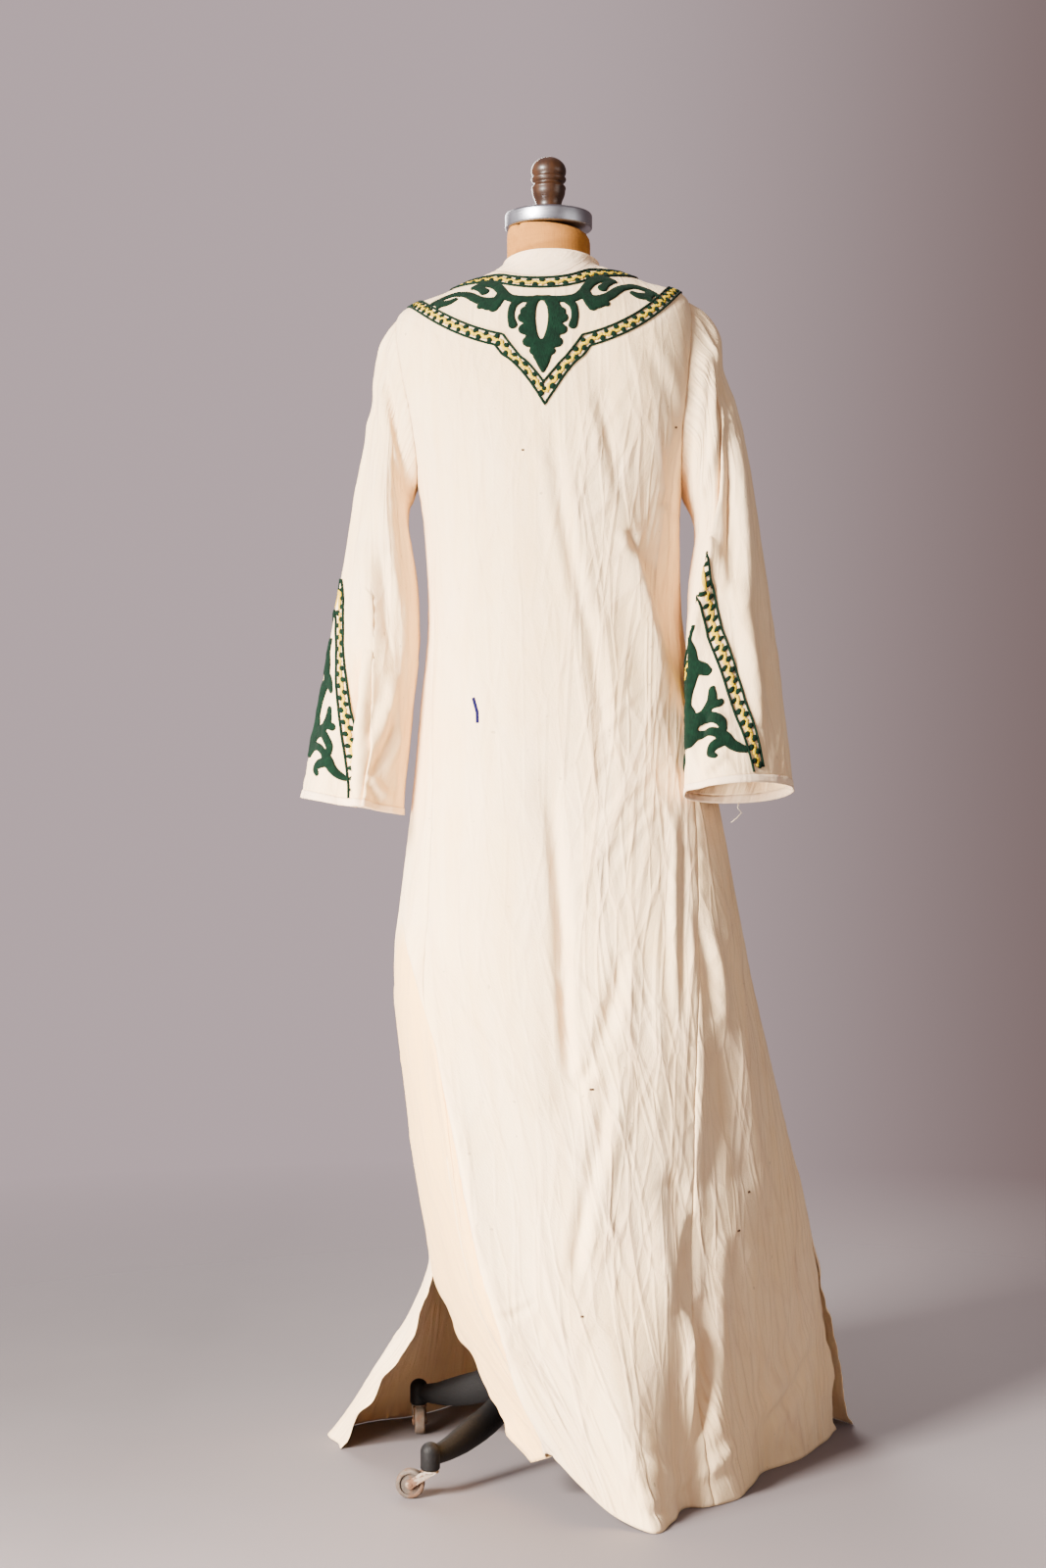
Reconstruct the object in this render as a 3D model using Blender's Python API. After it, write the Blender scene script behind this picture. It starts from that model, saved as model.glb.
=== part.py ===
"""Kaftan dress on a dress form.

A floor-length cotton kaftan with trumpet sleeves, gores and side slits hangs on a limbless dress form,
which stands on a four-legged iron base with casters. Metres, +Z up, the back of the dress faces -Y.
Everything is measured from the pole's axis at floor level, and the whole is then centred on its footprint.
"""

import math

import bmesh
import bpy
import numpy as np
from mathutils import Matrix, Vector

# Cloth
WALL = 0.0016
BAND_WALL = 0.0022
SEAM_GAP = 0.0003
SEAT_GAP = 0.0004
ROUNDNESS = 0.87
ARMHOLE_DEPTH = 0.065
GORE_TOP = 0.008
CUFF_STATIONS = {-1: 10.74, 1: 10.86}
UNDERARM_START = 0.955
HELD_IN_SEAM = 0.6
NECK_SLIT_ROWS = 9
NECK_SLIT_HALF_WIDTH = 0.0012

# Mesh density
BACK_COLUMNS = 18
FRONT_COLUMNS = 12
GORE_COLUMNS = 6
ARMHOLE_ROWS = 11

# One row for each level of the dress above the knee. A level falls from its side heights to its back and
# front heights, and reaches that far from the pole to each side. The seam columns are the angles of the
# gore seams from centre back, in degrees; above the armpit the armhole sets them instead.
LEVELS = (
    # z_left z_right z_back z_front left   right  back   front  seam_left seam_right
    (1.516, 1.522, 1.497, 1.472, 0.072, 0.071, 0.079, 0.088, 90.0, 90.0),  # neckline
    (1.489, 1.503, 1.447, 1.405, 0.132, 0.124, 0.106, 0.108, 90.0, 90.0),  # middle of the shoulder
    (1.458, 1.480, 1.385, 1.335, 0.193, 0.178, 0.122, 0.124, 90.0, 90.0),  # shoulder tip
    (1.383, 1.392, 1.336, 1.300, 0.203, 0.193, 0.129, 0.134, 90.0, 90.0),  # shoulder blade
    (1.306, 1.306, 1.288, 1.268, 0.189, 0.185, 0.131, 0.140, 90.0, 90.0),  # chest
    (1.243, 1.236, 1.234, 1.226, 0.168, 0.170, 0.130, 0.142, 87.0, 87.0),  # armpit
    (1.160, 1.160, 1.155, 1.150, 0.157, 0.167, 0.128, 0.142, 76.0, 76.0),  # under the arm
    (1.060, 1.060, 1.060, 1.060, 0.1535, 0.172, 0.128, 0.142, 70.0, 69.0),  # waist
    (0.960, 0.960, 0.960, 0.960, 0.163, 0.189, 0.130, 0.146, 63.0, 63.0),  # high hip
    (0.840, 0.840, 0.840, 0.840, 0.174, 0.216, 0.136, 0.152, 55.0, 55.0),  # hip
    (0.680, 0.680, 0.680, 0.680, 0.193, 0.246, 0.150, 0.170, 49.0, 46.0),  # thigh
)
TIP, ARMPIT, THIGH = 2.0, 5.0, 10.0

# Below the thigh a station is a ring of points. Round the ring, u counts the seams: 0 left side seam,
# 1 and 3 back gore seams, 2 centre back, 4 right side seam, 5 and 7 front gore seams, 6 centre front.
KNEE_Z, SLIT_Z = 0.42, 0.25
KNEE = (
    # u    x       y       z
    (0.0, -0.178, 0.020, 0.42),
    (0.5, -0.160, -0.085, 0.42),
    (0.8, -0.128, -0.146, 0.42),
    (1.0, -0.124, -0.174, 0.42),
    (1.5, -0.040, -0.196, 0.42),
    (2.0, 0.040, -0.195, 0.42),
    (2.5, 0.115, -0.176, 0.42),
    (3.0, 0.176, -0.138, 0.42),
    (3.5, 0.258, -0.060, 0.42),
    (4.0, 0.308, 0.045, 0.42),
    (4.5, 0.275, 0.125, 0.42),
    (5.0, 0.200, 0.185, 0.42),
    (5.5, 0.125, 0.212, 0.42),
    (6.0, 0.050, 0.220, 0.42),
    (6.5, -0.030, 0.212, 0.42),
    (7.0, -0.100, 0.188, 0.42),
    (7.5, -0.152, 0.115, 0.42),
    (8.0, -0.178, 0.020, 0.42),
)
SLIT_TOP = (
    # u    x       y       z
    (0.0, -0.150, 0.000, 0.237),
    (0.5, -0.118, -0.095, 0.238),
    (0.8, -0.084, -0.168, 0.240),
    (1.0, -0.086, -0.212, 0.240),
    (1.5, -0.015, -0.236, 0.240),
    (2.0, 0.055, -0.236, 0.240),
    (2.5, 0.125, -0.215, 0.240),
    (3.0, 0.176, -0.178, 0.240),
    (3.5, 0.268, -0.075, 0.255),
    (4.0, 0.342, 0.050, 0.281),
    (4.5, 0.312, 0.160, 0.262),
    (5.0, 0.232, 0.240, 0.250),
    (5.5, 0.145, 0.278, 0.245),
    (6.0, 0.058, 0.275, 0.245),
    (6.5, -0.030, 0.268, 0.245),
    (7.0, -0.105, 0.235, 0.243),
    (7.5, -0.150, 0.130, 0.240),
    (8.0, -0.150, 0.000, 0.237),
)
BACK_HEM = (
    # u     x       y       z
    (0.0, -0.025, -0.190, 0.047),
    (0.5, -0.003, -0.216, 0.060),
    (1.0, 0.006, -0.250, 0.073),
    (1.3, 0.033, -0.270, 0.045),
    (1.7, 0.075, -0.290, 0.012),
    (2.04, 0.119, -0.314, 0.0),
    (2.38, 0.140, -0.270, 0.0),
    (2.78, 0.160, -0.214, 0.0),
    (3.0, 0.195, -0.207, 0.0),
    (3.11, 0.225, -0.180, 0.0),
    (3.25, 0.244, -0.125, 0.0),
    (3.39, 0.267, -0.067, 0.0),
    (3.50, 0.299, -0.036, 0.0),
    (3.84, 0.363, 0.083, 0.0),
    (4.0, 0.389, 0.138, 0.0),
)
FRONT_HEM = (
    # u     x       y       z
    (4.0, 0.411, 0.165, 0.0),
    (4.4, 0.352, 0.255, 0.0),
    (4.7, 0.302, 0.300, 0.0),
    (5.0, 0.238, 0.345, 0.0),
    (5.4, 0.160, 0.366, 0.0),
    (6.0, 0.065, 0.342, 0.0),
    (6.5, -0.020, 0.352, 0.0),
    (6.8, -0.090, 0.338, 0.0),
    (7.0, -0.122, 0.286, 0.0),
    (7.3, -0.172, 0.216, 0.0),
    (7.62, -0.252, 0.172, 0.0),
    (7.76, -0.289, 0.128, 0.0),
    (8.0, -0.268, 0.045, 0.0),
)
FLARE_POWER = 1.25
HIP_ROWS = (5.3, 5.75, 6.35, 7.0, 7.65, 8.3, 9.0, THIGH)
LOW_ROWS = (0.59, 0.505, KNEE_Z, 0.335, SLIT_Z, 0.19, 0.13, 0.065, 0.0)

# The largest folds, seen square from behind or from in front: a ridge or a valley along a line.
# side is -1 on the back and 1 on the front, depth is outwards in metres, ends fade softly.
BODY_FOLDS = (
    # side x_top  z_top  x_low  z_low  depth_top depth_low half_width
    (-1, 0.003, 0.860, 0.018, 0.480, -0.005, -0.006, 0.020),
    (-1, 0.165, 1.080, 0.050, 1.400, -0.004, -0.003, 0.022),
    (-1, 0.100, 0.840, 0.030, 0.730, 0.003, 0.003, 0.018),
    (-1, 0.150, 0.370, 0.178, 0.030, -0.007, -0.010, 0.018),
    (-1, 0.240, 0.620, 0.238, 0.380, -0.006, -0.006, 0.020),
    (-1, 0.078, 0.500, 0.050, 0.320, 0.004, 0.003, 0.022),
    (-1, 0.330, 0.260, 0.300, 0.020, -0.005, -0.010, 0.022),
    (1, 0.110, 1.180, 0.130, 0.300, 0.005, 0.012, 0.030),
    (1, 0.045, 1.150, 0.040, 0.120, -0.004, -0.014, 0.030),
    (1, -0.070, 1.160, -0.085, 0.150, 0.004, 0.012, 0.030),
    (1, -0.120, 1.000, -0.140, 0.250, -0.003, -0.006, 0.022),
    (1, 0.190, 0.700, 0.230, 0.100, -0.004, -0.010, 0.028),
)

# One row for each ring of a sleeve below its armhole: its outer and its underarm point, how far its cloth
# stands off to the back and to the front, and how much higher its back is than its front.
LEFT_SLEEVE = (
    # out_x  out_y  out_z  in_x    in_y   in_z   back   front  tilt
    (-0.2120, 0.000, 1.432, -0.173, 0.000, 1.229, 0.066, 0.066, 0.0),
    (-0.2235, 0.000, 1.394, -0.179, 0.000, 1.215, 0.066, 0.066, 0.0),
    (-0.2260, -0.002, 1.345, -0.181, -0.004, 1.196, 0.064, 0.064, 0.0),
    (-0.2350, -0.006, 1.300, -0.178, -0.008, 1.170, 0.061, 0.062, 0.0),
    (-0.2450, -0.010, 1.250, -0.1715, -0.014, 1.135, 0.058, 0.060, 0.0),
    (-0.2560, -0.014, 1.180, -0.167, -0.020, 1.090, 0.056, 0.058, 0.0),
    (-0.2670, -0.018, 1.110, -0.166, -0.026, 1.030, 0.055, 0.056, 0.0),
    (-0.2785, -0.020, 1.030, -0.172, -0.032, 0.965, 0.055, 0.055, 0.0),
    (-0.2900, -0.022, 0.955, -0.178, -0.036, 0.905, 0.056, 0.055, 0.0),
    (-0.3030, -0.024, 0.885, -0.184, -0.040, 0.855, 0.058, 0.056, 0.0),
    (-0.3110, -0.025, 0.843, -0.187, -0.042, 0.822, 0.060, 0.057, 0.0),
)
RIGHT_SLEEVE = (
    # out_x  out_y  out_z  in_x   in_y   in_z   back   front  tilt
    (0.1990, 0.000, 1.466, 0.175, 0.000, 1.222, 0.066, 0.066, 0.0),
    (0.2185, 0.000, 1.436, 0.181, -0.002, 1.210, 0.066, 0.066, 0.0),
    (0.2230, -0.004, 1.394, 0.185, -0.008, 1.198, 0.064, 0.064, 0.0),
    (0.2360, -0.008, 1.356, 0.187, -0.016, 1.182, 0.061, 0.060, 0.0),
    (0.2490, -0.012, 1.305, 0.185, -0.026, 1.160, 0.057, 0.056, 0.0),
    (0.2590, -0.018, 1.245, 0.180, -0.038, 1.130, 0.053, 0.052, 0.0),
    (0.2670, -0.026, 1.175, 0.176, -0.056, 1.090, 0.050, 0.045, 0.0),
    (0.2775, -0.038, 1.088, 0.174, -0.078, 1.030, 0.048, 0.041, 0.002),
    (0.2870, -0.050, 1.008, 0.172, -0.100, 0.968, 0.047, 0.037, 0.005),
    (0.2935, -0.060, 0.930, 0.169, -0.121, 0.910, 0.048, 0.035, 0.009),
    (0.3010, -0.066, 0.848, 0.166, -0.137, 0.850, 0.050, 0.035, 0.013),
)
LEFT_SLEEVE_FOLDS = (
    # side x_top  z_top  x_low  z_low  depth_top depth_low half_width
    (-1, -0.216, 1.388, -0.178, 1.232, -0.008, -0.010, 0.016),
    (-1, -0.215, 1.290, -0.190, 1.130, -0.004, -0.003, 0.016),
    (-1, -0.232, 0.930, -0.236, 0.820, 0.003, 0.011, 0.015),
    (-1, -0.262, 0.930, -0.268, 0.820, -0.002, -0.010, 0.014),
    (1, -0.222, 1.380, -0.185, 1.240, -0.008, -0.009, 0.016),
    (1, -0.235, 1.000, -0.240, 0.830, -0.003, -0.008, 0.016),
)
RIGHT_SLEEVE_FOLDS = (
    # side x_top  z_top  x_low  z_low  depth_top depth_low half_width
    (-1, 0.203, 1.400, 0.186, 1.190, 0.006, 0.008, 0.014),
    (-1, 0.222, 1.385, 0.208, 1.180, -0.008, -0.008, 0.013),
    (-1, 0.215, 1.100, 0.225, 0.900, -0.003, -0.003, 0.016),
    (1, 0.214, 1.380, 0.190, 1.230, -0.007, -0.008, 0.015),
    (1, 0.235, 1.000, 0.240, 0.860, -0.003, -0.007, 0.016),
)

# Neck band: its top edge, in the columns of LEVELS
BAND_TOP = (1.527, 1.527, 1.533, 1.500, 0.0575, 0.0640, 0.066, 0.076, 90.0, 90.0)

# The form's body below the shoulder tips, in the columns of LEVELS without the seams
TORSO = (
    # z_left z_right z_back z_front left  right  back   front
    (1.436, 1.452, 1.352, 1.310, 0.176, 0.164, 0.121, 0.127),
    (1.385, 1.400, 1.315, 1.285, 0.158, 0.152, 0.122, 0.133),
    (1.310, 1.318, 1.272, 1.255, 0.150, 0.148, 0.119, 0.133),
    (1.236, 1.236, 1.220, 1.215, 0.143, 0.145, 0.112, 0.124),
    (1.170, 1.170, 1.165, 1.160, 0.129, 0.133, 0.097, 0.108),
    (1.120, 1.120, 1.120, 1.120, 0.122, 0.126, 0.088, 0.100),
    (1.060, 1.060, 1.060, 1.060, 0.130, 0.134, 0.092, 0.101),
    (0.990, 0.990, 0.990, 0.990, 0.149, 0.153, 0.108, 0.108),
    (0.915, 0.915, 0.915, 0.915, 0.158, 0.162, 0.120, 0.110),
    (0.850, 0.850, 0.850, 0.850, 0.154, 0.160, 0.116, 0.106),
    (0.800, 0.800, 0.800, 0.800, 0.146, 0.150, 0.104, 0.098),
)
FORM_NECK_RADIUS = 0.0540
FORM_NECK_TOP = 1.5738
FORM_NECK_RINGS = ((FORM_NECK_TOP, 0.0545), (1.548, 0.0535), (1.524, 0.0540))
FORM_NECK_BASE = (1.508, 1.510, 1.494, 1.478, 0.057, 0.057, 0.058, 0.060)

# Neck cap and finial
CAP_BOTTOM, CAP_TOP, CAP_RADIUS, CAP_BEVEL = 1.5741, 1.5935, 0.0560, 0.003
FINIAL_PROFILE = (
    # radius height above the cap
    (0.0000, 0.0003),
    (0.0190, 0.0003),
    (0.0190, 0.0060),
    (0.0158, 0.0140),
    (0.0165, 0.0260),
    (0.0205, 0.0300),
    (0.0222, 0.0340),
    (0.0205, 0.0372),
    (0.0188, 0.0395),
    (0.0205, 0.0420),
    (0.0226, 0.0455),
    (0.0205, 0.0490),
    (0.0228, 0.0545),
    (0.0232, 0.0600),
    (0.0215, 0.0660),
    (0.0165, 0.0710),
    (0.0090, 0.0738),
    (0.0000, 0.0745),
)

# Base: pole, collar, hub, four legs
POLE_RADIUS = 0.0125
TORSO_BOTTOM = 0.800
POLE_BOTTOM = 0.168
HUB_PROFILE = (
    # radius z
    (0.0000, 0.078),
    (0.0200, 0.078),
    (0.0300, 0.086),
    (0.0360, 0.096),
    (0.0360, 0.146),
    (0.0300, 0.156),
    (0.0210, 0.1677),
    (0.0000, 0.1677),
)
LEG_REACH = 0.225
LEG_ANGLES = (50.0, 140.0, 230.0, 320.0)
LEG_NAMES = ("front_right", "front_left", "back_left", "back_right")
LEG_SECTIONS = (
    # reach  z_low  z_top  half_width
    (0.0364, 0.098, 0.142, 0.0120),
    (0.0660, 0.080, 0.126, 0.0116),
    (0.0965, 0.060, 0.108, 0.0113),
    (0.1250, 0.049, 0.0925, 0.0110),
    (0.1600, 0.041, 0.080, 0.0108),
    (0.1930, 0.0380, 0.067, 0.0105),
    (0.2170, 0.0380, 0.061, 0.0098),
)
LEG_SIDES = 10
FOOT_RADIUS, FOOT_BOTTOM, FOOT_DOME, FOOT_TOP = 0.0118, 0.0336, 0.0560, 0.0672
STEM_RADIUS, STEM_TOP, STEM_CLEARANCE = 0.0040, 0.0500, 0.0004

# Casters: the fork swivels under its foot and trails, the wheel spins on the fork's axle
WHEEL_RADIUS, WHEEL_HALF_WIDTH = 0.0175, 0.0066
WHEEL_SIDES = 20
TRAIL = 0.024
TRAIL_ANGLES = {"front_right": 20.0, "front_left": 275.0, "back_left": 178.0, "back_right": 300.0}
AXLE_RADIUS, AXLE_CLEARANCE = 0.0025, 0.0006
CHEEK_INNER, CHEEK_THICK = 0.0074, 0.0018
CROWN_LOW, CROWN_TOP = 0.0302, 0.0332
CROWN_RADIUS = 0.0104

CREAM = (0.86, 0.78, 0.66)
PALE_CREAM = (0.88, 0.81, 0.70)
LINEN = (0.70, 0.45, 0.24)
STEEL = (0.55, 0.55, 0.54)
WALNUT = (0.05, 0.022, 0.015)
IRON = (0.02, 0.019, 0.019)
RUST = (0.28, 0.17, 0.11)


def clear_scene():
    """Removes every object, so the model starts from nothing."""
    for item in list(bpy.data.objects):
        bpy.data.objects.remove(item, do_unlink=True)


def material(name, colour, roughness, metallic):
    """A plain material, made once for each name."""
    found = bpy.data.materials.get(name)
    if found:
        return found
    made = bpy.data.materials.new(name)
    made.use_nodes = True
    shader = made.node_tree.nodes["Principled BSDF"]
    shader.inputs["Base Color"].default_value = (*colour, 1.0)
    shader.inputs["Roughness"].default_value = roughness
    shader.inputs["Metallic"].default_value = metallic
    made.diffuse_color = (*colour, 1.0)
    return made


def finished(name, mesh, look, smooth=True):
    """A new object from a mesh, shaded smooth with its hard edges kept."""
    mesh.materials.clear()
    mesh.materials.append(look)
    if smooth:
        mesh.shade_smooth()
        mesh.set_sharp_from_angle(angle=math.radians(40))
    item = bpy.data.objects.new(name, mesh)
    bpy.context.collection.objects.link(item)
    return item


# The dress as one surface. Everything below works on whole arrays of u and level.


def through(knots, rows, at):
    """Smooth curve through the rows, a row for each knot, read at the places in at."""
    knots = np.asarray(knots, float)
    rows = np.asarray(rows, float)
    at = np.clip(np.asarray(at, float), knots[0], knots[-1])
    slope = np.zeros_like(rows)
    step = np.diff(knots)[:, None]
    secant = np.diff(rows, axis=0) / step
    slope[1:-1] = (secant[:-1] * step[1:] + secant[1:] * step[:-1]) / (step[1:] + step[:-1])
    slope[0] = secant[0]
    slope[-1] = secant[-1]
    i = np.clip(np.searchsorted(knots, at, side="right") - 1, 0, len(knots) - 2)
    width = (knots[i + 1] - knots[i])[..., None]
    s = (at - knots[i])[..., None] / width
    near = (1 + 2 * s) * (1 - s) ** 2 * rows[i] + s * (1 - s) ** 2 * width * slope[i]
    far = s * s * (3 - 2 * s) * rows[i + 1] + s * s * (s - 1) * width * slope[i + 1]
    return near + far


def round_ring(table, at):
    """Smooth ring through a closed table of u, x, y, z."""
    rows = np.asarray(table, float)
    before = rows[-3:-1] - [8.0, 0, 0, 0]
    after = rows[1:3] + [8.0, 0, 0, 0]
    rows = np.vstack([before, rows, after])
    return through(rows[:, 0], rows[:, 1:], at)


def section(row, angle):
    """Points of a level at the angles from centre back: row has the columns of LEVELS."""
    side, ahead = np.sin(angle), -np.cos(angle)
    across = np.where(side < 0, row[..., 4], row[..., 5])
    along = np.where(ahead < 0, row[..., 6], row[..., 7])
    z_side = np.where(side < 0, row[..., 0], row[..., 1])
    z_middle = np.where(ahead < 0, row[..., 2], row[..., 3])
    x = np.sign(side) * across * np.abs(side) ** ROUNDNESS
    y = np.sign(ahead) * along * np.abs(ahead) ** ROUNDNESS
    z = z_middle + (z_side - z_middle) * side**2
    return np.stack([x, y, z], axis=-1)


def seam_angle(row, level, reach, table_angle):
    """Angle of a gore seam, which is the armhole's edge from the shoulder tip to the armpit."""
    share = np.clip((level - TIP) / (ARMPIT - TIP), 0, 1)
    turn = np.arccos(1 - 2 * share)
    away = ARMHOLE_DEPTH * np.sin(turn) + GORE_TOP * share
    edge = np.arccos(np.clip((away / reach) ** (1 / ROUNDNESS), 0, 1))
    low = np.clip(level - ARMPIT, 0, 1)
    under = np.radians(table_angle)
    blend = low * low * (3 - 2 * low)
    return np.where(level <= ARMPIT, edge, edge * (1 - blend) + under * blend)


def upper(u, level):
    """The dress from the neckline to the thigh."""
    row = through(np.arange(len(LEVELS)), LEVELS, level)
    back_left = seam_angle(row, level, row[..., 6], row[..., 8])
    back_right = seam_angle(row, level, row[..., 6], row[..., 9])
    front_left = seam_angle(row, level, row[..., 7], row[..., 8])
    front_right = seam_angle(row, level, row[..., 7], row[..., 9])
    quarter = np.full_like(back_left, math.pi / 2)
    stops = [-quarter, -back_left, 0 * quarter, back_right, quarter]
    stops += [2 * quarter - front_right, 2 * quarter, 2 * quarter + front_left, 3 * quarter]
    stops = np.stack(stops, axis=-1)
    i = np.clip(np.floor(u), 0, 7).astype(int)
    first = np.take_along_axis(stops, i[..., None], -1)[..., 0]
    second = np.take_along_axis(stops, i[..., None] + 1, -1)[..., 0]
    return section(row, first + (second - first) * (u - i))


def hem(u, front):
    """The hem as it would hang with the slits closed, and how far it flares from that at the slits."""
    open_hem = np.where(front[..., None], open_edge(FRONT_HEM, u), open_edge(BACK_HEM, u))
    left_middle = (np.array(BACK_HEM[0][1:]) + np.array(FRONT_HEM[-1][1:])) / 2
    right_middle = (np.array(BACK_HEM[-1][1:]) + np.array(FRONT_HEM[0][1:])) / 2
    left_corner = np.where(front[..., None], np.array(FRONT_HEM[-1][1:]), np.array(BACK_HEM[0][1:]))
    right_corner = np.where(front[..., None], np.array(FRONT_HEM[0][1:]), np.array(BACK_HEM[-1][1:]))
    from_left = np.minimum(u, 8 - u)
    from_right = np.abs(u - 4)
    flare = (left_corner - left_middle) * (np.clip(1 - from_left, 0, 1) ** 1.5)[..., None]
    flare = flare + (right_corner - right_middle) * (np.clip(1 - from_right, 0, 1) ** 1.5)[..., None]
    return open_hem - flare, flare


def open_edge(table, u):
    """Smooth line through an open table of u, x, y, z."""
    rows = np.asarray(table, float)
    return through(rows[:, 0], rows[:, 1:], u)


def lower(u, z, front):
    """The dress from the thigh to the hem, at nominal height z."""
    thigh = upper(u, np.full_like(u, THIGH))
    above = upper(u, np.full_like(u, THIGH - 0.5))
    thigh_slope = (above - thigh) / (above[..., 2:3] - thigh[..., 2:3] + 1e-9)
    knee = round_ring(KNEE, u)
    slit = round_ring(SLIT_TOP, u)
    closed, flare = hem(u, front)
    knots = (0.0, SLIT_Z, KNEE_Z, LEVELS[-1][2])
    rings = (closed, slit, knee, thigh)
    slopes = [(slit - closed) / SLIT_Z]
    slopes.append((knee - closed) / KNEE_Z)
    slopes.append((thigh - slit) / (knots[3] - SLIT_Z))
    slopes.append(thigh_slope)
    out = np.zeros_like(closed)
    for k in range(3):
        width = knots[k + 1] - knots[k]
        s = ((z - knots[k]) / width)[..., None]
        here = (s >= 0) & (s <= 1) if k == 0 else (s > 0) & (s <= 1)
        value = (1 + 2 * s) * (1 - s) ** 2 * rings[k] + s * (1 - s) ** 2 * width * slopes[k]
        value = value + s * s * (3 - 2 * s) * rings[k + 1] + s * s * (s - 1) * width * slopes[k + 1]
        out = np.where(here, value, out)
    opened = np.clip(1 - z / SLIT_Z, 0, 1) ** FLARE_POWER
    out = out + flare * opened[..., None]
    out[..., 2] = np.maximum(out[..., 2], 0.0)
    return out


def bare_body(u, level, front):
    """The dress without folds. Past the thigh, level goes on counting down to the hem."""
    u, level = np.broadcast_arrays(np.asarray(u, float), np.asarray(level, float))
    front = np.broadcast_to(front, u.shape)
    z = LEVELS[-1][2] * np.clip(1 - (level - THIGH), 0, 1)
    low = level > THIGH
    out = upper(u, np.minimum(level, THIGH))
    return np.where(low[..., None], lower(u, z, front), out)


def level_of(z):
    """Level of a nominal height below the thigh."""
    return THIGH + 1 - z / LEVELS[-1][2]


def crossed(first, second):
    """Unit normals across two fields of directions."""
    out = np.cross(first, second)
    return out / np.maximum(np.linalg.norm(out, axis=-1, keepdims=True), 1e-12)


def normals_of(surface, u, level, front):
    """Outward normals of a body surface, the same on both sides of a seam."""
    small = 0.004
    low, high = (4.0, 8.0) if front else (0.0, 4.0)
    before, after = np.clip(u - small, low, high), np.clip(u + small, low, high)
    collapsed = (level <= TIP) & ((before < low + 1) | (after > high - 1))
    before = np.where(collapsed, np.maximum(before, low + 1), before)
    after = np.where(collapsed, np.minimum(after, high - 1), after)
    up = np.clip(level - small, 0, THIGH + 1)
    down = np.clip(level + small, 0, THIGH + 1)
    along = surface(after, level, front) - surface(before, level, front)
    fall = surface(u, down, front) - surface(u, up, front)
    return crossed(fall, along)


def folded(points, normals, folds):
    """How far the folds move each point along its normal."""
    move = np.zeros(points.shape[:-1])
    for side, x_top, z_top, x_low, z_low, depth_top, depth_low, half_width in folds:
        start, end = np.array([x_top, z_top]), np.array([x_low, z_low])
        line = end - start
        place = points[..., [0, 2]] - start
        share = np.clip(place @ line / (line @ line), 0, 1)
        away = np.linalg.norm(place - share[..., None] * line, axis=-1)
        facing = np.clip(side * normals[..., 1] * 1.6, 0, 1)
        depth = depth_top + (depth_low - depth_top) * share
        move = move + facing * depth * np.exp(-((away / half_width) ** 2))
    return move


def body(u, level, front):
    """The dress with its folds."""
    u, level = np.broadcast_arrays(np.asarray(u, float), np.asarray(level, float))
    points = bare_body(u, level, front)
    normals = normals_of(bare_body, u, level, front)
    held = np.clip((level - 0.5) / 1.5, 0, 1)
    out = points + normals * (folded(points, normals, BODY_FOLDS) * held)[..., None]
    out[..., 2] = np.maximum(out[..., 2], 0.0)
    return out


def armhole(side, turn):
    """The armhole's seam: turn goes from 0 at the shoulder tip round the back to pi at the armpit."""
    back = turn <= math.pi
    half = np.where(back, turn, 2 * math.pi - turn)
    down = np.clip(half / (UNDERARM_START * math.pi), 0, 1)
    level = TIP + (ARMPIT - TIP) * (1 - np.cos(down * math.pi)) / 2
    under = np.clip((half / math.pi - UNDERARM_START) / (1 - UNDERARM_START), 0, 1)
    if side < 0:
        u = np.where(back, 1 - under, 7 + under)
    else:
        u = np.where(back, 3 + under, 5 - under)
    points = np.where(back[..., None], body(u, level, False), body(u, level, True))
    normals = np.where(
        back[..., None], normals_of(body, u, level, False), normals_of(body, u, level, True)
    )
    return points, normals


def sleeve_rings(side, turn):
    """Rings of a sleeve from its armhole to its cuff, without folds."""
    table = np.array(LEFT_SLEEVE if side < 0 else RIGHT_SLEEVE)
    rings = [armhole(side, turn)[0]]
    for row in table:
        outer, inner = row[0:3], row[3:6]
        axis = (outer - inner) / np.linalg.norm(outer - inner)
        back = np.array([0.0, -1.0, 0.0])
        back = back - axis * (back @ axis)
        back = back / np.linalg.norm(back)
        depth = np.where(np.sin(turn) > 0, row[6], row[7])
        stand = depth * np.sin(turn) * (1 - 0.18 * np.cos(turn))
        middle = (outer + inner) / 2
        ring = middle + np.cos(turn)[..., None] * (outer - inner) / 2 + stand[..., None] * back
        ring[..., 2] += row[8] * np.sin(turn)
        rings.append(ring)
    return np.array(rings)


def bare_sleeve(side, turn, station):
    """Points of a sleeve: station 0 is the armhole and the last is the cuff's edge."""
    turn, station = np.broadcast_arrays(np.asarray(turn, float), np.asarray(station, float))
    flat_turn, back = np.unique(turn.ravel(), return_inverse=True)
    rings = sleeve_rings(side, flat_turn)
    knots = np.arange(len(rings))
    flat_station = station.ravel()
    out = np.zeros((flat_station.size, 3))
    for k in np.unique(flat_station):
        here = flat_station == k
        line = through(knots, rings.reshape(len(rings), -1), np.array([k])).reshape(-1, 3)
        out[here] = line[back.ravel()[here]]
    return out.reshape(*turn.shape, 3)


def sleeve_normals(surface, side, turn, station):
    """Outward normals of a sleeve surface."""
    small = 0.01
    last = float(len(LEFT_SLEEVE))
    along = surface(side, turn + small, station) - surface(side, turn - small, station)
    up, down = np.clip(station - small, 0, last), np.clip(station + small, 0, last)
    fall = surface(side, turn, down) - surface(side, turn, up)
    return -side * crossed(fall, along)


def wrapped_sleeve(side, turn, station):
    """bare_sleeve for turns that may leave 0 to two pi."""
    return bare_sleeve(side, np.mod(turn, 2 * math.pi), station)


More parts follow.
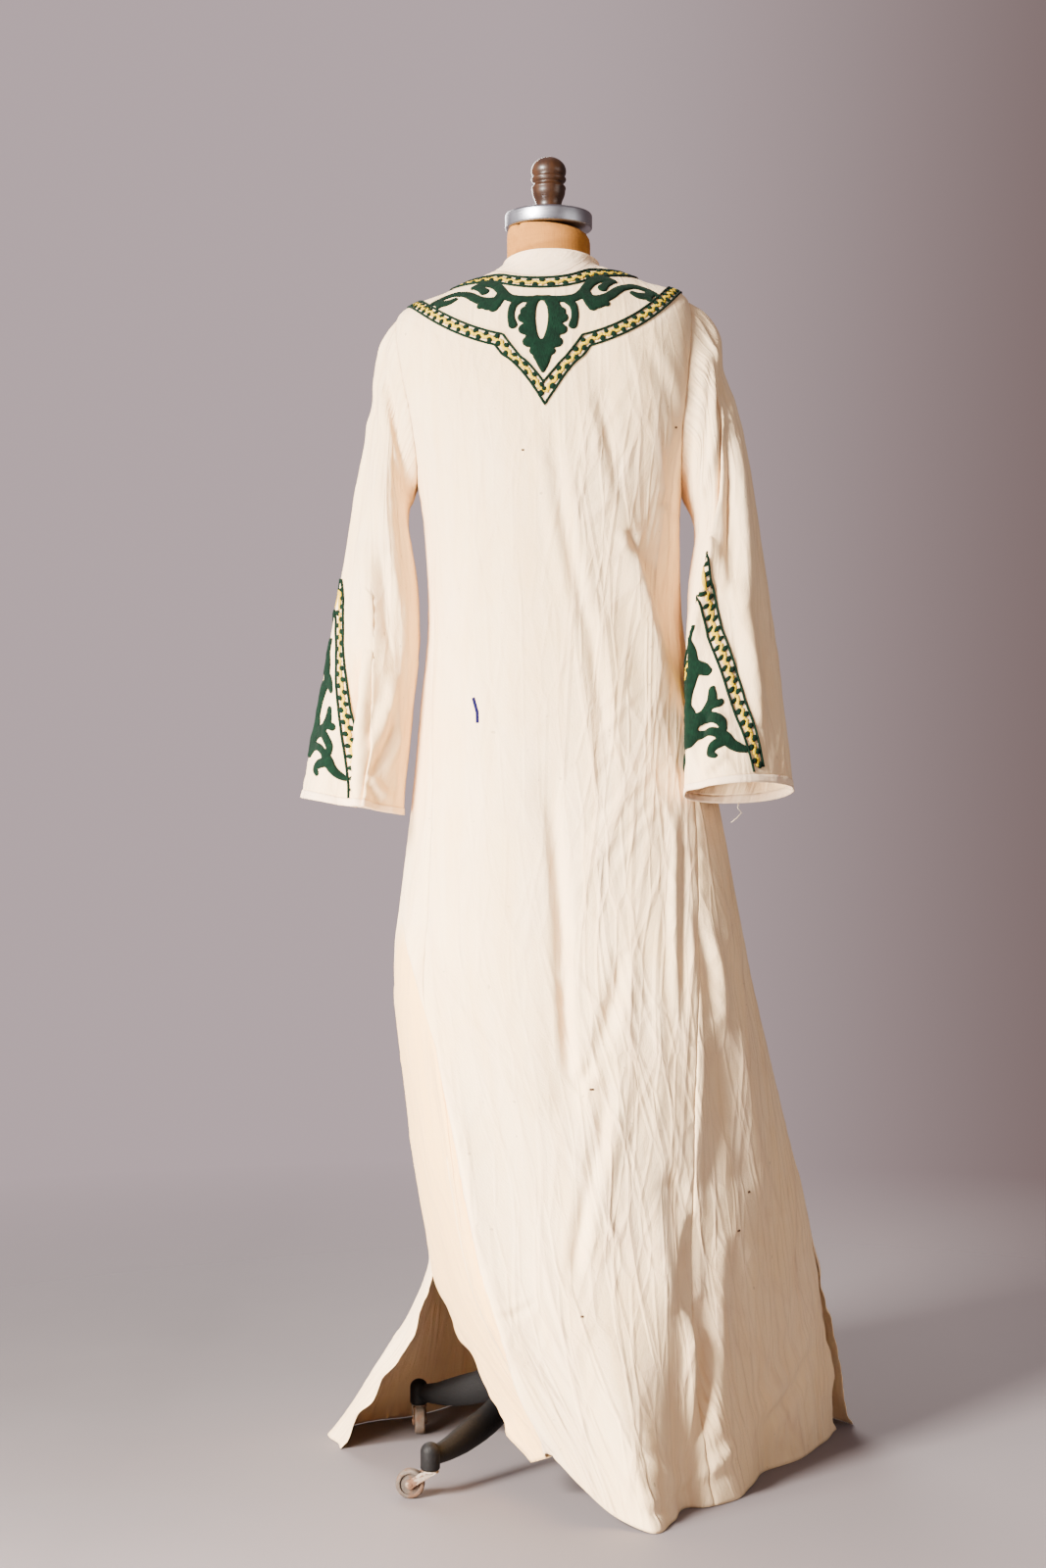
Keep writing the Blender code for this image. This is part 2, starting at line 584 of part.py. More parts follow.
def sleeve(side, turn, station):
    """A sleeve with its folds."""
    folds = LEFT_SLEEVE_FOLDS if side < 0 else RIGHT_SLEEVE_FOLDS
    points = wrapped_sleeve(side, turn, station)
    normals = sleeve_normals(wrapped_sleeve, side, turn, station)
    held = np.clip(station / 1.2, 0, 1)
    return points + normals * (folded(points, normals, folds) * held)[..., None]


def armhole_seam(side, turn):
    """Where the sleeve and the body meet: points, shared half-wall offsets and the way to the sleeve."""
    points, body_normals = armhole(side, turn)
    start = np.zeros_like(turn)
    sleeve_out = sleeve_normals(wrapped_sleeve, side, turn, start)
    shared = body_normals + sleeve_out
    length = np.linalg.norm(shared, axis=-1, keepdims=True)
    shared = shared / np.maximum(length, 1e-6)
    stretch = np.minimum(2 / np.maximum(length, 1e-6), 1.5)
    along = wrapped_sleeve(side, turn + 0.01, start) - wrapped_sleeve(side, turn - 0.01, start)
    away = wrapped_sleeve(side, turn, start + 0.05) - points
    across = crossed(shared, along)
    across = across * np.sign((across * away).sum(-1, keepdims=True))
    return points, shared * stretch * WALL / 2, across * SEAM_GAP / 2


# Cloth walls


def cloth(name, points, offsets, faces, look):
    """A closed wall: points and faces of its middle, thickened by the offsets to both sides."""
    count = len(points)
    first = np.array([points[list(face[:3])] for face in faces])
    lean = np.cross(first[:, 1] - first[:, 0], first[:, 2] - first[:, 0])
    facing = np.einsum("ij,ij->", lean, np.array([offsets[face[0]] for face in faces]))
    if facing < 0:
        faces = [tuple(reversed(face)) for face in faces]
    triangles = []
    for face in faces:
        for i in range(1, len(face) - 1):
            triangles.append((face[0], face[i], face[i + 1]))
    edges = {}
    for a, b, c in triangles:
        for edge in ((a, b), (b, c), (c, a)):
            edges[edge] = edges.get(edge, 0) + 1
    shell = list(triangles)
    shell += [(c + count, b + count, a + count) for a, b, c in triangles]
    for a, b in edges:
        if (b, a) in edges:
            continue
        if points[a][2] > points[b][2]:
            shell += [(b, a, b + count), (a, a + count, b + count)]
        else:
            shell += [(b, a, a + count), (b, a + count, b + count)]
    mesh = bpy.data.meshes.new(name)
    both = np.vstack([points + offsets, points - offsets])
    mesh.from_pydata([tuple(p) for p in both], [], shell)
    mesh.validate()
    return finished(name, mesh, look)


def grid_faces(rows, columns, closed=False, first=0):
    """Faces of a grid, all split along the same diagonal; a closed one joins its last column to its first."""
    faces = []
    wide = columns if closed else columns - 1
    for r in range(rows - 1):
        for c in range(wide):
            a = first + r * columns + c
            b = first + r * columns + (c + 1) % columns
            faces.append((a, a + columns, b + columns))
            faces.append((a, b + columns, b))
    return faces


def pulled_in(points, row_ends=(False, False)):
    """A grid with its side edges, and its top or bottom edge if asked, drawn back by half a seam gap."""
    out = points.copy()
    half = SEAM_GAP / 2
    for edge, inside in ((0, 1), (-1, -2)):
        way = points[:, inside] - points[:, edge]
        length = np.linalg.norm(way, axis=-1, keepdims=True)
        out[:, edge] += half * way / np.maximum(length, 1e-9)
    if row_ends[0]:
        way = points[1] - points[0]
        out[0] += half * way / np.linalg.norm(way, axis=-1, keepdims=True)
    if row_ends[1]:
        way = points[-2] - points[-1]
        out[-1] += half * way / np.linalg.norm(way, axis=-1, keepdims=True)
    return out


def body_levels():
    """Levels of the panels' rows, from the neckline to the hem, and which of them lie in the armhole."""
    top = np.linspace(0, TIP, 6)[:-1]
    turns = np.linspace(0, 1, ARMHOLE_ROWS + 1)
    arm = TIP + (ARMPIT - TIP) * (1 - np.cos(turns * math.pi)) / 2
    low = np.array([level_of(z) for z in LOW_ROWS])
    return np.concatenate([top, arm, HIP_ROWS, low]), len(top), len(top) + ARMHOLE_ROWS


def armhole_turns():
    """Turns of the armhole's points that the body's rows share, from the shoulder tip to the armpit."""
    return UNDERARM_START * math.pi * np.linspace(0, 1, ARMHOLE_ROWS + 1)


def level_at_hem(normals):
    """Normals with the hem's own made level, so that its edge lies flat on the floor."""
    out = normals.copy()
    out[-1, :, 2] = 0
    out[-1] /= np.linalg.norm(out[-1], axis=-1, keepdims=True)
    return out


def long_panel(name, front, columns):
    """The straight panel of the back or the front, from the neckline to the hem."""
    levels, tip_row, armpit_row = body_levels()
    start = 5.0 if front else 1.0
    u, level = np.meshgrid(np.linspace(start, start + 2, columns + 1), levels)
    middle = body(u, level, front)
    offsets = level_at_hem(normals_of(body, u, level, front)) * WALL / 2
    points = pulled_in(middle, (True, False))
    turns = armhole_turns()
    for column, side in ((0, 1 if front else -1), (-1, -1 if front else 1)):
        around = 2 * math.pi - turns if front else turns
        around = np.mod(around, 2 * math.pi)
        place, shared, to_sleeve = armhole_seam(side, around)
        rows = slice(tip_row, armpit_row + 1)
        inward = points[rows, column] - middle[rows, column]
        points[rows, column] = place + inward * HELD_IN_SEAM - to_sleeve
        offsets[rows, column] = shared
    points, offsets = points.reshape(-1, 3), offsets.reshape(-1, 3)
    faces = grid_faces(len(levels), columns + 1)
    if front:
        points, offsets, faces = neck_slit(points, offsets, faces, columns + 1)
    cloth(name, points, offsets, faces, material("cream cotton", CREAM, 0.85, 0.0))


def neck_slit(points, offsets, faces, wide):
    """The slit down the centre front that lets the head through: its middle column is parted."""
    middle = wide // 2
    doubled = {}
    extra_points, extra_offsets = [], []
    points = points.copy()
    for r in range(NECK_SLIT_ROWS):
        old = r * wide + middle
        doubled[old] = len(points) + len(extra_points)
        extra_points.append(points[old] - [NECK_SLIT_HALF_WIDTH, 0, 0])
        extra_offsets.append(offsets[old])
        points[old] = points[old] + [NECK_SLIT_HALF_WIDTH, 0, 0]
    changed = []
    for face in faces:
        far_side = any(i % wide > middle for i in face)
        changed.append(tuple(doubled.get(i, i) if far_side else i for i in face))
    return np.vstack([points, extra_points]), np.vstack([offsets, extra_offsets]), changed


def gore(name, first, last, front, side):
    """A gore between a long panel and the side seam, from the armpit to the hem."""
    levels, _, armpit_row = body_levels()
    u, level = np.meshgrid(np.linspace(first, last, GORE_COLUMNS + 1), levels[armpit_row:])
    middle = body(u, level, front)
    offsets = level_at_hem(normals_of(body, u, level, front)) * WALL / 2
    points = pulled_in(middle)
    share = np.abs(u[0] - np.round(4 * (1 if side > 0 else 2 * front)))
    turns = math.pi * (1 - (1 - UNDERARM_START) * np.clip(share, 0, 1))
    if front:
        turns = 2 * math.pi - turns
    place, shared, to_sleeve = armhole_seam(side, turns)
    points[0] = place + (points[0] - middle[0]) * HELD_IN_SEAM - to_sleeve
    offsets[0] = shared
    faces = grid_faces(len(u), GORE_COLUMNS + 1)
    look = material("cream cotton", CREAM, 0.85, 0.0)
    cloth(name, points.reshape(-1, 3), offsets.reshape(-1, 3), faces, look)


def sleeve_turns():
    """Turns of a sleeve's columns, which meet the body's rows at the armhole."""
    back = armhole_turns()
    return np.concatenate([back, [math.pi], 2 * math.pi - back[:0:-1]])


def sleeve_piece(name, side):
    """A sleeve, from the armhole to its cuff facing."""
    stations = np.concatenate([[0, 0.5, 1, 1.5, 2, 2.5, 3], np.arange(4, 11), [CUFF_STATIONS[side]]])
    turn, station = np.meshgrid(sleeve_turns(), stations)
    points = sleeve(side, turn, station)
    offsets = sleeve_normals(sleeve, side, turn, station) * WALL / 2
    place, shared, to_sleeve = armhole_seam(side, turn[0])
    points[0] = place + to_sleeve
    offsets[0] = shared
    up = points[-2] - points[-1]
    points[-1] += up / np.linalg.norm(up, axis=-1, keepdims=True) * SEAM_GAP / 2
    faces = grid_faces(len(stations), turn.shape[1], closed=True)
    look = material("cream cotton", CREAM, 0.85, 0.0)
    cloth(name, points.reshape(-1, 3), offsets.reshape(-1, 3), faces, look)


def cuff_piece(name, side):
    """The narrow facing band stitched round a sleeve's end."""
    stations = np.array([CUFF_STATIONS[side], len(LEFT_SLEEVE)])
    turn, station = np.meshgrid(sleeve_turns(), stations)
    points = sleeve(side, turn, station)
    offsets = sleeve_normals(sleeve, side, turn, station) * BAND_WALL / 2
    down = points[1] - points[0]
    points[0] += down / np.linalg.norm(down, axis=-1, keepdims=True) * SEAM_GAP / 2
    faces = grid_faces(len(stations), turn.shape[1], closed=True)
    look = material("pale cotton facing", PALE_CREAM, 0.8, 0.0)
    cloth(name, points.reshape(-1, 3), offsets.reshape(-1, 3), faces, look)


def neck_band():
    """The low stand round the neckline, parted at the front like the slit below it."""
    half_back = np.linspace(-math.pi / 2, math.pi / 2, BACK_COLUMNS + 1)
    half_front = np.linspace(math.pi / 2, 3 * math.pi / 2, FRONT_COLUMNS + 1)
    middle = FRONT_COLUMNS // 2
    ring = np.concatenate([half_front[middle:-1] - 2 * math.pi, half_back, half_front[1 : middle + 1]])
    low, high = np.array(LEVELS[0]), np.array(BAND_TOP)
    shares = np.linspace(0, 1, 4)
    rows = [low + (high - low) * share for share in shares]
    points = np.array([section(row, ring) for row in rows])
    for share, line in zip(shares, points):
        bow = 0.003 * math.sin(math.pi * share)
        line[:, :2] *= 1 - bow / np.linalg.norm(line[:, :2], axis=-1, keepdims=True)
    along = np.gradient(points, axis=1)
    rise = np.gradient(points, axis=0)
    normals = crossed(along, rise)
    up = points[1] - points[0]
    points[0] += up * SEAM_GAP / np.linalg.norm(up, axis=-1, keepdims=True)
    points[:, 0, 0] -= NECK_SLIT_HALF_WIDTH
    points[:, -1, 0] += NECK_SLIT_HALF_WIDTH
    faces = grid_faces(len(rows), len(ring))
    look = material("pale cotton facing", PALE_CREAM, 0.8, 0.0)
    cloth("neck_band", points.reshape(-1, 3), normals.reshape(-1, 3) * WALL / 2, faces, look)


# The form


def closed_rings(name, rings, look):
    """A solid through rings of points, closed by a fan at each end."""
    wide = len(rings[0])
    points = [tuple(p) for ring in rings for p in ring]
    faces = grid_faces(len(rings), wide, closed=True)
    for ring, start, turned in ((rings[0], 0, False), (rings[-1], (len(rings) - 1) * wide, True)):
        points.append(tuple(np.mean(ring, axis=0)))
        hub = len(points) - 1
        for c in range(wide):
            a, b = start + c, start + (c + 1) % wide
            faces.append((hub, b, a) if turned else (hub, a, b))
    mesh = bpy.data.meshes.new(name)
    mesh.from_pydata(points, [], faces)
    outward(mesh)
    return finished(name, mesh, look)


def outward(mesh):
    """Turns a closed mesh's faces to point out."""
    edit = bmesh.new()
    edit.from_mesh(mesh)
    bmesh.ops.recalc_face_normals(edit, faces=edit.faces)
    edit.to_mesh(mesh)
    edit.free()


def torso():
    """The form's linen body: under the shoulders it follows the dress, which rests on it."""
    back = np.linspace(-math.pi / 2, math.pi / 2, BACK_COLUMNS + 1)
    front = np.linspace(math.pi / 2, 3 * math.pi / 2, FRONT_COLUMNS + 1)
    angles = np.concatenate([back, front[1:-1]])
    rings = []
    for z, radius in FORM_NECK_RINGS:
        round_neck = np.stack([np.sin(angles), -np.cos(angles), 0 * angles], axis=-1) * radius
        rings.append(round_neck + [0, 0, z])
    rings.append(section(np.array(FORM_NECK_BASE), angles))
    u = np.concatenate([np.linspace(1, 3, BACK_COLUMNS + 1), np.linspace(5, 7, FRONT_COLUMNS + 1)[1:-1]])
    is_front = u > 4
    for level in np.linspace(0, TIP, 6)[1:]:
        here = np.full(u.shape, level)
        points = np.where(is_front[:, None], body(u, here, True), body(u, here, False))
        normals = np.where(
            is_front[:, None], normals_of(body, u, here, True), normals_of(body, u, here, False)
        )
        rings.append(points - normals * (WALL / 2 + SEAT_GAP))
    for row in TORSO:
        rings.append(section(np.array(row), angles))
    closed_rings("form_torso", rings, material("form linen", LINEN, 0.9, 0.0))


def turned(name, profile, look, sides=32, lift=0.0):
    """A solid turned round the pole's axis from a profile of radius and height that starts and ends at 0."""
    angles = np.linspace(0, 2 * math.pi, sides, endpoint=False)
    circle = np.stack([np.cos(angles), np.sin(angles), 0 * angles], axis=-1)
    rings = [circle * radius + [0, 0, height + lift] for radius, height in profile[1:-1]]
    return closed_rings(name, rings, look)


def form_top():
    """The steel cap on the neck and the wooden finial on it."""
    cap = (
        (0.0, CAP_BOTTOM),
        (CAP_RADIUS, CAP_BOTTOM),
        (CAP_RADIUS, CAP_TOP - CAP_BEVEL),
        (CAP_RADIUS - CAP_BEVEL, CAP_TOP),
        (0.0, CAP_TOP),
    )
    turned("neck_cap", cap, material("brushed steel", STEEL, 0.35, 1.0), sides=40)
    turned("finial", FINIAL_PROFILE, material("dark walnut", WALNUT, 0.25, 0.0), sides=18, lift=CAP_TOP)


# The base


def tube(name, radius, low, high, look, sides=24):
    """An upright round bar on the pole's axis."""
    return turned(name, ((0.0, low), (radius, low), (radius, high), (0.0, high)), look, sides)


def cylinder_at(name, radius, low, high, sides=24):
    """A helper cylinder for a Boolean, upright at the origin."""
    edit = bmesh.new()
    place = Matrix.Translation((0, 0, (low + high) / 2))
    bmesh.ops.create_cone(
        edit, cap_ends=True, segments=sides, radius1=radius, radius2=radius, depth=high - low, matrix=place
    )
    mesh = bpy.data.meshes.new(name)
    edit.to_mesh(mesh)
    edit.free()
    item = bpy.data.objects.new(name, mesh)
    bpy.context.collection.objects.link(item)
    return item


def combined(base, other, operation):
    """The base mesh joined with, or cut by, another object, which is used up."""
    step = base.modifiers.new("join", "BOOLEAN")
    step.operation = operation
    step.object = other
    bpy.context.view_layer.update()
    seen = base.evaluated_get(bpy.context.evaluated_depsgraph_get())
    mesh = bpy.data.meshes.new_from_object(seen)
    base.modifiers.clear()
    old = base.data
    base.data = mesh
    bpy.data.meshes.remove(old)
    bpy.data.objects.remove(other, do_unlink=True)
    return base


def leg_mesh():
    """One cast leg along +X: an arched arm that ends in a round foot with a hole for the caster's stem."""
    angles = np.linspace(0, 2 * math.pi, LEG_SIDES, endpoint=False) + math.pi / LEG_SIDES
    rings = []
    for reach, z_low, z_top, half_width in LEG_SECTIONS:
        middle, half = (z_low + z_top) / 2, (z_top - z_low) / 2
        wide = np.sign(np.cos(angles)) * np.abs(np.cos(angles)) ** 0.7 * half_width
        tall = np.sign(np.sin(angles)) * np.abs(np.sin(angles)) ** 0.7 * half
        rings.append(np.stack([0 * angles + reach, wide, middle + tall], axis=-1))
    arm = closed_rings("arm", rings, material("cast iron", IRON, 0.55, 0.6))
    foot_profile = ((0.0, FOOT_BOTTOM), (FOOT_RADIUS * 0.9, FOOT_BOTTOM), (FOOT_RADIUS, FOOT_BOTTOM + 0.003))
    dome = []
    for step in range(5):
        turn = math.radians(step * 20)
        dome.append((FOOT_RADIUS * math.cos(turn), FOOT_DOME + (FOOT_TOP - FOOT_DOME) * math.sin(turn)))
    foot = turned("foot", (*foot_profile, *dome, (0.0, FOOT_TOP)), material("cast iron", IRON, 0.55, 0.6), 20)
    foot.data.transform(Matrix.Translation((LEG_REACH, 0, 0)))
    arm = combined(arm, foot, "UNION")
    hole_top = STEM_TOP + STEM_CLEARANCE
    hole = cylinder_at("hole", STEM_RADIUS + STEM_CLEARANCE, FOOT_BOTTOM - 0.01, hole_top, 16)
    hole.data.transform(Matrix.Translation((LEG_REACH, 0, 0)))
    arm = combined(arm, hole, "DIFFERENCE")
    mesh = arm.data.copy()
    bpy.data.objects.remove(arm, do_unlink=True)
    return mesh


def fork_mesh():
    """One caster fork at its own origin on the floor under its stem, trailing to +X."""
    look = material("rusty steel", RUST, 0.6, 0.8)
    stem = cylinder_at("stem", STEM_RADIUS, CROWN_LOW + 0.001, STEM_TOP, 16)
    crown = cylinder_at("crown", CROWN_RADIUS, CROWN_LOW, CROWN_TOP, 20)
    body_part = combined(crown, stem, "UNION")
    outline = (
        # x      z
        (-0.0070, CROWN_TOP - 0.001),
        (-0.0080, CROWN_LOW - 0.004),
        (TRAIL - 0.0040, WHEEL_RADIUS - 0.0050),
        (TRAIL + 0.0030, WHEEL_RADIUS - 0.0050),
        (TRAIL + 0.0050, WHEEL_RADIUS),
        (0.0100, CROWN_TOP - 0.001),
    )
    for side in (-1, 1):
        edit = bmesh.new()
        near = side * CHEEK_INNER
        corners = [edit.verts.new((x, near, z)) for x, z in outline]
        face = edit.faces.new(corners)
        moved = bmesh.ops.extrude_face_region(edit, geom=[face])["geom"]
        moved = [v for v in moved if isinstance(v, bmesh.types.BMVert)]
        bmesh.ops.translate(edit, verts=moved, vec=(0, side * CHEEK_THICK, 0))
        bmesh.ops.recalc_face_normals(edit, faces=edit.faces)
        mesh = bpy.data.meshes.new("cheek")
        edit.to_mesh(mesh)
        edit.free()
        cheek = bpy.data.objects.new("cheek", mesh)
        bpy.context.collection.objects.link(cheek)
        body_part = combined(body_part, cheek, "UNION")
    reach = CHEEK_INNER + CHEEK_THICK + 0.0008
    axle = cylinder_at("axle", AXLE_RADIUS, -reach, reach, 16)
    axle.data.transform(Matrix.Rotation(math.pi / 2, 4, "X"))
    axle.data.transform(Matrix.Translation((TRAIL, 0, WHEEL_RADIUS)))
    body_part = combined(body_part, axle, "UNION")
    mesh = body_part.data.copy()
    bpy.data.objects.remove(body_part, do_unlink=True)
    mesh.materials.clear()
    mesh.materials.append(look)
    return mesh


def wheel_mesh():
    """One wheel at its own centre, its axis along Y, with a flat of its rim straight down."""
    corner = WHEEL_RADIUS / math.cos(math.pi / WHEEL_SIDES)
    bore = AXLE_RADIUS + AXLE_CLEARANCE
    profile = (
        # radius across
        (bore, -WHEEL_HALF_WIDTH),
        (corner * 0.90, -WHEEL_HALF_WIDTH),
        (corner, -WHEEL_HALF_WIDTH * 0.75),
        (corner, WHEEL_HALF_WIDTH * 0.75),
        (corner * 0.90, WHEEL_HALF_WIDTH),
        (bore, WHEEL_HALF_WIDTH),
    )
    angles = (np.arange(WHEEL_SIDES) + 0.5) * 2 * math.pi / WHEEL_SIDES
    points = []
    for radius, across in profile:
        points += [(radius * math.sin(a), across, -radius * math.cos(a)) for a in angles]
    faces = []
    for r in range(len(profile)):
        after = (r + 1) % len(profile)
        for c in range(WHEEL_SIDES):
            d = (c + 1) % WHEEL_SIDES
            low, high = r * WHEEL_SIDES, after * WHEEL_SIDES
            faces.append((low + c, low + d, high + d, high + c))
    mesh = bpy.data.meshes.new("wheel")
    mesh.from_pydata(points, [], faces)
    outward(mesh)
    return mesh


def base():
    """Pole, collar, hub, legs and casters."""
    iron = material("cast iron", IRON, 0.55, 0.6)
    tube("pole", POLE_RADIUS, POLE_BOTTOM, TORSO_BOTTOM - SEAM_GAP, iron)
    turned("hub", HUB_PROFILE, iron, sides=32)
    leg, fork, wheel = leg_mesh(), fork_mesh(), wheel_mesh()
    for name, angle in zip(LEG_NAMES, LEG_ANGLES):
        turn = Matrix.Rotation(math.radians(angle), 4, "Z")
        arm = leg.copy()
        arm.transform(turn)
        finished(f"leg_{name}", arm, iron)
        place = turn @ Vector((LEG_REACH, 0, 0))
        trail = Matrix.Rotation(math.radians(TRAIL_ANGLES[name]), 4, "Z")
        fork_copy = fork.copy()
        fork_copy.transform(trail)
        swivel = finished(f"fork_{name}", fork_copy, material("rusty steel", RUST, 0.6, 0.8))
        swivel.location = place
        wheel_copy = wheel.copy()
        wheel_copy.transform(trail)
        roller = finished(f"wheel_{name}", wheel_copy, material("rusty wheel", RUST, 0.7, 0.5))
        roller.location = place + trail @ Vector((TRAIL, 0, WHEEL_RADIUS))


def centre_footprint():
    """Moves the whole so that its bounds are centred on the origin."""
    bpy.context.view_layer.update()
    corners = []
    for item in bpy.data.objects:
        if item.type == "MESH":
            points = np.array([item.matrix_world @ v.co for v in item.data.vertices])
            corners += [points.min(axis=0), points.max(axis=0)]
    low, high = np.min(corners, axis=0), np.max(corners, axis=0)
    shift = Vector((-(low[0] + high[0]) / 2, -(low[1] + high[1]) / 2, 0))
    for item in bpy.data.objects:
        if item.location.length > 0:
            item.location += shift
        else:
            item.data.transform(Matrix.Translation(shift))


def main():
    clear_scene()
    long_panel("back_panel", False, BACK_COLUMNS)
    long_panel("front_panel", True, FRONT_COLUMNS)
    gore("back_gore_left", 0, 1, False, -1)
    gore("back_gore_right", 3, 4, False, 1)
    gore("front_gore_right", 4, 5, True, 1)
    gore("front_gore_left", 7, 8, True, -1)
    for name, side in (("left", -1), ("right", 1)):
        sleeve_piece(f"sleeve_{name}", side)
        cuff_piece(f"cuff_{name}", side)
    neck_band()
    torso()
    form_top()
    base()
    centre_footprint()


main()
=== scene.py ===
# %% [markdown]
# # A kaftan on a dress form
#
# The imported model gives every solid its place. Here the cloth, the embroidery and the metal and wooden
# pieces get their fine shape and finish. The back of the dress faces -Y, the right-hand side of the picture
# is +X.

import math

import bmesh
import bpy
import numpy as np
from mathutils import Matrix, Vector


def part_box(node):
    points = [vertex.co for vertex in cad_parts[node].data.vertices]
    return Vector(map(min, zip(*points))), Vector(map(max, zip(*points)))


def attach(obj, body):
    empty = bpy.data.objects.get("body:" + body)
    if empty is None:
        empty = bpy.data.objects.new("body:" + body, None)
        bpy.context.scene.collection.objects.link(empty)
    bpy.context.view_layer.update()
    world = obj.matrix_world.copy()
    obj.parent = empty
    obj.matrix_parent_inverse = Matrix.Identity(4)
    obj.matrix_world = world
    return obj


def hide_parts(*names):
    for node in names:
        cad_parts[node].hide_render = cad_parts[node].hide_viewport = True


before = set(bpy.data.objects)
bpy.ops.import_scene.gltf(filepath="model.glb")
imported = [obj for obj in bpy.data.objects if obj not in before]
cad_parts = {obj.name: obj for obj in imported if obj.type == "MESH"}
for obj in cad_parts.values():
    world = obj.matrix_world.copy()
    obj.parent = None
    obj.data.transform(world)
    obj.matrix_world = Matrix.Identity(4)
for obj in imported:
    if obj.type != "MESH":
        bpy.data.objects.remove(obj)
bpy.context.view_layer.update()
pole_low, pole_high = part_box("pole")
POLE = np.array([(pole_low[0] + pole_high[0]) / 2, (pole_low[1] + pole_high[1]) / 2, 0.0])
print("pole axis at", np.round(POLE, 4))


def linked(name, data):
    """A new object in the scene."""
    item = bpy.data.objects.new(name, data)
    bpy.context.scene.collection.objects.link(item)
    return item


def only(item):
    """Selects one object and nothing else."""
    if bpy.context.mode != "OBJECT":
        bpy.ops.object.mode_set(mode="OBJECT")
    bpy.ops.object.select_all(action="DESELECT")
    item.select_set(True)
    bpy.context.view_layer.objects.active = item


def applied(item, kind, **settings):
    """Adds a modifier, sets it and applies it."""
    only(item)
    made = item.modifiers.new(kind.lower(), kind)
    for key, value in settings.items():
        setattr(made, key, value)
    bpy.ops.object.modifier_apply(modifier=made.name)


# %% [markdown]
# ## Camera
#
# The camera is put three metres behind the dress, at about waist height, with a short telephoto view, and
# looks a touch upwards. The distance was chosen, and the lens then fitted to the picture.

# %% Camera
CAMERA_DISTANCE, CAMERA_HEIGHT, CAMERA_ASIDE = 3.0, 0.82, -0.033
FOCAL_PIXELS, PICTURE_HEIGHT, HORIZON_BELOW_MIDDLE = 2388.0, 1600.0, 33.0

camera_data = bpy.data.cameras.new("camera")
camera_data.sensor_width = 36.0
camera_data.lens = FOCAL_PIXELS / PICTURE_HEIGHT * 36.0
camera = linked("camera", camera_data)
camera.location = (POLE[0] + CAMERA_ASIDE, POLE[1] - CAMERA_DISTANCE, CAMERA_HEIGHT)
camera.rotation_euler = (math.pi / 2 + math.atan(HORIZON_BELOW_MIDDLE / FOCAL_PIXELS), 0, 0)
bpy.context.scene.camera = camera
print("lens", round(camera_data.lens, 2))

# %% [markdown]
# ## Materials: small helpers
#
# Every finish is a Principled shader fed by a few texture nodes. These helpers add a node, set its inputs
# and join it up, so that each material below reads as a short recipe.

# %% Node helpers


def new_material(name, colour, roughness, metallic=0.0):
    """A material with one Principled shader, and its node tree and shader."""
    made = bpy.data.materials.new(name)
    made.use_nodes = True
    shader = made.node_tree.nodes["Principled BSDF"]
    shader.inputs["Base Color"].default_value = (*colour, 1.0)
    shader.inputs["Roughness"].default_value = roughness
    shader.inputs["Metallic"].default_value = metallic
    return made, made.node_tree, shader


def node(tree, kind, settings=None, **inputs):
    """A new node: settings are its own choices, inputs are values or other nodes' sockets."""
    made = tree.nodes.new(kind)
    for key, value in (settings or {}).items():
        setattr(made, key, value)
    for key, value in inputs.items():
        place = int(key[1:]) if key[0] == "i" and key[1:].isdigit() else key.replace("_", " ")
        socket = made.inputs[place]
        if isinstance(value, bpy.types.NodeSocket):
            tree.links.new(value, socket)
        else:
            socket.default_value = value
    return made


def noise(tree, where, scale, detail=3.0, rough=0.5, stretch=(1, 1, 1)):
    """Noise from 0 to 1 at so many patches a metre, stretched along the axes of where."""
    place = node(tree, "ShaderNodeMapping", Vector=where, Scale=stretch)
    settings = {"Scale": scale, "Detail": detail, "Roughness": rough}
    return node(tree, "ShaderNodeTexNoise", Vector=place.outputs[0], **settings).outputs[0]


def ramp(tree, value, low, high, to_low=0.0, to_high=1.0):
    """A value spread from low..high to another range, and held there."""
    made = node(
        tree, "ShaderNodeMapRange", {"clamp": True}, i0=value, i1=low, i2=high, i3=to_low, i4=to_high
    )
    return made.outputs[0]


def mixed(tree, share, first, second):
    """Two colours mixed by a share from 0 to 1."""
    made = node(tree, "ShaderNodeMix", {"data_type": "RGBA"})
    for place, value in ((0, share), (6, first), (7, second)):
        if isinstance(value, bpy.types.NodeSocket):
            tree.links.new(value, made.inputs[place])
        elif place == 0:
            made.inputs[place].default_value = value
        else:
            made.inputs[place].default_value = (*value, 1.0)
    return made.outputs[2]


def math_node(tree, operation, first, second=0.0):
    """One step of arithmetic."""
    return node(tree, "ShaderNodeMath", {"operation": operation}, i0=first, i1=second).outputs[0]


def plus(tree, first, second):
    """The sum of two values."""
    return math_node(tree, "ADD", first, second)


def times(tree, first, second):
    """The product of two values."""
    return math_node(tree, "MULTIPLY", first, second)


def bumped(tree, shader, height, strength, distance):
    """Bump from a height, joined to the shader."""
    made = node(tree, "ShaderNodeBump", Strength=strength, Distance=distance, Height=height)
    tree.links.new(made.outputs[0], shader.inputs["Normal"])


def settle_shader(shader, **values):
    """Sets a shader's inputs, named with _ for a space."""
    for name, value in values.items():
        shader.inputs[name.replace("_", " ")].default_value = value


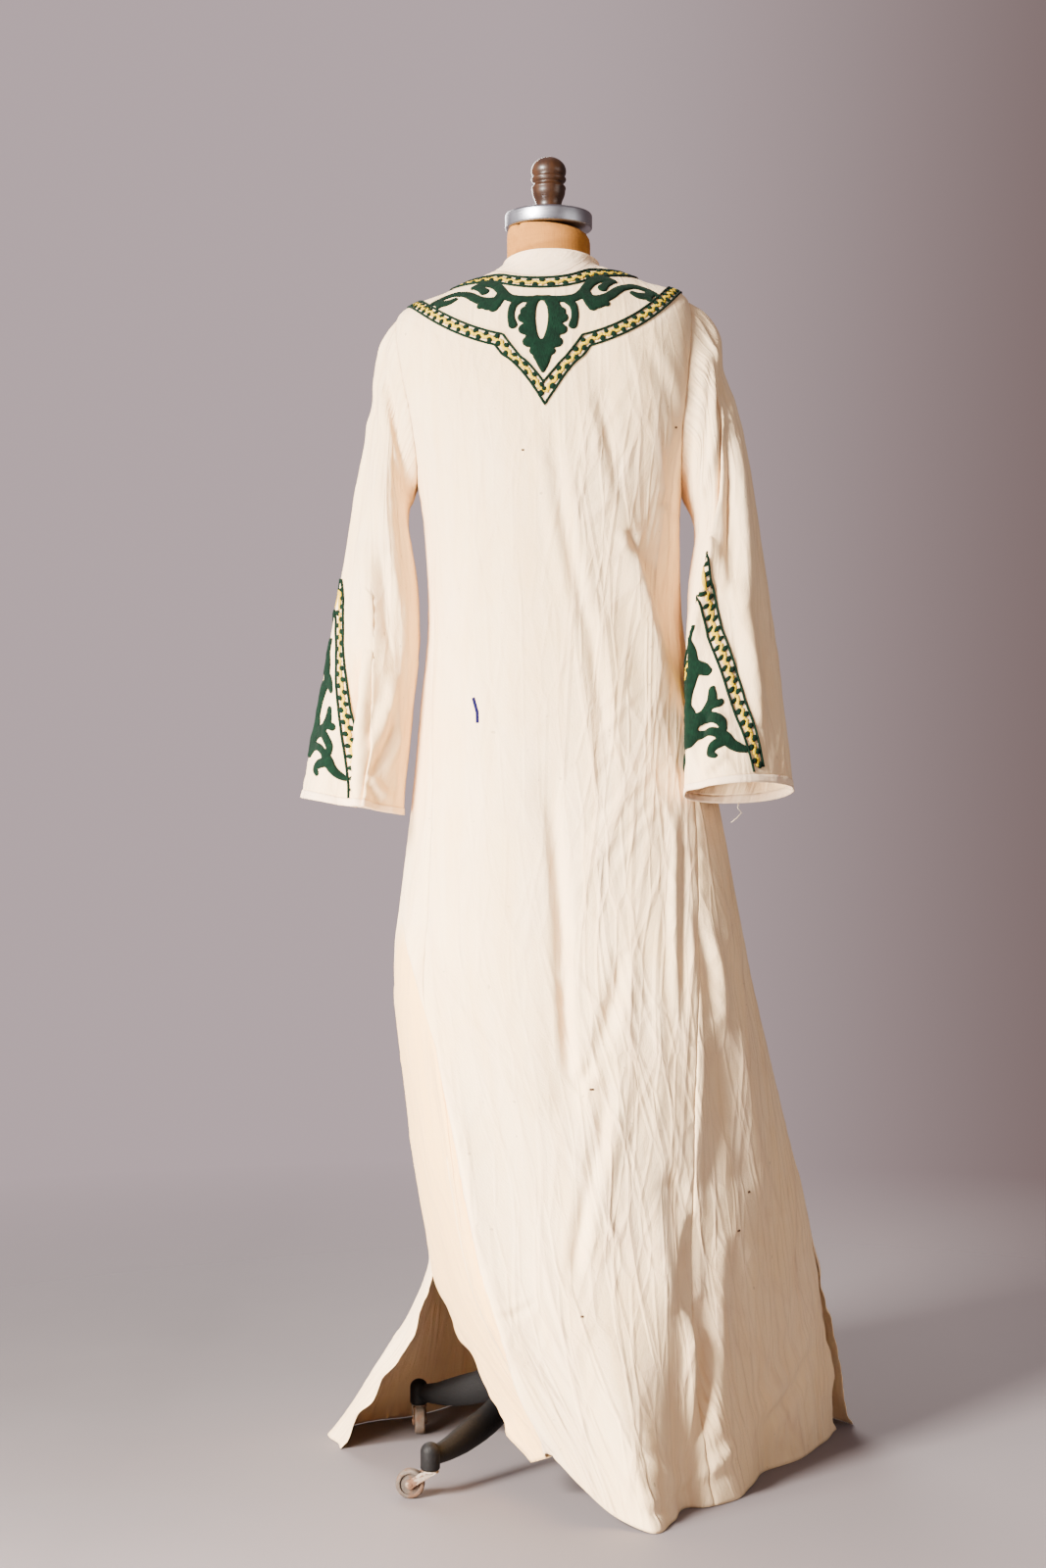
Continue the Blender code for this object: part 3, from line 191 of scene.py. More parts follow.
def new_group(name, takes, gives):
    """A node group with sockets of the given names, its input and its output node."""
    group = bpy.data.node_groups.new(name, "ShaderNodeTree")
    for label in takes:
        kind = "NodeSocketVector" if label == "Place" else "NodeSocketFloat"
        group.interface.new_socket(name=label, in_out="INPUT", socket_type=kind)
    for label in gives:
        group.interface.new_socket(name=label, in_out="OUTPUT", socket_type="NodeSocketFloat")
    return group, group.nodes.new("NodeGroupInput"), group.nodes.new("NodeGroupOutput")


def object_place(tree):
    """Object coordinates, in metres."""
    return node(tree, "ShaderNodeTexCoord").outputs["Object"]


# %% [markdown]
# ## The weave, shared by all the cloth
#
# A plain weave crosses one thread over and one under. Two sine waves multiplied give the little squares,
# and a slow noise along each thread makes some of them thicker, as in hand-loomed cotton. It is a node
# group, so that cotton and facing each use it with their own thread size.

# %% Weave group


def weave_group():
    """Plain weave on a UV map in metres: height from 0 to 1, and slubs from 0 to 1."""
    group, inside, outside = new_group("plain weave", ("Place", "Threads per metre"), ("Height", "Slubs"))
    turns = times(group, inside.outputs[1], math.pi)
    parts = node(group, "ShaderNodeSeparateXYZ", Vector=inside.outputs[0])
    across = math_node(group, "SINE", times(group, parts.outputs[0], turns))
    along = math_node(group, "SINE", times(group, parts.outputs[1], turns))
    crossing = times(group, across, along)
    weft = noise(group, inside.outputs[0], 60.0, 2.0, 0.6, (1.0, 22.0, 1.0))
    warp = noise(group, inside.outputs[0], 60.0, 2.0, 0.6, (22.0, 1.0, 1.0))
    slubs = plus(group, ramp(group, weft, 0.58, 0.8, 0, 0.5), ramp(group, warp, 0.6, 0.8, 0, 0.5))
    height = plus(group, ramp(group, crossing, -1, 1, 0, 0.6), times(group, slubs, 0.8))
    group.links.new(height, outside.inputs[0])
    group.links.new(slubs, outside.inputs[1])
    return group


WEAVE = weave_group()


def woven(tree, threads):
    """The weave group in a material, on its UV map."""
    place = node(tree, "ShaderNodeUVMap", {"uv_map": "cloth"}).outputs[0]
    made = tree.nodes.new("ShaderNodeGroup")
    made.node_tree = WEAVE
    tree.links.new(place, made.inputs[0])
    made.inputs[1].default_value = threads
    return made, place


print("weave ready")

# %% [markdown]
# ## Cream cotton
#
# The cotton has aged: it is a pale, slightly pink cream with yellower clouds, fine slubs and a few small
# specks. Fine crumple and the smallest crossing creases are bump, while the larger creases are in the mesh.
# The crossing creases are also painted darker, as painted shade in their folds, and a mask on the mesh
# paints a darker, warmer shade on the strip where the left gore turns away from the light.

# %% Cotton


def crease_lines(tree, where, scale, turn, wide):
    """Crisp crossing creases, from 0 to 1: the edges of bent, long cells, slanted by a turn in radians."""
    slanted = node(tree, "ShaderNodeMapping", Vector=where, Rotation=(0, 0, turn), Scale=(1.0, 0.24, 1.0))
    bend = node(tree, "ShaderNodeTexNoise", Vector=slanted.outputs[0], Scale=scale * 0.6, Detail=3.0)
    off = node(tree, "ShaderNodeVectorMath", {"operation": "MULTIPLY_ADD"}, i0=bend.outputs["Color"])
    off.inputs[1].default_value = (0.2 / scale, 0.05 / scale, 0.0)
    tree.links.new(slanted.outputs[0], off.inputs[2])
    edges = {"feature": "DISTANCE_TO_EDGE"}
    cells = node(tree, "ShaderNodeTexVoronoi", edges, Vector=off.outputs[0], Scale=scale)
    return ramp(tree, cells.outputs["Distance"], 0.0, wide, 1.0, 0.0)


# cells per metre, height (which also sets the crease's painted shade), slant in radians, width of a crease as
# a share of a cell
CREASE_SCALES = (
    (9.0, 0.46, 0.40, 0.040),
    (14.0, 0.36, -0.38, 0.050),
    (24.0, 0.38, 0.62, 0.080),
    (46.0, 0.30, 0.30, 0.13),
)


def cotton(name, pale, yellow, threads=1500.0, crumple=1.0):
    """Aged cotton with clouds, slubs and crumple, with painted shade in its creases and on a masked strip."""
    made, tree, shader = new_material(name, pale, 0.86)
    cloth_weave, place = woven(tree, threads)
    here = object_place(tree)
    clouds = noise(tree, here, 3.4, 5.0, 0.62)
    small_clouds = noise(tree, here, 17.0, 4.0, 0.6)
    age = plus(tree, ramp(tree, clouds, 0.42, 0.72, 0, 0.75), ramp(tree, small_clouds, 0.5, 0.8, 0, 0.35))
    colour = mixed(tree, age, pale, yellow)
    slub_colour = tuple(a * b for a, b in zip(yellow, (0.93, 0.88, 0.84)))
    colour = mixed(tree, times(tree, cloth_weave.outputs[1], 0.7), colour, slub_colour)
    fibres = noise(tree, place, 900.0, 2.0, 0.5)
    colour = mixed(tree, ramp(tree, fibres, 0.3, 0.75, 0.1, 0.0), colour, (0.55, 0.42, 0.3))
    specks = ramp(tree, noise(tree, here, 150.0, 0.0), 0.85, 0.88)
    colour = mixed(tree, times(tree, specks, 0.5), colour, (0.32, 0.22, 0.14))
    # painted shade: a mask on the mesh tints the strip beside the left gore's fold a darker, warmer yellow
    warmth = node(tree, "ShaderNodeAttribute", {"attribute_name": "warmth"}).outputs["Fac"]
    painted_shade_colour = tuple(a * b for a, b in zip(yellow, (0.98, 0.86, 0.62)))
    colour = mixed(tree, times(tree, warmth, 0.9), colour, painted_shade_colour)
    streaks = noise(tree, place, 42.0, 3.0, 0.6, (1.0, 0.05, 1.0))
    colour = mixed(tree, ramp(tree, streaks, 0.45, 0.72, 0.0, 0.45), colour, slub_colour)
    creased = node(tree, "ShaderNodeAttribute", {"attribute_name": "creased"}).outputs["Fac"]
    strength = ramp(tree, creased, 0, 1, 0.34, 1.0)
    rumple = noise(tree, place, 24.0, 4.0, 0.55, (1.0, 0.6, 1.0))
    height = times(tree, rumple, 1.1 * crumple)
    # painted shade: the crease lines are also painted darker, so that their folds look shaded
    wear_and_crease_shade = 0.0
    for scale, amount, turn, wide in CREASE_SCALES:
        lines = crease_lines(tree, place, scale, turn, wide)
        height = plus(tree, height, times(tree, lines, amount * crumple))
        wear_and_crease_shade = plus(tree, wear_and_crease_shade, times(tree, lines, amount * 0.42))
    height = times(tree, height, strength)
    colour = mixed(tree, times(tree, wear_and_crease_shade, strength), colour, (0.62, 0.40, 0.25))
    tree.links.new(colour, shader.inputs["Base Color"])
    finer = noise(tree, place, 330.0, 3.0, 0.6)
    height = plus(tree, height, times(tree, finer, 0.22))
    height = plus(tree, height, times(tree, cloth_weave.outputs[0], 0.07))
    bumped(tree, shader, height, 1.0, 0.0025)
    settle_shader(
        shader, Subsurface_Weight=0.05, Subsurface_Radius=(1.0, 0.62, 0.36), Subsurface_Scale=0.0018,
        Sheen_Weight=0.12, Sheen_Roughness=0.6, Specular_IOR_Level=0.25
    )
    return made


CREAM = cotton("cream cotton", (0.89, 0.665, 0.405), (0.85, 0.58, 0.28))
FACING = cotton("pale facing cotton", (0.90, 0.70, 0.49), (0.88, 0.62, 0.37), 1700.0, 0.6)
print("cotton ready")

# %% [markdown]
# ## The shape of the dress
#
# The dress is one surface. Round it, u counts the seams: 0 is the left side seam, 1 and 3 the back gore
# seams, 2 the centre back, 4 the right side seam, 5 and 7 the front gore seams, 6 the centre front. Down
# it, level counts the rows of a table of sections, and past the thigh it follows rings down to the hem.
# These are the same sizes the solids have, so that the fine cloth lies in the same place.

# %% Sizes of the dress
ROUNDNESS = 0.87
ARMHOLE_DEPTH = 0.065
GORE_TOP = 0.008
CUFF_STATIONS = {-1: 10.74, 1: 10.86}
UNDERARM_START = 0.955


def metres(rows, first=0, last=99):
    """A table whose columns from first up to last are given in millimetres, in metres."""
    return [[v / 1000 if first <= i < last else v for i, v in enumerate(row)] for row in rows]


# One row for each level of the dress above the knee. A level falls from its side heights to its back and
# front heights, and reaches that far from the pole to each side. The seam columns are the angles of the
# gore seams from centre back, in degrees; above the armpit the armhole sets them instead. The other
# columns here and in the tables below are millimetres, apart from u and side.
LEVELS = metres((
    # z_left z_right z_back z_front left right back front seam_left seam_right
    (1516, 1522, 1497, 1472, 72, 71, 79, 88, 90, 90),  # neckline
    (1489, 1503, 1447, 1405, 132, 124, 106, 108, 90, 90),  # middle of the shoulder
    (1458, 1480, 1385, 1335, 193, 178, 122, 124, 90, 90),  # shoulder tip
    (1383, 1392, 1336, 1300, 203, 193, 129, 134, 90, 90),  # shoulder blade
    (1306, 1306, 1288, 1268, 189, 185, 131, 140, 90, 90),  # chest
    (1243, 1236, 1234, 1226, 168, 170, 130, 142, 87, 87),  # armpit
    (1160, 1160, 1155, 1150, 157, 167, 128, 142, 76, 76),  # under the arm
    (1060, 1060, 1060, 1060, 153.5, 172, 128, 142, 70, 69),  # waist
    (960, 960, 960, 960, 163, 189, 130, 146, 63, 63),  # high hip
    (840, 840, 840, 840, 174, 216, 136, 152, 55, 55),  # hip
    (680, 680, 680, 680, 193, 246, 150, 170, 49, 46),  # thigh
), 0, 8)
TIP, ARMPIT, THIGH = 2.0, 5.0, 10.0

# Below the thigh a station is a ring of points. Round the ring, u counts the seams: 0 left side seam,
# 1 and 3 back gore seams, 2 centre back, 4 right side seam, 5 and 7 front gore seams, 6 centre front.
KNEE_Z, SLIT_Z = 0.42, 0.25
KNEE = metres((
    # u x y z
    (0, -178, 20, 420),
    (0.5, -160, -85, 420),
    (0.8, -128, -146, 420),
    (1, -124, -174, 420),
    (1.5, -40, -196, 420),
    (2, 40, -195, 420),
    (2.5, 115, -176, 420),
    (3, 176, -138, 420),
    (3.5, 258, -60, 420),
    (4, 308, 45, 420),
    (4.5, 275, 125, 420),
    (5, 200, 185, 420),
    (5.5, 125, 212, 420),
    (6, 50, 220, 420),
    (6.5, -30, 212, 420),
    (7, -100, 188, 420),
    (7.5, -152, 115, 420),
    (8, -178, 20, 420),
), 1)
SLIT_TOP = metres((
    # u x y z
    (0, -150, 0, 237),
    (0.5, -118, -95, 238),
    (0.8, -84, -168, 240),
    (1, -86, -212, 240),
    (1.5, -15, -236, 240),
    (2, 55, -236, 240),
    (2.5, 125, -215, 240),
    (3, 176, -178, 240),
    (3.5, 268, -75, 255),
    (4, 342, 50, 281),
    (4.5, 312, 160, 262),
    (5, 232, 240, 250),
    (5.5, 145, 278, 245),
    (6, 58, 275, 245),
    (6.5, -30, 268, 245),
    (7, -105, 235, 243),
    (7.5, -150, 130, 240),
    (8, -150, 0, 237),
), 1)
BACK_HEM = metres((
    # u x y z
    (0, -25, -190, 47),
    (0.5, -3, -216, 60),
    (1, 6, -250, 73),
    (1.3, 33, -270, 45),
    (1.7, 75, -290, 12),
    (2.04, 119, -314, 0),
    (2.38, 140, -270, 0),
    (2.78, 160, -214, 0),
    (3, 195, -207, 0),
    (3.11, 225, -180, 0),
    (3.25, 244, -125, 0),
    (3.39, 267, -67, 0),
    (3.5, 299, -36, 0),
    (3.84, 363, 83, 0),
    (4, 389, 138, 0),
), 1)
FRONT_HEM = metres((
    # u x y z
    (4, 411, 165, 0),
    (4.4, 352, 255, 0),
    (4.7, 302, 300, 0),
    (5, 238, 345, 0),
    (5.4, 160, 366, 0),
    (6, 65, 342, 0),
    (6.5, -20, 352, 0),
    (6.8, -90, 338, 0),
    (7, -122, 286, 0),
    (7.3, -172, 216, 0),
    (7.62, -252, 172, 0),
    (7.76, -289, 128, 0),
    (8, -268, 45, 0),
), 1)
FLARE_POWER = 1.25

# The largest folds, seen square from behind or from in front: a ridge or a valley along a line.
# side is -1 on the back and 1 on the front, depth is outwards, ends fade softly.
BODY_FOLDS = metres((
    # side x_top z_top x_low z_low depth_top depth_low half_width
    (-1, 3, 860, 18, 480, -5, -6, 20),
    (-1, 165, 1080, 50, 1400, -4, -3, 22),
    (-1, 100, 840, 30, 730, 3, 3, 18),
    (-1, 150, 370, 178, 30, -7, -10, 18),
    (-1, 240, 620, 238, 380, -6, -6, 20),
    (-1, 78, 500, 50, 320, 4, 3, 22),
    (-1, 330, 260, 300, 20, -5, -10, 22),
    (1, 110, 1180, 130, 300, 5, 12, 30),
    (1, 45, 1150, 40, 120, -4, -14, 30),
    (1, -70, 1160, -85, 150, 4, 12, 30),
    (1, -120, 1000, -140, 250, -3, -6, 22),
    (1, 190, 700, 230, 100, -4, -10, 28),
), 1)

# One row for each ring of a sleeve below its armhole: its outer and its underarm point, how far its cloth
# stands off to the back and to the front, and how much higher its back is than its front.
LEFT_SLEEVE = metres((
    # out_x out_y out_z in_x in_y in_z back front tilt
    (-212, 0, 1432, -173, 0, 1229, 66, 66, 0),
    (-223.5, 0, 1394, -179, 0, 1215, 66, 66, 0),
    (-226, -2, 1345, -181, -4, 1196, 64, 64, 0),
    (-235, -6, 1300, -178, -8, 1170, 61, 62, 0),
    (-245, -10, 1250, -171.5, -14, 1135, 58, 60, 0),
    (-256, -14, 1180, -167, -20, 1090, 56, 58, 0),
    (-267, -18, 1110, -166, -26, 1030, 55, 56, 0),
    (-278.5, -20, 1030, -172, -32, 965, 55, 55, 0),
    (-290, -22, 955, -178, -36, 905, 56, 55, 0),
    (-303, -24, 885, -184, -40, 855, 58, 56, 0),
    (-311, -25, 843, -187, -42, 822, 60, 57, 0),
))
RIGHT_SLEEVE = metres((
    # out_x out_y out_z in_x in_y in_z back front tilt
    (199, 0, 1466, 175, 0, 1222, 66, 66, 0),
    (218.5, 0, 1436, 181, -2, 1210, 66, 66, 0),
    (223, -4, 1394, 185, -8, 1198, 64, 64, 0),
    (236, -8, 1356, 187, -16, 1182, 61, 60, 0),
    (249, -12, 1305, 185, -26, 1160, 57, 56, 0),
    (259, -18, 1245, 180, -38, 1130, 53, 52, 0),
    (267, -26, 1175, 176, -56, 1090, 50, 45, 0),
    (277.5, -38, 1088, 174, -78, 1030, 48, 41, 2),
    (287, -50, 1008, 172, -100, 968, 47, 37, 5),
    (293.5, -60, 930, 169, -121, 910, 48, 35, 9),
    (301, -66, 848, 166, -137, 850, 50, 35, 13),
))
LEFT_SLEEVE_FOLDS = metres((
    # side x_top z_top x_low z_low depth_top depth_low half_width
    (-1, -216, 1388, -178, 1232, -8, -10, 16),
    (-1, -215, 1290, -190, 1130, -4, -3, 16),
    (-1, -232, 930, -236, 820, 3, 11, 15),
    (-1, -262, 930, -268, 820, -2, -10, 14),
    (1, -222, 1380, -185, 1240, -8, -9, 16),
    (1, -235, 1000, -240, 830, -3, -8, 16),
), 1)
RIGHT_SLEEVE_FOLDS = metres((
    # side x_top z_top x_low z_low depth_top depth_low half_width
    (-1, 203, 1400, 186, 1190, 6, 8, 14),
    (-1, 222, 1385, 208, 1180, -8, -8, 13),
    (-1, 215, 1100, 225, 900, -3, -3, 16),
    (1, 214, 1380, 190, 1230, -7, -8, 15),
    (1, 235, 1000, 240, 860, -3, -7, 16),
), 1)

# Neck band: its top edge, in the columns of LEVELS
BAND_TOP = (1.527, 1.527, 1.533, 1.500, 0.0575, 0.0640, 0.066, 0.076, 90.0, 90.0)


def unit(values):
    """Values held between 0 and 1."""
    return np.clip(values, 0, 1)


def bell(away, width):
    """A soft hill of height 1 about 0, that has fallen to about a third at its width."""
    return np.exp(-((away / width) ** 2))


def run_of(line):
    """Distances along a line of points, starting at 0."""
    return np.concatenate([[0], np.cumsum(np.linalg.norm(np.diff(line, axis=0), axis=1))])


def through(knots, rows, at):
    """Smooth curve through the rows, a row for each knot, read at the places in at."""
    knots = np.asarray(knots, float)
    rows = np.asarray(rows, float)
    at = np.clip(np.asarray(at, float), knots[0], knots[-1])
    slope = np.zeros_like(rows)
    step = np.diff(knots)[:, None]
    secant = np.diff(rows, axis=0) / step
    slope[1:-1] = (secant[:-1] * step[1:] + secant[1:] * step[:-1]) / (step[1:] + step[:-1])
    slope[0] = secant[0]
    slope[-1] = secant[-1]
    i = np.clip(np.searchsorted(knots, at, side="right") - 1, 0, len(knots) - 2)
    width = (knots[i + 1] - knots[i])[..., None]
    s = (at - knots[i])[..., None] / width
    near = (1 + 2 * s) * (1 - s) ** 2 * rows[i] + s * (1 - s) ** 2 * width * slope[i]
    far = s * s * (3 - 2 * s) * rows[i + 1] + s * s * (s - 1) * width * slope[i + 1]
    return near + far


def round_ring(table, at):
    """Smooth ring through a closed table of u, x, y, z."""
    rows = np.asarray(table, float)
    before = rows[-3:-1] - [8.0, 0, 0, 0]
    after = rows[1:3] + [8.0, 0, 0, 0]
    rows = np.vstack([before, rows, after])
    return through(rows[:, 0], rows[:, 1:], at)


def section(row, angle):
    """Points of a level at the angles from centre back: row has the columns of LEVELS."""
    side, ahead = np.sin(angle), -np.cos(angle)
    across = np.where(side < 0, row[..., 4], row[..., 5])
    along = np.where(ahead < 0, row[..., 6], row[..., 7])
    z_side = np.where(side < 0, row[..., 0], row[..., 1])
    z_middle = np.where(ahead < 0, row[..., 2], row[..., 3])
    x = np.sign(side) * across * np.abs(side) ** ROUNDNESS
    y = np.sign(ahead) * along * np.abs(ahead) ** ROUNDNESS
    z = z_middle + (z_side - z_middle) * side**2
    return np.stack([x, y, z], axis=-1)


def seam_angle(level, reach, table_angle):
    """Angle of a gore seam, which is the armhole's edge from the shoulder tip to the armpit."""
    share = unit((level - TIP) / (ARMPIT - TIP))
    turn = np.arccos(1 - 2 * share)
    away = ARMHOLE_DEPTH * np.sin(turn) + GORE_TOP * share
    edge = np.arccos(unit((away / reach) ** (1 / ROUNDNESS)))
    low = unit(level - ARMPIT)
    under = np.radians(table_angle)
    blend = low * low * (3 - 2 * low)
    return np.where(level <= ARMPIT, edge, edge * (1 - blend) + under * blend)


def upper(u, level):
    """The dress from the neckline to the thigh."""
    row = through(np.arange(len(LEVELS)), LEVELS, level)
    sides = [(6, 8), (6, 9), (7, 8), (7, 9)]
    found = [seam_angle(level, row[..., reach], row[..., seam]) for reach, seam in sides]
    back_left, back_right, front_left, front_right = found
    quarter = np.full_like(back_left, math.pi / 2)
    stops = [-quarter, -back_left, 0 * quarter, back_right, quarter]
    stops += [2 * quarter - front_right, 2 * quarter, 2 * quarter + front_left, 3 * quarter]
    stops = np.stack(stops, axis=-1)
    i = np.clip(np.floor(u), 0, 7).astype(int)
    first = np.take_along_axis(stops, i[..., None], -1)[..., 0]
    second = np.take_along_axis(stops, i[..., None] + 1, -1)[..., 0]
    return section(row, first + (second - first) * (u - i))


def hem(u, front):
    """The hem as it would hang with the slits closed, and how far it flares from that at the slits."""
    open_hem = np.where(front[..., None], open_edge(FRONT_HEM, u), open_edge(BACK_HEM, u))
    flare = 0
    for back_end, front_end, away in ((0, -1, np.minimum(u, 8 - u)), (-1, 0, np.abs(u - 4))):
        back_corner, front_corner = np.array(BACK_HEM[back_end][1:]), np.array(FRONT_HEM[front_end][1:])
        corner = np.where(front[..., None], front_corner, back_corner)
        flare = flare + (corner - (back_corner + front_corner) / 2) * (unit(1 - away) ** 1.5)[..., None]
    return open_hem - flare, flare


def open_edge(table, u):
    """Smooth line through an open table of u, x, y, z."""
    rows = np.asarray(table, float)
    return through(rows[:, 0], rows[:, 1:], u)


def lower(u, z, front):
    """The dress from the thigh to the hem, at nominal height z."""
    thigh = upper(u, np.full_like(u, THIGH))
    above = upper(u, np.full_like(u, THIGH - 0.5))
    thigh_slope = (above - thigh) / (above[..., 2:3] - thigh[..., 2:3] + 1e-9)
    knee = round_ring(KNEE, u)
    slit = round_ring(SLIT_TOP, u)
    closed, flare = hem(u, front)
    knots = (0.0, SLIT_Z, KNEE_Z, LEVELS[-1][2])
    rings = (closed, slit, knee, thigh)
    slopes = [(slit - closed) / SLIT_Z, (knee - closed) / KNEE_Z]
    slopes += [(thigh - slit) / (knots[3] - SLIT_Z), thigh_slope]
    out = np.zeros_like(closed)
    for k in range(3):
        width = knots[k + 1] - knots[k]
        s = ((z - knots[k]) / width)[..., None]
        here = (s >= 0) & (s <= 1) if k == 0 else (s > 0) & (s <= 1)
        value = (1 + 2 * s) * (1 - s) ** 2 * rings[k] + s * (1 - s) ** 2 * width * slopes[k]
        value = value + s * s * (3 - 2 * s) * rings[k + 1] + s * s * (s - 1) * width * slopes[k + 1]
        out = np.where(here, value, out)
    opened = unit(1 - z / SLIT_Z) ** FLARE_POWER
    out = out + flare * opened[..., None]
    out[..., 2] = np.maximum(out[..., 2], 0.0)
    return out


def level_height(level):
    """Nominal height of a level below the thigh; above it, the thigh's."""
    return LEVELS[-1][2] * unit(1 - (level - THIGH))


def bare_body(u, level, front):
    """The dress without folds. Past the thigh, level goes on counting down to the hem."""
    u, level = np.broadcast_arrays(np.asarray(u, float), np.asarray(level, float))
    front = np.broadcast_to(front, u.shape)
    z = level_height(level)
    low = level > THIGH
    out = upper(u, np.minimum(level, THIGH))
    return np.where(low[..., None], lower(u, z, front), out)


def crossed(first, second):
    """Unit normals across two fields of directions."""
    out = np.cross(first, second)
    return out / np.maximum(np.linalg.norm(out, axis=-1, keepdims=True), 1e-12)


def bare_normals(u, level, front):
    """Outward normals of the dress without folds, the same on both sides of a seam."""
    small = 0.004
    low, high = (4.0, 8.0) if front else (0.0, 4.0)
    before, after = np.clip(u - small, low, high), np.clip(u + small, low, high)
    collapsed = (level <= TIP) & ((before < low + 1) | (after > high - 1))
    before = np.where(collapsed, np.maximum(before, low + 1), before)
    after = np.where(collapsed, np.minimum(after, high - 1), after)
    up = np.clip(level - small, 0, THIGH + 1)
    down = np.clip(level + small, 0, THIGH + 1)
    along = bare_body(after, level, front) - bare_body(before, level, front)
    fall = bare_body(u, down, front) - bare_body(u, up, front)
    return crossed(fall, along)


def folded(points, normals, folds):
    """How far the folds move each point along its normal."""
    move = np.zeros(points.shape[:-1])
    for side, x_top, z_top, x_low, z_low, depth_top, depth_low, half_width in folds:
        start, end = np.array([x_top, z_top]), np.array([x_low, z_low])
        line = end - start
        place = points[..., [0, 2]] - start
        share = unit(place @ line / (line @ line))
        away = np.linalg.norm(place - share[..., None] * line, axis=-1)
        facing = unit(side * normals[..., 1] * 1.6)
        depth = depth_top + (depth_low - depth_top) * share
        move = move + facing * depth * bell(away, half_width)
    return move


def body(u, level, front):
    """The dress with its folds."""
    u, level = np.broadcast_arrays(np.asarray(u, float), np.asarray(level, float))
    points = bare_body(u, level, front)
    normals = bare_normals(u, level, front)
    held = unit((level - 0.5) / 1.5)
    out = points + normals * (folded(points, normals, BODY_FOLDS) * held)[..., None]
    out[..., 2] = np.maximum(out[..., 2], 0.0)
    return out


def armhole(side, turn):
    """The armhole's seam: turn goes from 0 at the shoulder tip round the back to pi at the armpit."""
    back = turn <= math.pi
    half = np.where(back, turn, 2 * math.pi - turn)
    down = unit(half / (UNDERARM_START * math.pi))
    level = TIP + (ARMPIT - TIP) * (1 - np.cos(down * math.pi)) / 2
    under = unit((half / math.pi - UNDERARM_START) / (1 - UNDERARM_START))
    if side < 0:
        u = np.where(back, 1 - under, 7 + under)
    else:
        u = np.where(back, 3 + under, 5 - under)
    return np.where(back[..., None], body(u, level, False), body(u, level, True))


def sleeve_rings(side, turn):
    """Rings of a sleeve from its armhole to its cuff, without folds."""
    table = np.array(LEFT_SLEEVE if side < 0 else RIGHT_SLEEVE)
    rings = [armhole(side, turn)]
    for row in table:
        outer, inner = row[0:3], row[3:6]
        axis = (outer - inner) / np.linalg.norm(outer - inner)
        back = np.array([0.0, -1.0, 0.0])
        back = back - axis * (back @ axis)
        back = back / np.linalg.norm(back)
        depth = np.where(np.sin(turn) > 0, row[6], row[7])
        stand = depth * np.sin(turn) * (1 - 0.18 * np.cos(turn))
        middle = (outer + inner) / 2
        ring = middle + np.cos(turn)[..., None] * (outer - inner) / 2 + stand[..., None] * back
        ring[..., 2] += row[8] * np.sin(turn)
        rings.append(ring)
    return np.array(rings)


print(len(LEVELS), "levels,", len(LEFT_SLEEVE), "rings a sleeve")


# %% [markdown]
# ## Creases
#
# A crease is a short curved line with a profile across it. A ridge or a valley is soft to both sides, a
# step is where one layer of cloth lies a little over the next, with a steep edge on one side. The lines in
# the tables are listed as seen square from behind (side -1) or from in front (side 1).

# %% Crease helpers


DEEP, DEEP_FROM = 1.9, 0.0018


def bezier_dots(row, dots=9):
    """Dots along a crease's curve through its start, middle and end."""
    start, middle, end = np.array(row[0:2]), np.array(row[2:4]), np.array(row[4:6])
    bend = 2 * middle - (start + end) / 2
    share = np.linspace(0, 1, dots)[:, None]
    return (1 - share) ** 2 * start + 2 * share * (1 - share) * bend + share**2 * end


def line_relief(place, rows, strength):
    """How far creases lift each place: rows have the columns of BODY_CREASES."""
    flat = place.reshape(-1, 2)
    total = np.zeros(len(flat))
    weight = strength.reshape(-1)
    for row in rows:
        dots = bezier_dots(row)
        depth, width, step = row[6] * (DEEP if abs(row[6]) > DEEP_FROM else 1.0), row[7], len(row) > 8
        reach = width * (6 if step else 3)
        low, high = dots.min(axis=0) - reach, dots.max(axis=0) + reach
        near = np.flatnonzero(((flat > low) & (flat < high)).all(axis=1) & (weight > 0.01))
        if not len(near):
            continue
        here = flat[near]
        best = np.full(len(near), 9.0)
        sign = np.ones(len(near))
        share = np.zeros(len(near))
        for k in range(len(dots) - 1):
            line = dots[k + 1] - dots[k]
            away = here - dots[k]
            along = unit(away @ line / (line @ line))
            off = away - along[:, None] * line
            distance = np.linalg.norm(off, axis=1)
            closer = distance < best
            best = np.where(closer, distance, best)
            sign = np.where(closer, np.sign(line[0] * away[:, 1] - line[1] * away[:, 0]), sign)
            share = np.where(closer, (k + along) / (len(dots) - 1), share)
        fade = unit(np.sin(math.pi * np.clip(share, 0.0, 1.0))) ** 0.6
        if step:
            rise = np.tanh(sign * best / (0.35 * width)) * bell(best, 2.6 * width)
        else:
            rise = bell(best, width) - 0.32 * bell(best - 1.9 * width, width)
        total[near] += weight[near] * depth * fade * rise
    return total.reshape(place.shape[:-1])


# large odd numbers that scatter the cells of a lattice, the seeds and the result once more
CELL_FACTORS, SEED_FACTOR, LAST_FACTOR = (374761393, 668265263, 974634777), 144665, 1274126177
LOW_BITS = 0xFFFFFFFF


def lattice(cell, seed):
    """A fixed scatter of values from -1 to 1, one for each cell of a lattice."""
    mixed_up = sum(cell[..., axis] * CELL_FACTORS[axis] for axis in range(3)) + seed * SEED_FACTOR
    mixed_up = mixed_up & LOW_BITS
    mixed_up = ((mixed_up ^ (mixed_up >> 13)) * LAST_FACTOR) & LOW_BITS
    return ((mixed_up ^ (mixed_up >> 16)) & 0xFFFF) / 32767.5 - 1


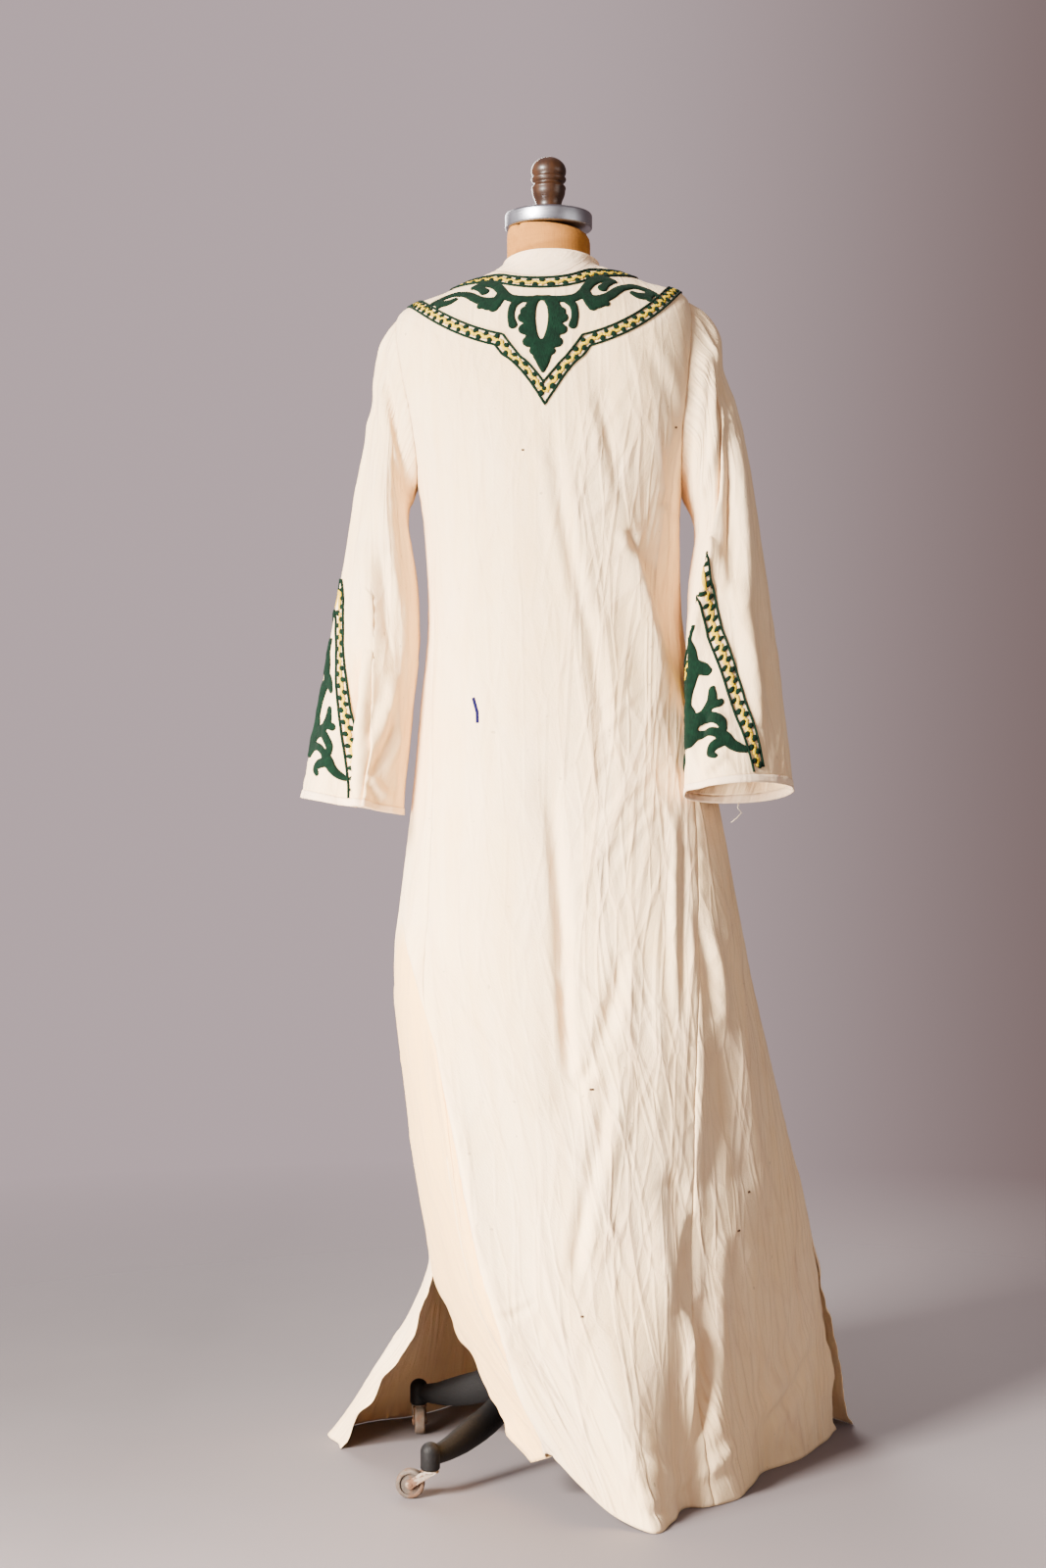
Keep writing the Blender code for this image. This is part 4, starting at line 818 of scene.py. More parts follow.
def rolling(points, size, seed):
    """Soft random relief from -1 to 1, with hills of the given size in metres."""
    place = points / size
    cell = np.floor(place).astype(np.int64)
    part = place - cell
    part = part * part * (3 - 2 * part)
    total = np.zeros(points.shape[:-1])
    for corner in range(8):
        step = np.array([corner & 1, corner >> 1 & 1, corner >> 2 & 1])
        share = np.prod(np.where(step == 1, part, 1 - part), axis=-1)
        total = total + share * lattice(cell + step, seed)
    return total


print("crease helpers ready")

# %% [markdown]
# ## Where the creases of the back lie
#
# A long pressed crease runs down the middle of the back, drag lines fall from the right shoulder to the
# waist, the cloth puckers along the gore seams, and the lower right crumples where it piles on the floor.

# %% Creases of the body
BODY_CREASES = {
    # the side they show on: x0 z0 x1 z1 x2 z2 depth width, and 1 for a step
    -1: metres((
    # drag lines from the right shoulder to the waist
    (0, 1311, 19, 1185, 46, 1052, -2.6, 9),
    (43, 1076, 58, 992, 68, 860, -2.4, 9),
    (14, 1257, 34, 1148, 62, 1040, 1.4, 8),
    (-5, 1293, 7, 1172, 30, 1052, 0.8, 9),
    (60, 1348, 75, 1281, 91, 1203, -2.2, 9),
    (96, 1175, 120, 1115, 159, 980, -3, 10, 1),
    (96, 1142, 123, 1064, 149, 956, 2, 14),
    (96, 1177, 102, 1160, 108, 1141, -2.5, 6),
    (114, 1052, 130, 980, 134, 884, 1.2, 12),
    # short creases that cross them
    (55, 911, 84, 946, 114, 980, 1.3, 4.5),
    (45, 785, 72, 824, 102, 860, 1.3, 4.5),
    (18, 1197, 34, 1245, 51, 1293, 0.9, 4),
    (7, 1221, 22, 1269, 36, 1311, -0.8, 4),
    (48, 860, 70, 896, 96, 926, 0.9, 4),
    (36, 734, 66, 778, 96, 818, 1.1, 4.5),
    (78, 788, 102, 836, 130, 866, -1, 5),
    (72, 734, 108, 800, 148, 848, 1.2, 5),
    # the long crease down the middle
    (2, 845, 13, 698, 17, 586, -3, 8),
    (15, 622, 20, 563, 25, 495, -3.6, 7),
    (-2, 824, 7, 681, 12, 516, -1.6, 12, 1),
    (86, 659, 76, 592, 52, 526, -2.4, 9),
    (52, 526, 40, 505, 27, 491, -2.2, 7),
    (101, 645, 90, 563, 73, 493, 1.4, 9),
    (73, 519, 59, 429, 40, 361, -2.2, 10),
    (47, 383, 35, 327, 28, 276, -2.6, 8),
    (59, 355, 76, 315, 84, 276, 1, 5),
    (95, 528, 78, 435, 61, 372, 1.4, 10),
    # beside the right gore seam
    (156, 838, 152, 716, 154, 569, 2.2, 6),
    (167, 824, 163, 704, 165, 575, -1.8, 6),
    (144, 842, 149, 818, 156, 794, 1.5, 4),
    (149, 824, 156, 800, 167, 776, -1.2, 4),
    (128, 622, 135, 528, 127, 435, 1.2, 7),
    (113, 704, 121, 610, 109, 516, -1.2, 8),
    (193, 687, 211, 628, 220, 569, 2.4, 8),
    (181, 710, 193, 639, 201, 551, -2.2, 9),
    (207, 563, 210, 470, 194, 355, -3.2, 14),
    (228, 598, 246, 493, 258, 389, 2.2, 16),
    (184, 528, 184, 435, 178, 332, 1.6, 8),
    # the bulge over the seam, low on the right
    (140, 394, 155, 366, 169, 341, -1.4, 6),
    (169, 341, 153, 276, 163, 220, -3.5, 10, 1),
    (161, 231, 176, 169, 167, 64, -5, 10, 1),
    (181, 242, 187, 164, 180, 75, -4, 11),
    (136, 372, 131, 315, 140, 254, 1.4, 9),
    (213, 310, 207, 231, 215, 141, 2.4, 9),
    (236, 287, 232, 209, 240, 130, -1.6, 8),
    (254, 298, 255, 220, 261, 130, 1.6, 8),
    (280, 287, 285, 197, 291, 119, -1.4, 9),
    (314, 231, 320, 175, 321, 119, 1.5, 8),
    # along the floor
    (109, 77, 133, 53, 156, 28, 2.4, 7),
    (103, 26, 131, 19, 163, 22, -2.2, 6),
    (92, 119, 109, 75, 115, 41, -1.2, 7),
    (333, 166, 294, 108, 242, 67, 4.5, 13),
    (337, 136, 307, 88, 265, 61, -2.5, 8),
    (230, 64, 196, 44, 161, 26, 2.6, 9),
    # the quiet left half
    (-96, 1257, -99, 1100, -101, 956, 0.7, 12),
    (-66, 1245, -69, 1052, -72, 836, -0.7, 12),
    (-118, 1148, -123, 980, -129, 812, -0.6, 10),
    (-64, 229, -43, 233, -16, 249, -1.6, 5),
    (-66, 238, -44, 242, -17, 257, 1.2, 5),
    (73, 398, 112, 403, 153, 400, 1, 4),
    (54, 505, 77, 509, 100, 519, 0.8, 4),
    # right shoulder and armhole
    (111, 1414, 135, 1371, 159, 1311, -1.4, 7),
    (125, 1424, 152, 1375, 171, 1317, 1.2, 7),
    (96, 1402, 111, 1366, 123, 1329, 0.9, 6),
    (130, 1223, 147, 1230, 162, 1233, 1.4, 4),
    (135, 1206, 149, 1215, 164, 1221, -1.2, 4),
    # where the left gore folds away from the back
    (-185, 688, -159, 612, -138, 536, 2.6, 7, 1),
    (-138, 536, -108, 407, -84, 283, 3, 7, 1),
    (-84, 283, -51, 179, 2, 76, 3, 7, 1),
    )),
    1: metres((
    (50, 1200, 60, 900, 90, 600, 3, 16),
    (-30, 1200, -40, 950, -60, 650, -3, 16),
    (120, 1100, 140, 800, 190, 400, 3.5, 18),
    (0, 800, 10, 500, -10, 200, -3, 16),
    (60, 500, 80, 300, 120, 80, 3.5, 16),
    (-100, 900, -110, 600, -90, 300, 2.6, 16),
    (90, 1350, 60, 1220, 20, 1130, 1.4, 10),
    (-100, 1340, -70, 1230, -30, 1120, -1.4, 10),
    )),
}
# where the left gore's fold lies over the back: its height and how far across, in millimetres
LAP_LINE = metres(((690, -186), (540, -138), (372, -106), (281, -83), (160, -40), (50, 4)))
print(len(BODY_CREASES[-1]), "creases on the back,", len(BODY_CREASES[1]), "on the front")

# %% [markdown]
# ## Fine cloth from a grid
#
# Each cut piece is a fine grid on the dress surface. It takes its own place across and down, in metres, as
# its UV map. Then the creases, a soft crumple, the puckers along its seams and the turned hem move the grid
# along its normals, and Solidify gives the cloth its thickness.

# %% Fine cloth
CLOTH_THICKNESS = 0.0010
CRINKLES_PER_AREA, CRINKLE_SLANT = 330, 0.5
coarse = 1.0


def many(count):
    """How many columns or rows a grid gets."""
    return max(6, int(count / coarse))


def lengths_along(points, axis):
    """Distance along the rows or columns of a grid, starting at 0."""
    steps = np.linalg.norm(np.diff(points, axis=axis), axis=-1)
    start = np.zeros_like(np.take(steps, [0], axis=axis))
    return np.concatenate([start, np.cumsum(steps, axis=axis)], axis=axis)


def grid_normals(points, flip=1.0, closed=False):
    """Outward normals of a grid whose rows go down and whose columns go round."""
    if closed:
        wrapped = np.concatenate([points[:, -2:-1], points, points[:, 1:2]], axis=1)
        around = np.gradient(wrapped, axis=1)[:, 1:-1]
    else:
        around = np.gradient(points, axis=1)
    return flip * crossed(np.gradient(points, axis=0), around)


def crinkles(seed, wide, tall):
    """Random short creases on a piece, in its own flat metres, the same on every run."""
    draw = np.random.default_rng(seed)
    rows = []
    for _ in range(int(CRINKLES_PER_AREA * wide * tall)):
        x, y = draw.uniform(0, wide), draw.uniform(0, tall)
        angle = draw.normal(math.pi / 2, CRINKLE_SLANT)
        half = draw.uniform(0.012, 0.060)
        bow = draw.normal(0, 0.12) * half
        dx, dy = half * math.cos(angle), half * math.sin(angle)
        width = draw.uniform(0.0028, 0.0070)
        depth = draw.choice([-1, 1]) * draw.uniform(0.00025, 0.0011) * (width / 0.005) ** 0.5
        rows.append((x - dx, y - dy, x - dy / half * bow, y + dx / half * bow, x + dx, y + dy, depth, width))
    return rows


class FineCloth:
    """A piece of cloth as a grid: its points, outward normals and flat place."""

    def __init__(self, points, normals, across, down):
        self.points, self.normals, self.across, self.down = points, normals, across, down
        self.warmth, self.creased = np.zeros(across.shape), np.full(across.shape, 0.5)

    def lift(self, height):
        """Moves the grid out along its normals."""
        self.points = self.points + self.normals * height[..., None]

    def settle(self, flip=1.0, closed=False):
        """Measures the normals again after the grid has moved."""
        self.normals = grid_normals(self.points, flip, closed)


def cloth_mesh(name, piece, look, closed=False, thickness=CLOTH_THICKNESS, flip=1.0):
    """The mesh object of a fine cloth, with its UV map in metres and its thickness."""
    rows, columns = piece.points.shape[:2]
    wide = columns - 1 if closed else columns
    mesh = bpy.data.meshes.new(name)
    a = (np.arange(rows - 1)[:, None] * wide + np.arange(columns - 1)).ravel()
    b = (np.arange(rows - 1)[:, None] * wide + (np.arange(columns - 1) + 1) % wide).ravel()
    quads = np.stack([a, b, b + wide, a + wide] if flip < 0 else [a, a + wide, b + wide, b], axis=1)
    points = piece.points[:, :wide].reshape(-1, 3)
    mesh.vertices.add(len(points))
    mesh.vertices.foreach_set("co", points.ravel())
    mesh.loops.add(quads.size)
    mesh.loops.foreach_set("vertex_index", quads.ravel())
    mesh.polygons.add(len(quads))
    mesh.polygons.foreach_set("loop_start", np.arange(0, quads.size, 4))
    mesh.polygons.foreach_set("loop_total", np.full(len(quads), 4))
    mesh.update(calc_edges=True)
    flat = np.stack([piece.across, piece.down], axis=-1).reshape(-1, 2)
    full_a = (np.arange(rows - 1)[:, None] * columns + np.arange(columns - 1)).ravel()
    corners = [full_a, full_a + 1, full_a + 1 + columns, full_a + columns]
    if flip > 0:
        corners = [corners[0], corners[3], corners[2], corners[1]]
    uv = mesh.uv_layers.new(name="cloth")
    uv.data.foreach_set("uv", flat[np.stack(corners, axis=1).ravel()].ravel())
    for label, values in (("warmth", piece.warmth), ("creased", piece.creased)):
        layer = mesh.attributes.new(label, "FLOAT", "POINT")
        layer.data.foreach_set("value", values[:, :wide].ravel().astype(np.float32))
    mesh.materials.append(look)
    mesh.shade_smooth()
    item = linked(name, mesh)
    applied(item, "SOLIDIFY", thickness=thickness, offset=0.0)
    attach(item, "stand")
    return item


def flat_area(piece):
    """Area of a grid, in square metres."""
    p = piece.points
    first = np.cross(p[1:, :-1] - p[:-1, :-1], p[:-1, 1:] - p[:-1, :-1])
    second = np.cross(p[1:, :-1] - p[1:, 1:], p[:-1, 1:] - p[1:, 1:])
    return float((np.linalg.norm(first, axis=-1) + np.linalg.norm(second, axis=-1)).sum() / 2)


print("fine cloth helpers ready")

# %% [markdown]
# ## The long panels and the gores
#
# The back and the front are each one straight panel from shoulder to hem. Two gores on each side widen the
# skirt and are left open below the knee as slits. Their edges share the seam lines, so each pair meets
# along a seam.

# %% Body pieces
PUCKER_REACH, SEAM_DIP, HEM_TURN, LAP_STEP = 0.010, 0.0009, 0.011, 0.0060


def turned_edge(away):
    """How far a turned and stitched edge stands off, at a distance from the edge."""
    return 0.0005 * unit((HEM_TURN - away) / 0.002) - 0.0006 * bell(away - HEM_TURN, 0.0016)


def body_piece(name, first, last, front, columns, rows, top, slit_edge=None, seed=1):
    """A fine panel or gore between two seams, from the level top to the hem."""
    knots = np.concatenate([np.linspace(top, THIGH, 400), np.linspace(THIGH, THIGH + 1, 300)[1:]])
    middle = body(np.full_like(knots, (first + last) / 2), knots, front)
    run = lengths_along(middle[:, None], 0)[:, 0]
    levels = np.interp(np.linspace(0, run[-1], many(rows) + 1), run, knots)
    levels[0], levels[-1] = top, THIGH + 1
    u, level = np.meshgrid(np.linspace(first, last, many(columns) + 1), levels)
    points = body(u, level, front)
    across = lengths_along(points, 1)
    down = lengths_along(points, 0)
    piece = FineCloth(points, grid_normals(points), across, down)
    normals = piece.normals
    side = np.where(normals[..., 1] < 0, -1, 1)
    facing = unit(np.abs(normals[..., 1]) * 1.5)
    square = points[..., [0, 2]]
    held = unit((level - 0.6) / 1.2)
    relief = np.zeros(level.shape)
    for which in (-1, 1):
        relief += line_relief(square, BODY_CREASES[which], np.where(side == which, facing * held, 0))
    from_left, from_right = across, across[:, -1:] - across
    edge = np.minimum(from_left, from_right)
    to_hem = down[-1:] - down
    inner = unit(edge / 0.02) * unit(to_hem / 0.01) * held
    wide, tall = across.max(), down.max()
    lap = np.interp(square[..., 1], *np.array(LAP_LINE)[::-1].T) - square[..., 0]
    lapped = np.where((side < 0) & (u < 2.6), unit((0.70 - square[..., 1]) / 0.05), 0)
    relief += LAP_STEP * lapped * np.where(lap < 0, np.exp(lap / 0.030), -0.6 * np.exp(-lap / 0.012))
    relief -= 0.5 * LAP_STEP * lapped * bell(lap, 0.0025)
    elsewhere = np.where(side < 0, 1 - facing, 1) * inner
    short_creases = crinkles(seed, wide, tall)
    relief += line_relief(np.stack([across, down], -1), short_creases, elsewhere)
    calm = np.where(side < 0, 0.45, 1.0) * held
    relief += 0.0018 * rolling(points * [1, 1, 0.4], 0.060, 5) * calm
    relief += 0.0005 * rolling(points * [1, 1, 0.5], 0.022, 9) * calm
    lower_share = unit((0.55 - points[..., 2]) / 0.4)
    relief += 0.0030 * rolling(points * [1, 1, 0.35], 0.055, 14) * lower_share
    pucker = rolling(points * [0.5, 0.5, 1.0], 0.011, 21)
    relief += 0.0009 * pucker * np.exp(-edge / PUCKER_REACH) * held
    relief -= SEAM_DIP * bell(edge, 0.003) * held
    relief += turned_edge(to_hem)
    if slit_edge is not None:
        to_slit = from_left if slit_edge == 0 else from_right
        below = unit((0.235 - level_height(level)) / 0.05)
        relief += below * 0.0085 * rolling(points, 0.040, 31) * np.exp(-to_slit / 0.026)
        relief += below * 0.0035 * rolling(points, 0.016, 33) * np.exp(-to_slit / 0.010)
        relief += below * turned_edge(to_slit)
    piece.lift(relief)
    piece.points[..., 2] = np.maximum(piece.points[..., 2], 0.0008)
    # painted shade: the strip left of the lap line, turned away from the light, is marked to be painted
    # darker and warmer
    piece.warmth = lapped * unit(lap / 0.003 + 0.5)
    right_half = unit(square[..., 0] / 0.05) * unit((1.36 - square[..., 1]) / 0.08)
    near_floor = unit((0.42 - square[..., 1]) / 0.2) * unit((square[..., 0] + 0.10) / 0.1)
    near_seam = np.exp(-edge / 0.025)
    on_back = np.clip(np.maximum(right_half, near_floor) + 0.5 * near_seam, 0.05, 1)
    piece.creased = np.where(side < 0, on_back, 0.6)
    piece.settle()
    piece.points = piece.points + POLE
    piece.across = across - across[:, across.shape[1] // 2][:, None]
    made = cloth_mesh(name, piece, CREAM)
    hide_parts(name.replace("fine_", ""))
    print(name, "grid", u.shape, "wide, long, area", np.round((wide, tall, flat_area(piece)), 3))
    return made, piece


back_cloth, back_grid = body_piece("fine_back_panel", 1, 3, False, 138, 345, 0.0, seed=11)
front_cloth, front_grid = body_piece("fine_front_panel", 5, 7, True, 84, 260, 0.0, seed=12)
gore_cloths = [
    body_piece("fine_back_gore_left", 0, 1, False, 40, 250, ARMPIT, 0, 13),
    body_piece("fine_back_gore_right", 3, 4, False, 52, 250, ARMPIT, 1, 14),
    body_piece("fine_front_gore_right", 4, 5, True, 40, 220, ARMPIT, 0, 15),
    body_piece("fine_front_gore_left", 7, 8, True, 40, 220, ARMPIT, 1, 16),
]

# %% [markdown]
# ## Sleeves and cuffs
#
# A sleeve is one tube from the armhole to the cuff. It keeps a pressed crease down its outer middle, which
# turns to the back on the right arm, and it is gathered into crosswise puckers under the arm.

# %% Sleeve pieces
SLEEVE_CREASES = {
    # the arm and the side they show on: rows as in BODY_CREASES
    (-1, -1): metres((
    (-205, 1400, -196, 1300, -172, 1235, -3, 10, 1),
    (-222, 1330, -215, 1250, -196, 1130, 2.2, 10),
    (-192, 1210, -182, 1150, -176, 1080, -2, 8),
    (-236, 1180, -226, 1080, -222, 960, 3.6, 12),
    (-212, 1150, -204, 1090, -198, 1020, -3, 9),
    (-200, 1080, -205, 1000, -215, 930, 1.6, 10),
    (-215, 1000, -200, 930, -196, 880, -1.6, 9),
    (-194, 1000, -206, 940, -234, 890, 3, 7),
    (-190, 940, -205, 900, -226, 870, -2.4, 6),
    (-222, 870, -210, 850, -196, 846, 2, 5),
    (-232, 1030, -240, 930, -245.5, 800, 9.5, 6, 1),
    )),
    (-1, 1): metres((
    (-230, 1300, -222, 1150, -226, 1000, 2.2, 12),
    (-200, 1220, -196, 1120, -210, 1020, -2, 10),
    (-250, 1050, -245, 950, -250, 860, -2, 10),
    )),
    (1, -1): metres((
    (208, 1395, 204, 1320, 192, 1230, 4, 9, 1),
    (200, 1280, 196, 1180, 186, 1110, -3, 9),
    (238, 1300, 242, 1180, 250, 1080, 3.4, 11),
    (226, 1300, 230, 1200, 236, 1100, -3, 9),
    (236, 1120, 250, 1020, 262, 930, 3, 10),
    (182, 1180, 178, 1100, 176, 1000, -1.8, 9),
    (264, 1100, 272, 990, 280, 900, -3, 10),
    (184, 872, 198, 886, 214, 892, 2.4, 6),
    (180, 900, 190, 930, 196, 950, -2.2, 6),
    )),
    (1, 1): metres((
    (220, 1320, 212, 1200, 218, 1080, 2.4, 12),
    (240, 1100, 246, 980, 250, 880, -2.2, 12),
    )),
}


def sleeve_fine(side, turns, stations):
    """Points of a sleeve with its largest folds, for a whole grid."""
    rings = sleeve_rings(side, turns)
    flat = through(np.arange(len(rings)), rings.reshape(len(rings), -1), stations)
    points = flat.reshape(len(stations), len(turns), 3)
    normals = grid_normals(points, -side, closed=True)
    folds = LEFT_SLEEVE_FOLDS if side < 0 else RIGHT_SLEEVE_FOLDS
    held = unit(stations / 1.2)[:, None]
    points = points + normals * (folded(points, normals, folds) * held)[..., None]
    return points


PLEATS = {
    # the arm's side: (stations, how far the fold laps over, in metres, where it lies from the crease)
    -1: ((6.5, 8.5, 11.0), (0.0, 0.006, 0.009), (0.066, 0.096, 0.126)),
    1: ((2.5, 4.5, 6.4, 8.0, 9.5, 11.0), (0.0, 0.006, 0.022, 0.018, 0.009, 0.0), (-0.003,) * 6),
}


def pleat(piece, side, stations, away):
    """Laps the cloth beside the crease over its other side, as a pressed fold does."""
    lap = np.interp(stations, PLEATS[side][0], PLEATS[side][1])[:, None]
    away = -side * away - np.interp(stations, PLEATS[side][0], PLEATS[side][2])[:, None]
    reach, under, spread = 0.040, 0.008, 0.095 if side > 0 else 0.040
    shift = np.interp(away, (-reach, -under, 0.0, spread), (0.0, 1.0, -1.0, 0.0))
    shift = np.where(shift > 0, shift * under, shift * lap) * (lap > 0.0005)
    edges = (-reach, -1.5 * under, -under, 0.0, 0.010, reach)
    rise = np.interp(away, edges, (0.0, -0.3, -0.3, 0.30, 0.24, 0.0)) * np.minimum(lap, 0.014)
    tangent = np.gradient(piece.points, axis=1)
    tangent /= np.linalg.norm(tangent, axis=-1, keepdims=True)
    piece.points = piece.points + tangent * (-side * shift)[..., None] + piece.normals * rise[..., None]


def sleeve_piece(name, side):
    """The fine sleeve and its cuff facing."""
    last = float(len(LEFT_SLEEVE))
    turns = np.linspace(0, 2 * math.pi, many(132) + 1)
    knots = np.linspace(0, last, 400)
    middle = sleeve_fine(side, np.array([0.0, math.pi / 2, math.pi, 2 * math.pi]), knots)[:, 1]
    run = lengths_along(middle[:, None], 0)[:, 0]
    stations = np.interp(np.linspace(0, run[-1], many(170) + 1), run, knots)
    stations[0], stations[-1] = 0.0, last
    cuff_row = int(np.searchsorted(stations, CUFF_STATIONS[side]))
    stations[cuff_row] = CUFF_STATIONS[side]
    points = sleeve_fine(side, turns, stations)
    across, down = lengths_along(points, 1), lengths_along(points, 0)
    piece = FineCloth(points, grid_normals(points, -side, closed=True), across, down)
    normals = piece.normals
    facing = unit(np.abs(normals[..., 1]) * 1.6)
    which_side = np.where(normals[..., 1] < 0, -1, 1)
    held = unit(down / 0.03)
    relief = np.zeros(across.shape)
    for which in (-1, 1):
        shown = np.where(which_side == which, facing * held, 0)
        relief += line_relief(points[..., [0, 2]], SLEEVE_CREASES[side, which], shown)
    seam = np.minimum(across, across[:, -1:] - across)
    loose = unit(seam / 0.02) * held
    short_creases = crinkles(40 + side, across.max(), down.max())
    relief += line_relief(np.stack([across, down], -1), short_creases, loose)
    relief += 0.0014 * rolling(points * [1, 1, 0.5], 0.045, 6) * held
    relief += 0.0006 * rolling(points, 0.018, 8) * held
    under = bell(turns - math.pi, 0.5)[None, :]
    relief += 0.0030 * under * np.exp(-down / 0.030) * rolling(points * [0.3, 0.3, 1.0], 0.008, 19) * held
    relief += 0.0009 * rolling(points * [1, 0.5, 1.0], 0.010, 22) * np.exp(-down / 0.012)
    relief -= SEAM_DIP * bell(down, 0.003)
    centre = crease_turn(side, stations)
    from_crease = across - np.array([np.interp(c, turns, row) for c, row in zip(centre, across)])[:, None]
    away = np.abs(from_crease)
    relief += (0.0032 * np.exp(-away / 0.004) - 0.0022 * bell(away - 0.016, 0.012)) * held
    piece.lift(relief)
    pleat(piece, side, stations, from_crease)
    piece.settle(-side, closed=True)
    piece.points = piece.points + POLE
    piece.turns, piece.stations = turns, stations
    upper_part = FineCloth(*(a[: cuff_row + 1] for a in (piece.points, piece.normals, across, down)))
    cuff_part = FineCloth(*(a[cuff_row:] for a in (piece.points, piece.normals, across, down)))
    made = cloth_mesh(f"fine_{name}", upper_part, CREAM, closed=True, flip=-side)
    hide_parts(name)
    drop = cuff_part.down - cuff_part.down[:1]
    height = 0.0006 + 0.0004 * unit(drop / 0.0015)
    for stitch in (0.0035, 0.0065, 0.0092):
        height = height - 0.0005 * bell(drop - stitch, 0.0005)
    cuff_part.lift(height * 0.6)
    cuff = cloth_mesh(f"fine_cuff_{name[7:]}", cuff_part, FACING, closed=True, thickness=0.0018, flip=-side)
    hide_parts(f"cuff_{name[7:]}")
    sizes = (across[-1, -1], down.max(), flat_area(upper_part), flat_area(cuff_part))
    print(name, "round the cuff, long, areas", np.round(sizes, 4))
    return made, cuff, piece


def crease_turn(side, stations):
    """Where the pressed crease down the middle of a sleeve lies: it turns to the back on the right arm."""
    if side < 0:
        return np.interp(stations, (0, 4, 7, 11), (0.35, 0.44, 0.44, 0.04))
    return np.interp(stations, (0, 3, 5, 6.5, 8, 9.5, 11), (0.5, 1.05, 1.52, 1.96, 2.57, 2.92, 3.04))


left_sleeve, left_cuff, left_grid = sleeve_piece("sleeve_left", -1)
right_sleeve, right_cuff, right_grid = sleeve_piece("sleeve_right", 1)

# %% [markdown]
# ## Neck band
#
# A low stand finishes the neckline. It is a narrow strip of the paler cotton with a fine piped edge along
# its top, and it is parted at the front like the slit below it.

# %% Neck band
PIPING_RADIUS = 0.0011


def neck_stand():
    """The fine neck band, whose top edge the piping follows."""
    opening = 0.012
    ring = np.linspace(-math.pi + opening, math.pi - opening, many(150) + 1)
    low, high = np.array(LEVELS[0]), np.array(BAND_TOP)
    shares = np.linspace(0, 1, many(16) + 1)
    points = np.array([section(low + (high - low) * share, ring) for share in shares[::-1]])
    for share, line in zip(shares[::-1], points):
        bow = 0.003 * math.sin(math.pi * share)
        line[:, :2] *= 1 - bow / np.linalg.norm(line[:, :2], axis=-1, keepdims=True)
    across, down = lengths_along(points, 1), lengths_along(points, 0)
    piece = FineCloth(points, grid_normals(points), across, down)
    relief = 0.0008 * rolling(points, 0.020, 51) + 0.0003 * rolling(points, 0.007, 52)
    relief = relief * unit(down / 0.004)
    piece.lift(relief)
    piece.settle()
    piece.points = piece.points + POLE
    made = cloth_mesh("fine_neck_band", piece, FACING)
    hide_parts("neck_band")
    return made, piece


neck_cloth, neck_grid = neck_stand()
print("neck band area", round(flat_area(neck_grid), 4))


# %% [markdown]
# ## Cords and threads laid on cloth
#
# A sewn cord is a thin tube that follows the cloth. One helper sweeps a small ring along a line of points,
# each with its own way up; it serves for the piping, the outlines of the borders and the yellow chain
# between them.

# %% Tubes


def swept(points, ups, radius, sides=6, flatten=1.0):
    """Vertices and faces of a tube along points; ups say which way is off the cloth."""
    points, ups = np.asarray(points), np.asarray(ups)
    ahead = np.gradient(points, axis=0)
    ahead /= np.maximum(np.linalg.norm(ahead, axis=1, keepdims=True), 1e-9)
    beside = np.cross(ahead, ups)
    beside /= np.maximum(np.linalg.norm(beside, axis=1, keepdims=True), 1e-9)
    above = np.cross(beside, ahead)
    radius = np.broadcast_to(radius, len(points))[:, None, None]
    turn = np.arange(sides) * 2 * math.pi / sides
    turn = turn[None, :, None]
    ring = np.cos(turn) * beside[:, None] + flatten * np.sin(turn) * above[:, None]
    verts = (points[:, None] + radius * ring).reshape(-1, 3)
    faces = []
    count = len(points)
    for i in range(0, (count - 1) * sides, sides):
        for k in range(sides):
            m = (k + 1) % sides
            faces.append((i + k, i + m, i + sides + m, i + sides + k))
    faces.append(tuple(range(sides - 1, -1, -1)))
    faces.append(tuple((count - 1) * sides + k for k in range(sides)))
    return verts, faces


class Gathered:
    """Collects small shapes into one mesh piece."""

    def __init__(self):
        self.verts, self.faces, self.count = [], [], 0

    def add(self, verts, faces):
        self.verts.append(np.asarray(verts))
        self.faces += [tuple(i + self.count for i in face) for face in faces]
        self.count += len(verts)

    def made(self, name, look, body="stand"):
        mesh = bpy.data.meshes.new(name)
        mesh.from_pydata(np.concatenate(self.verts).tolist(), [], self.faces)
        edit = bmesh.new()
        edit.from_mesh(mesh)
        bmesh.ops.recalc_face_normals(edit, faces=edit.faces)
        edit.to_mesh(mesh)
        edit.free()
        mesh.materials.append(look)
        mesh.shade_smooth()
        item = linked(name, mesh)
        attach(item, body)
        print(name, len(mesh.polygons), "faces")
        return item


piping = Gathered()
top_line = neck_grid.points[0] + [0, 0, PIPING_RADIUS * 0.4]
piping.add(*swept(top_line, neck_grid.normals[0], PIPING_RADIUS, 8))
neck_piping = piping.made("neck_piping", FACING)

# %% [markdown]
# ## Embroidery threads
#
# The scrolls are thick green wool and the borders a green cord with yellow chain stitch. Wool shows as a
# dark, soft green with paler fibres, and the yellow thread runs from gold to a pale straw.

# %% Thread materials


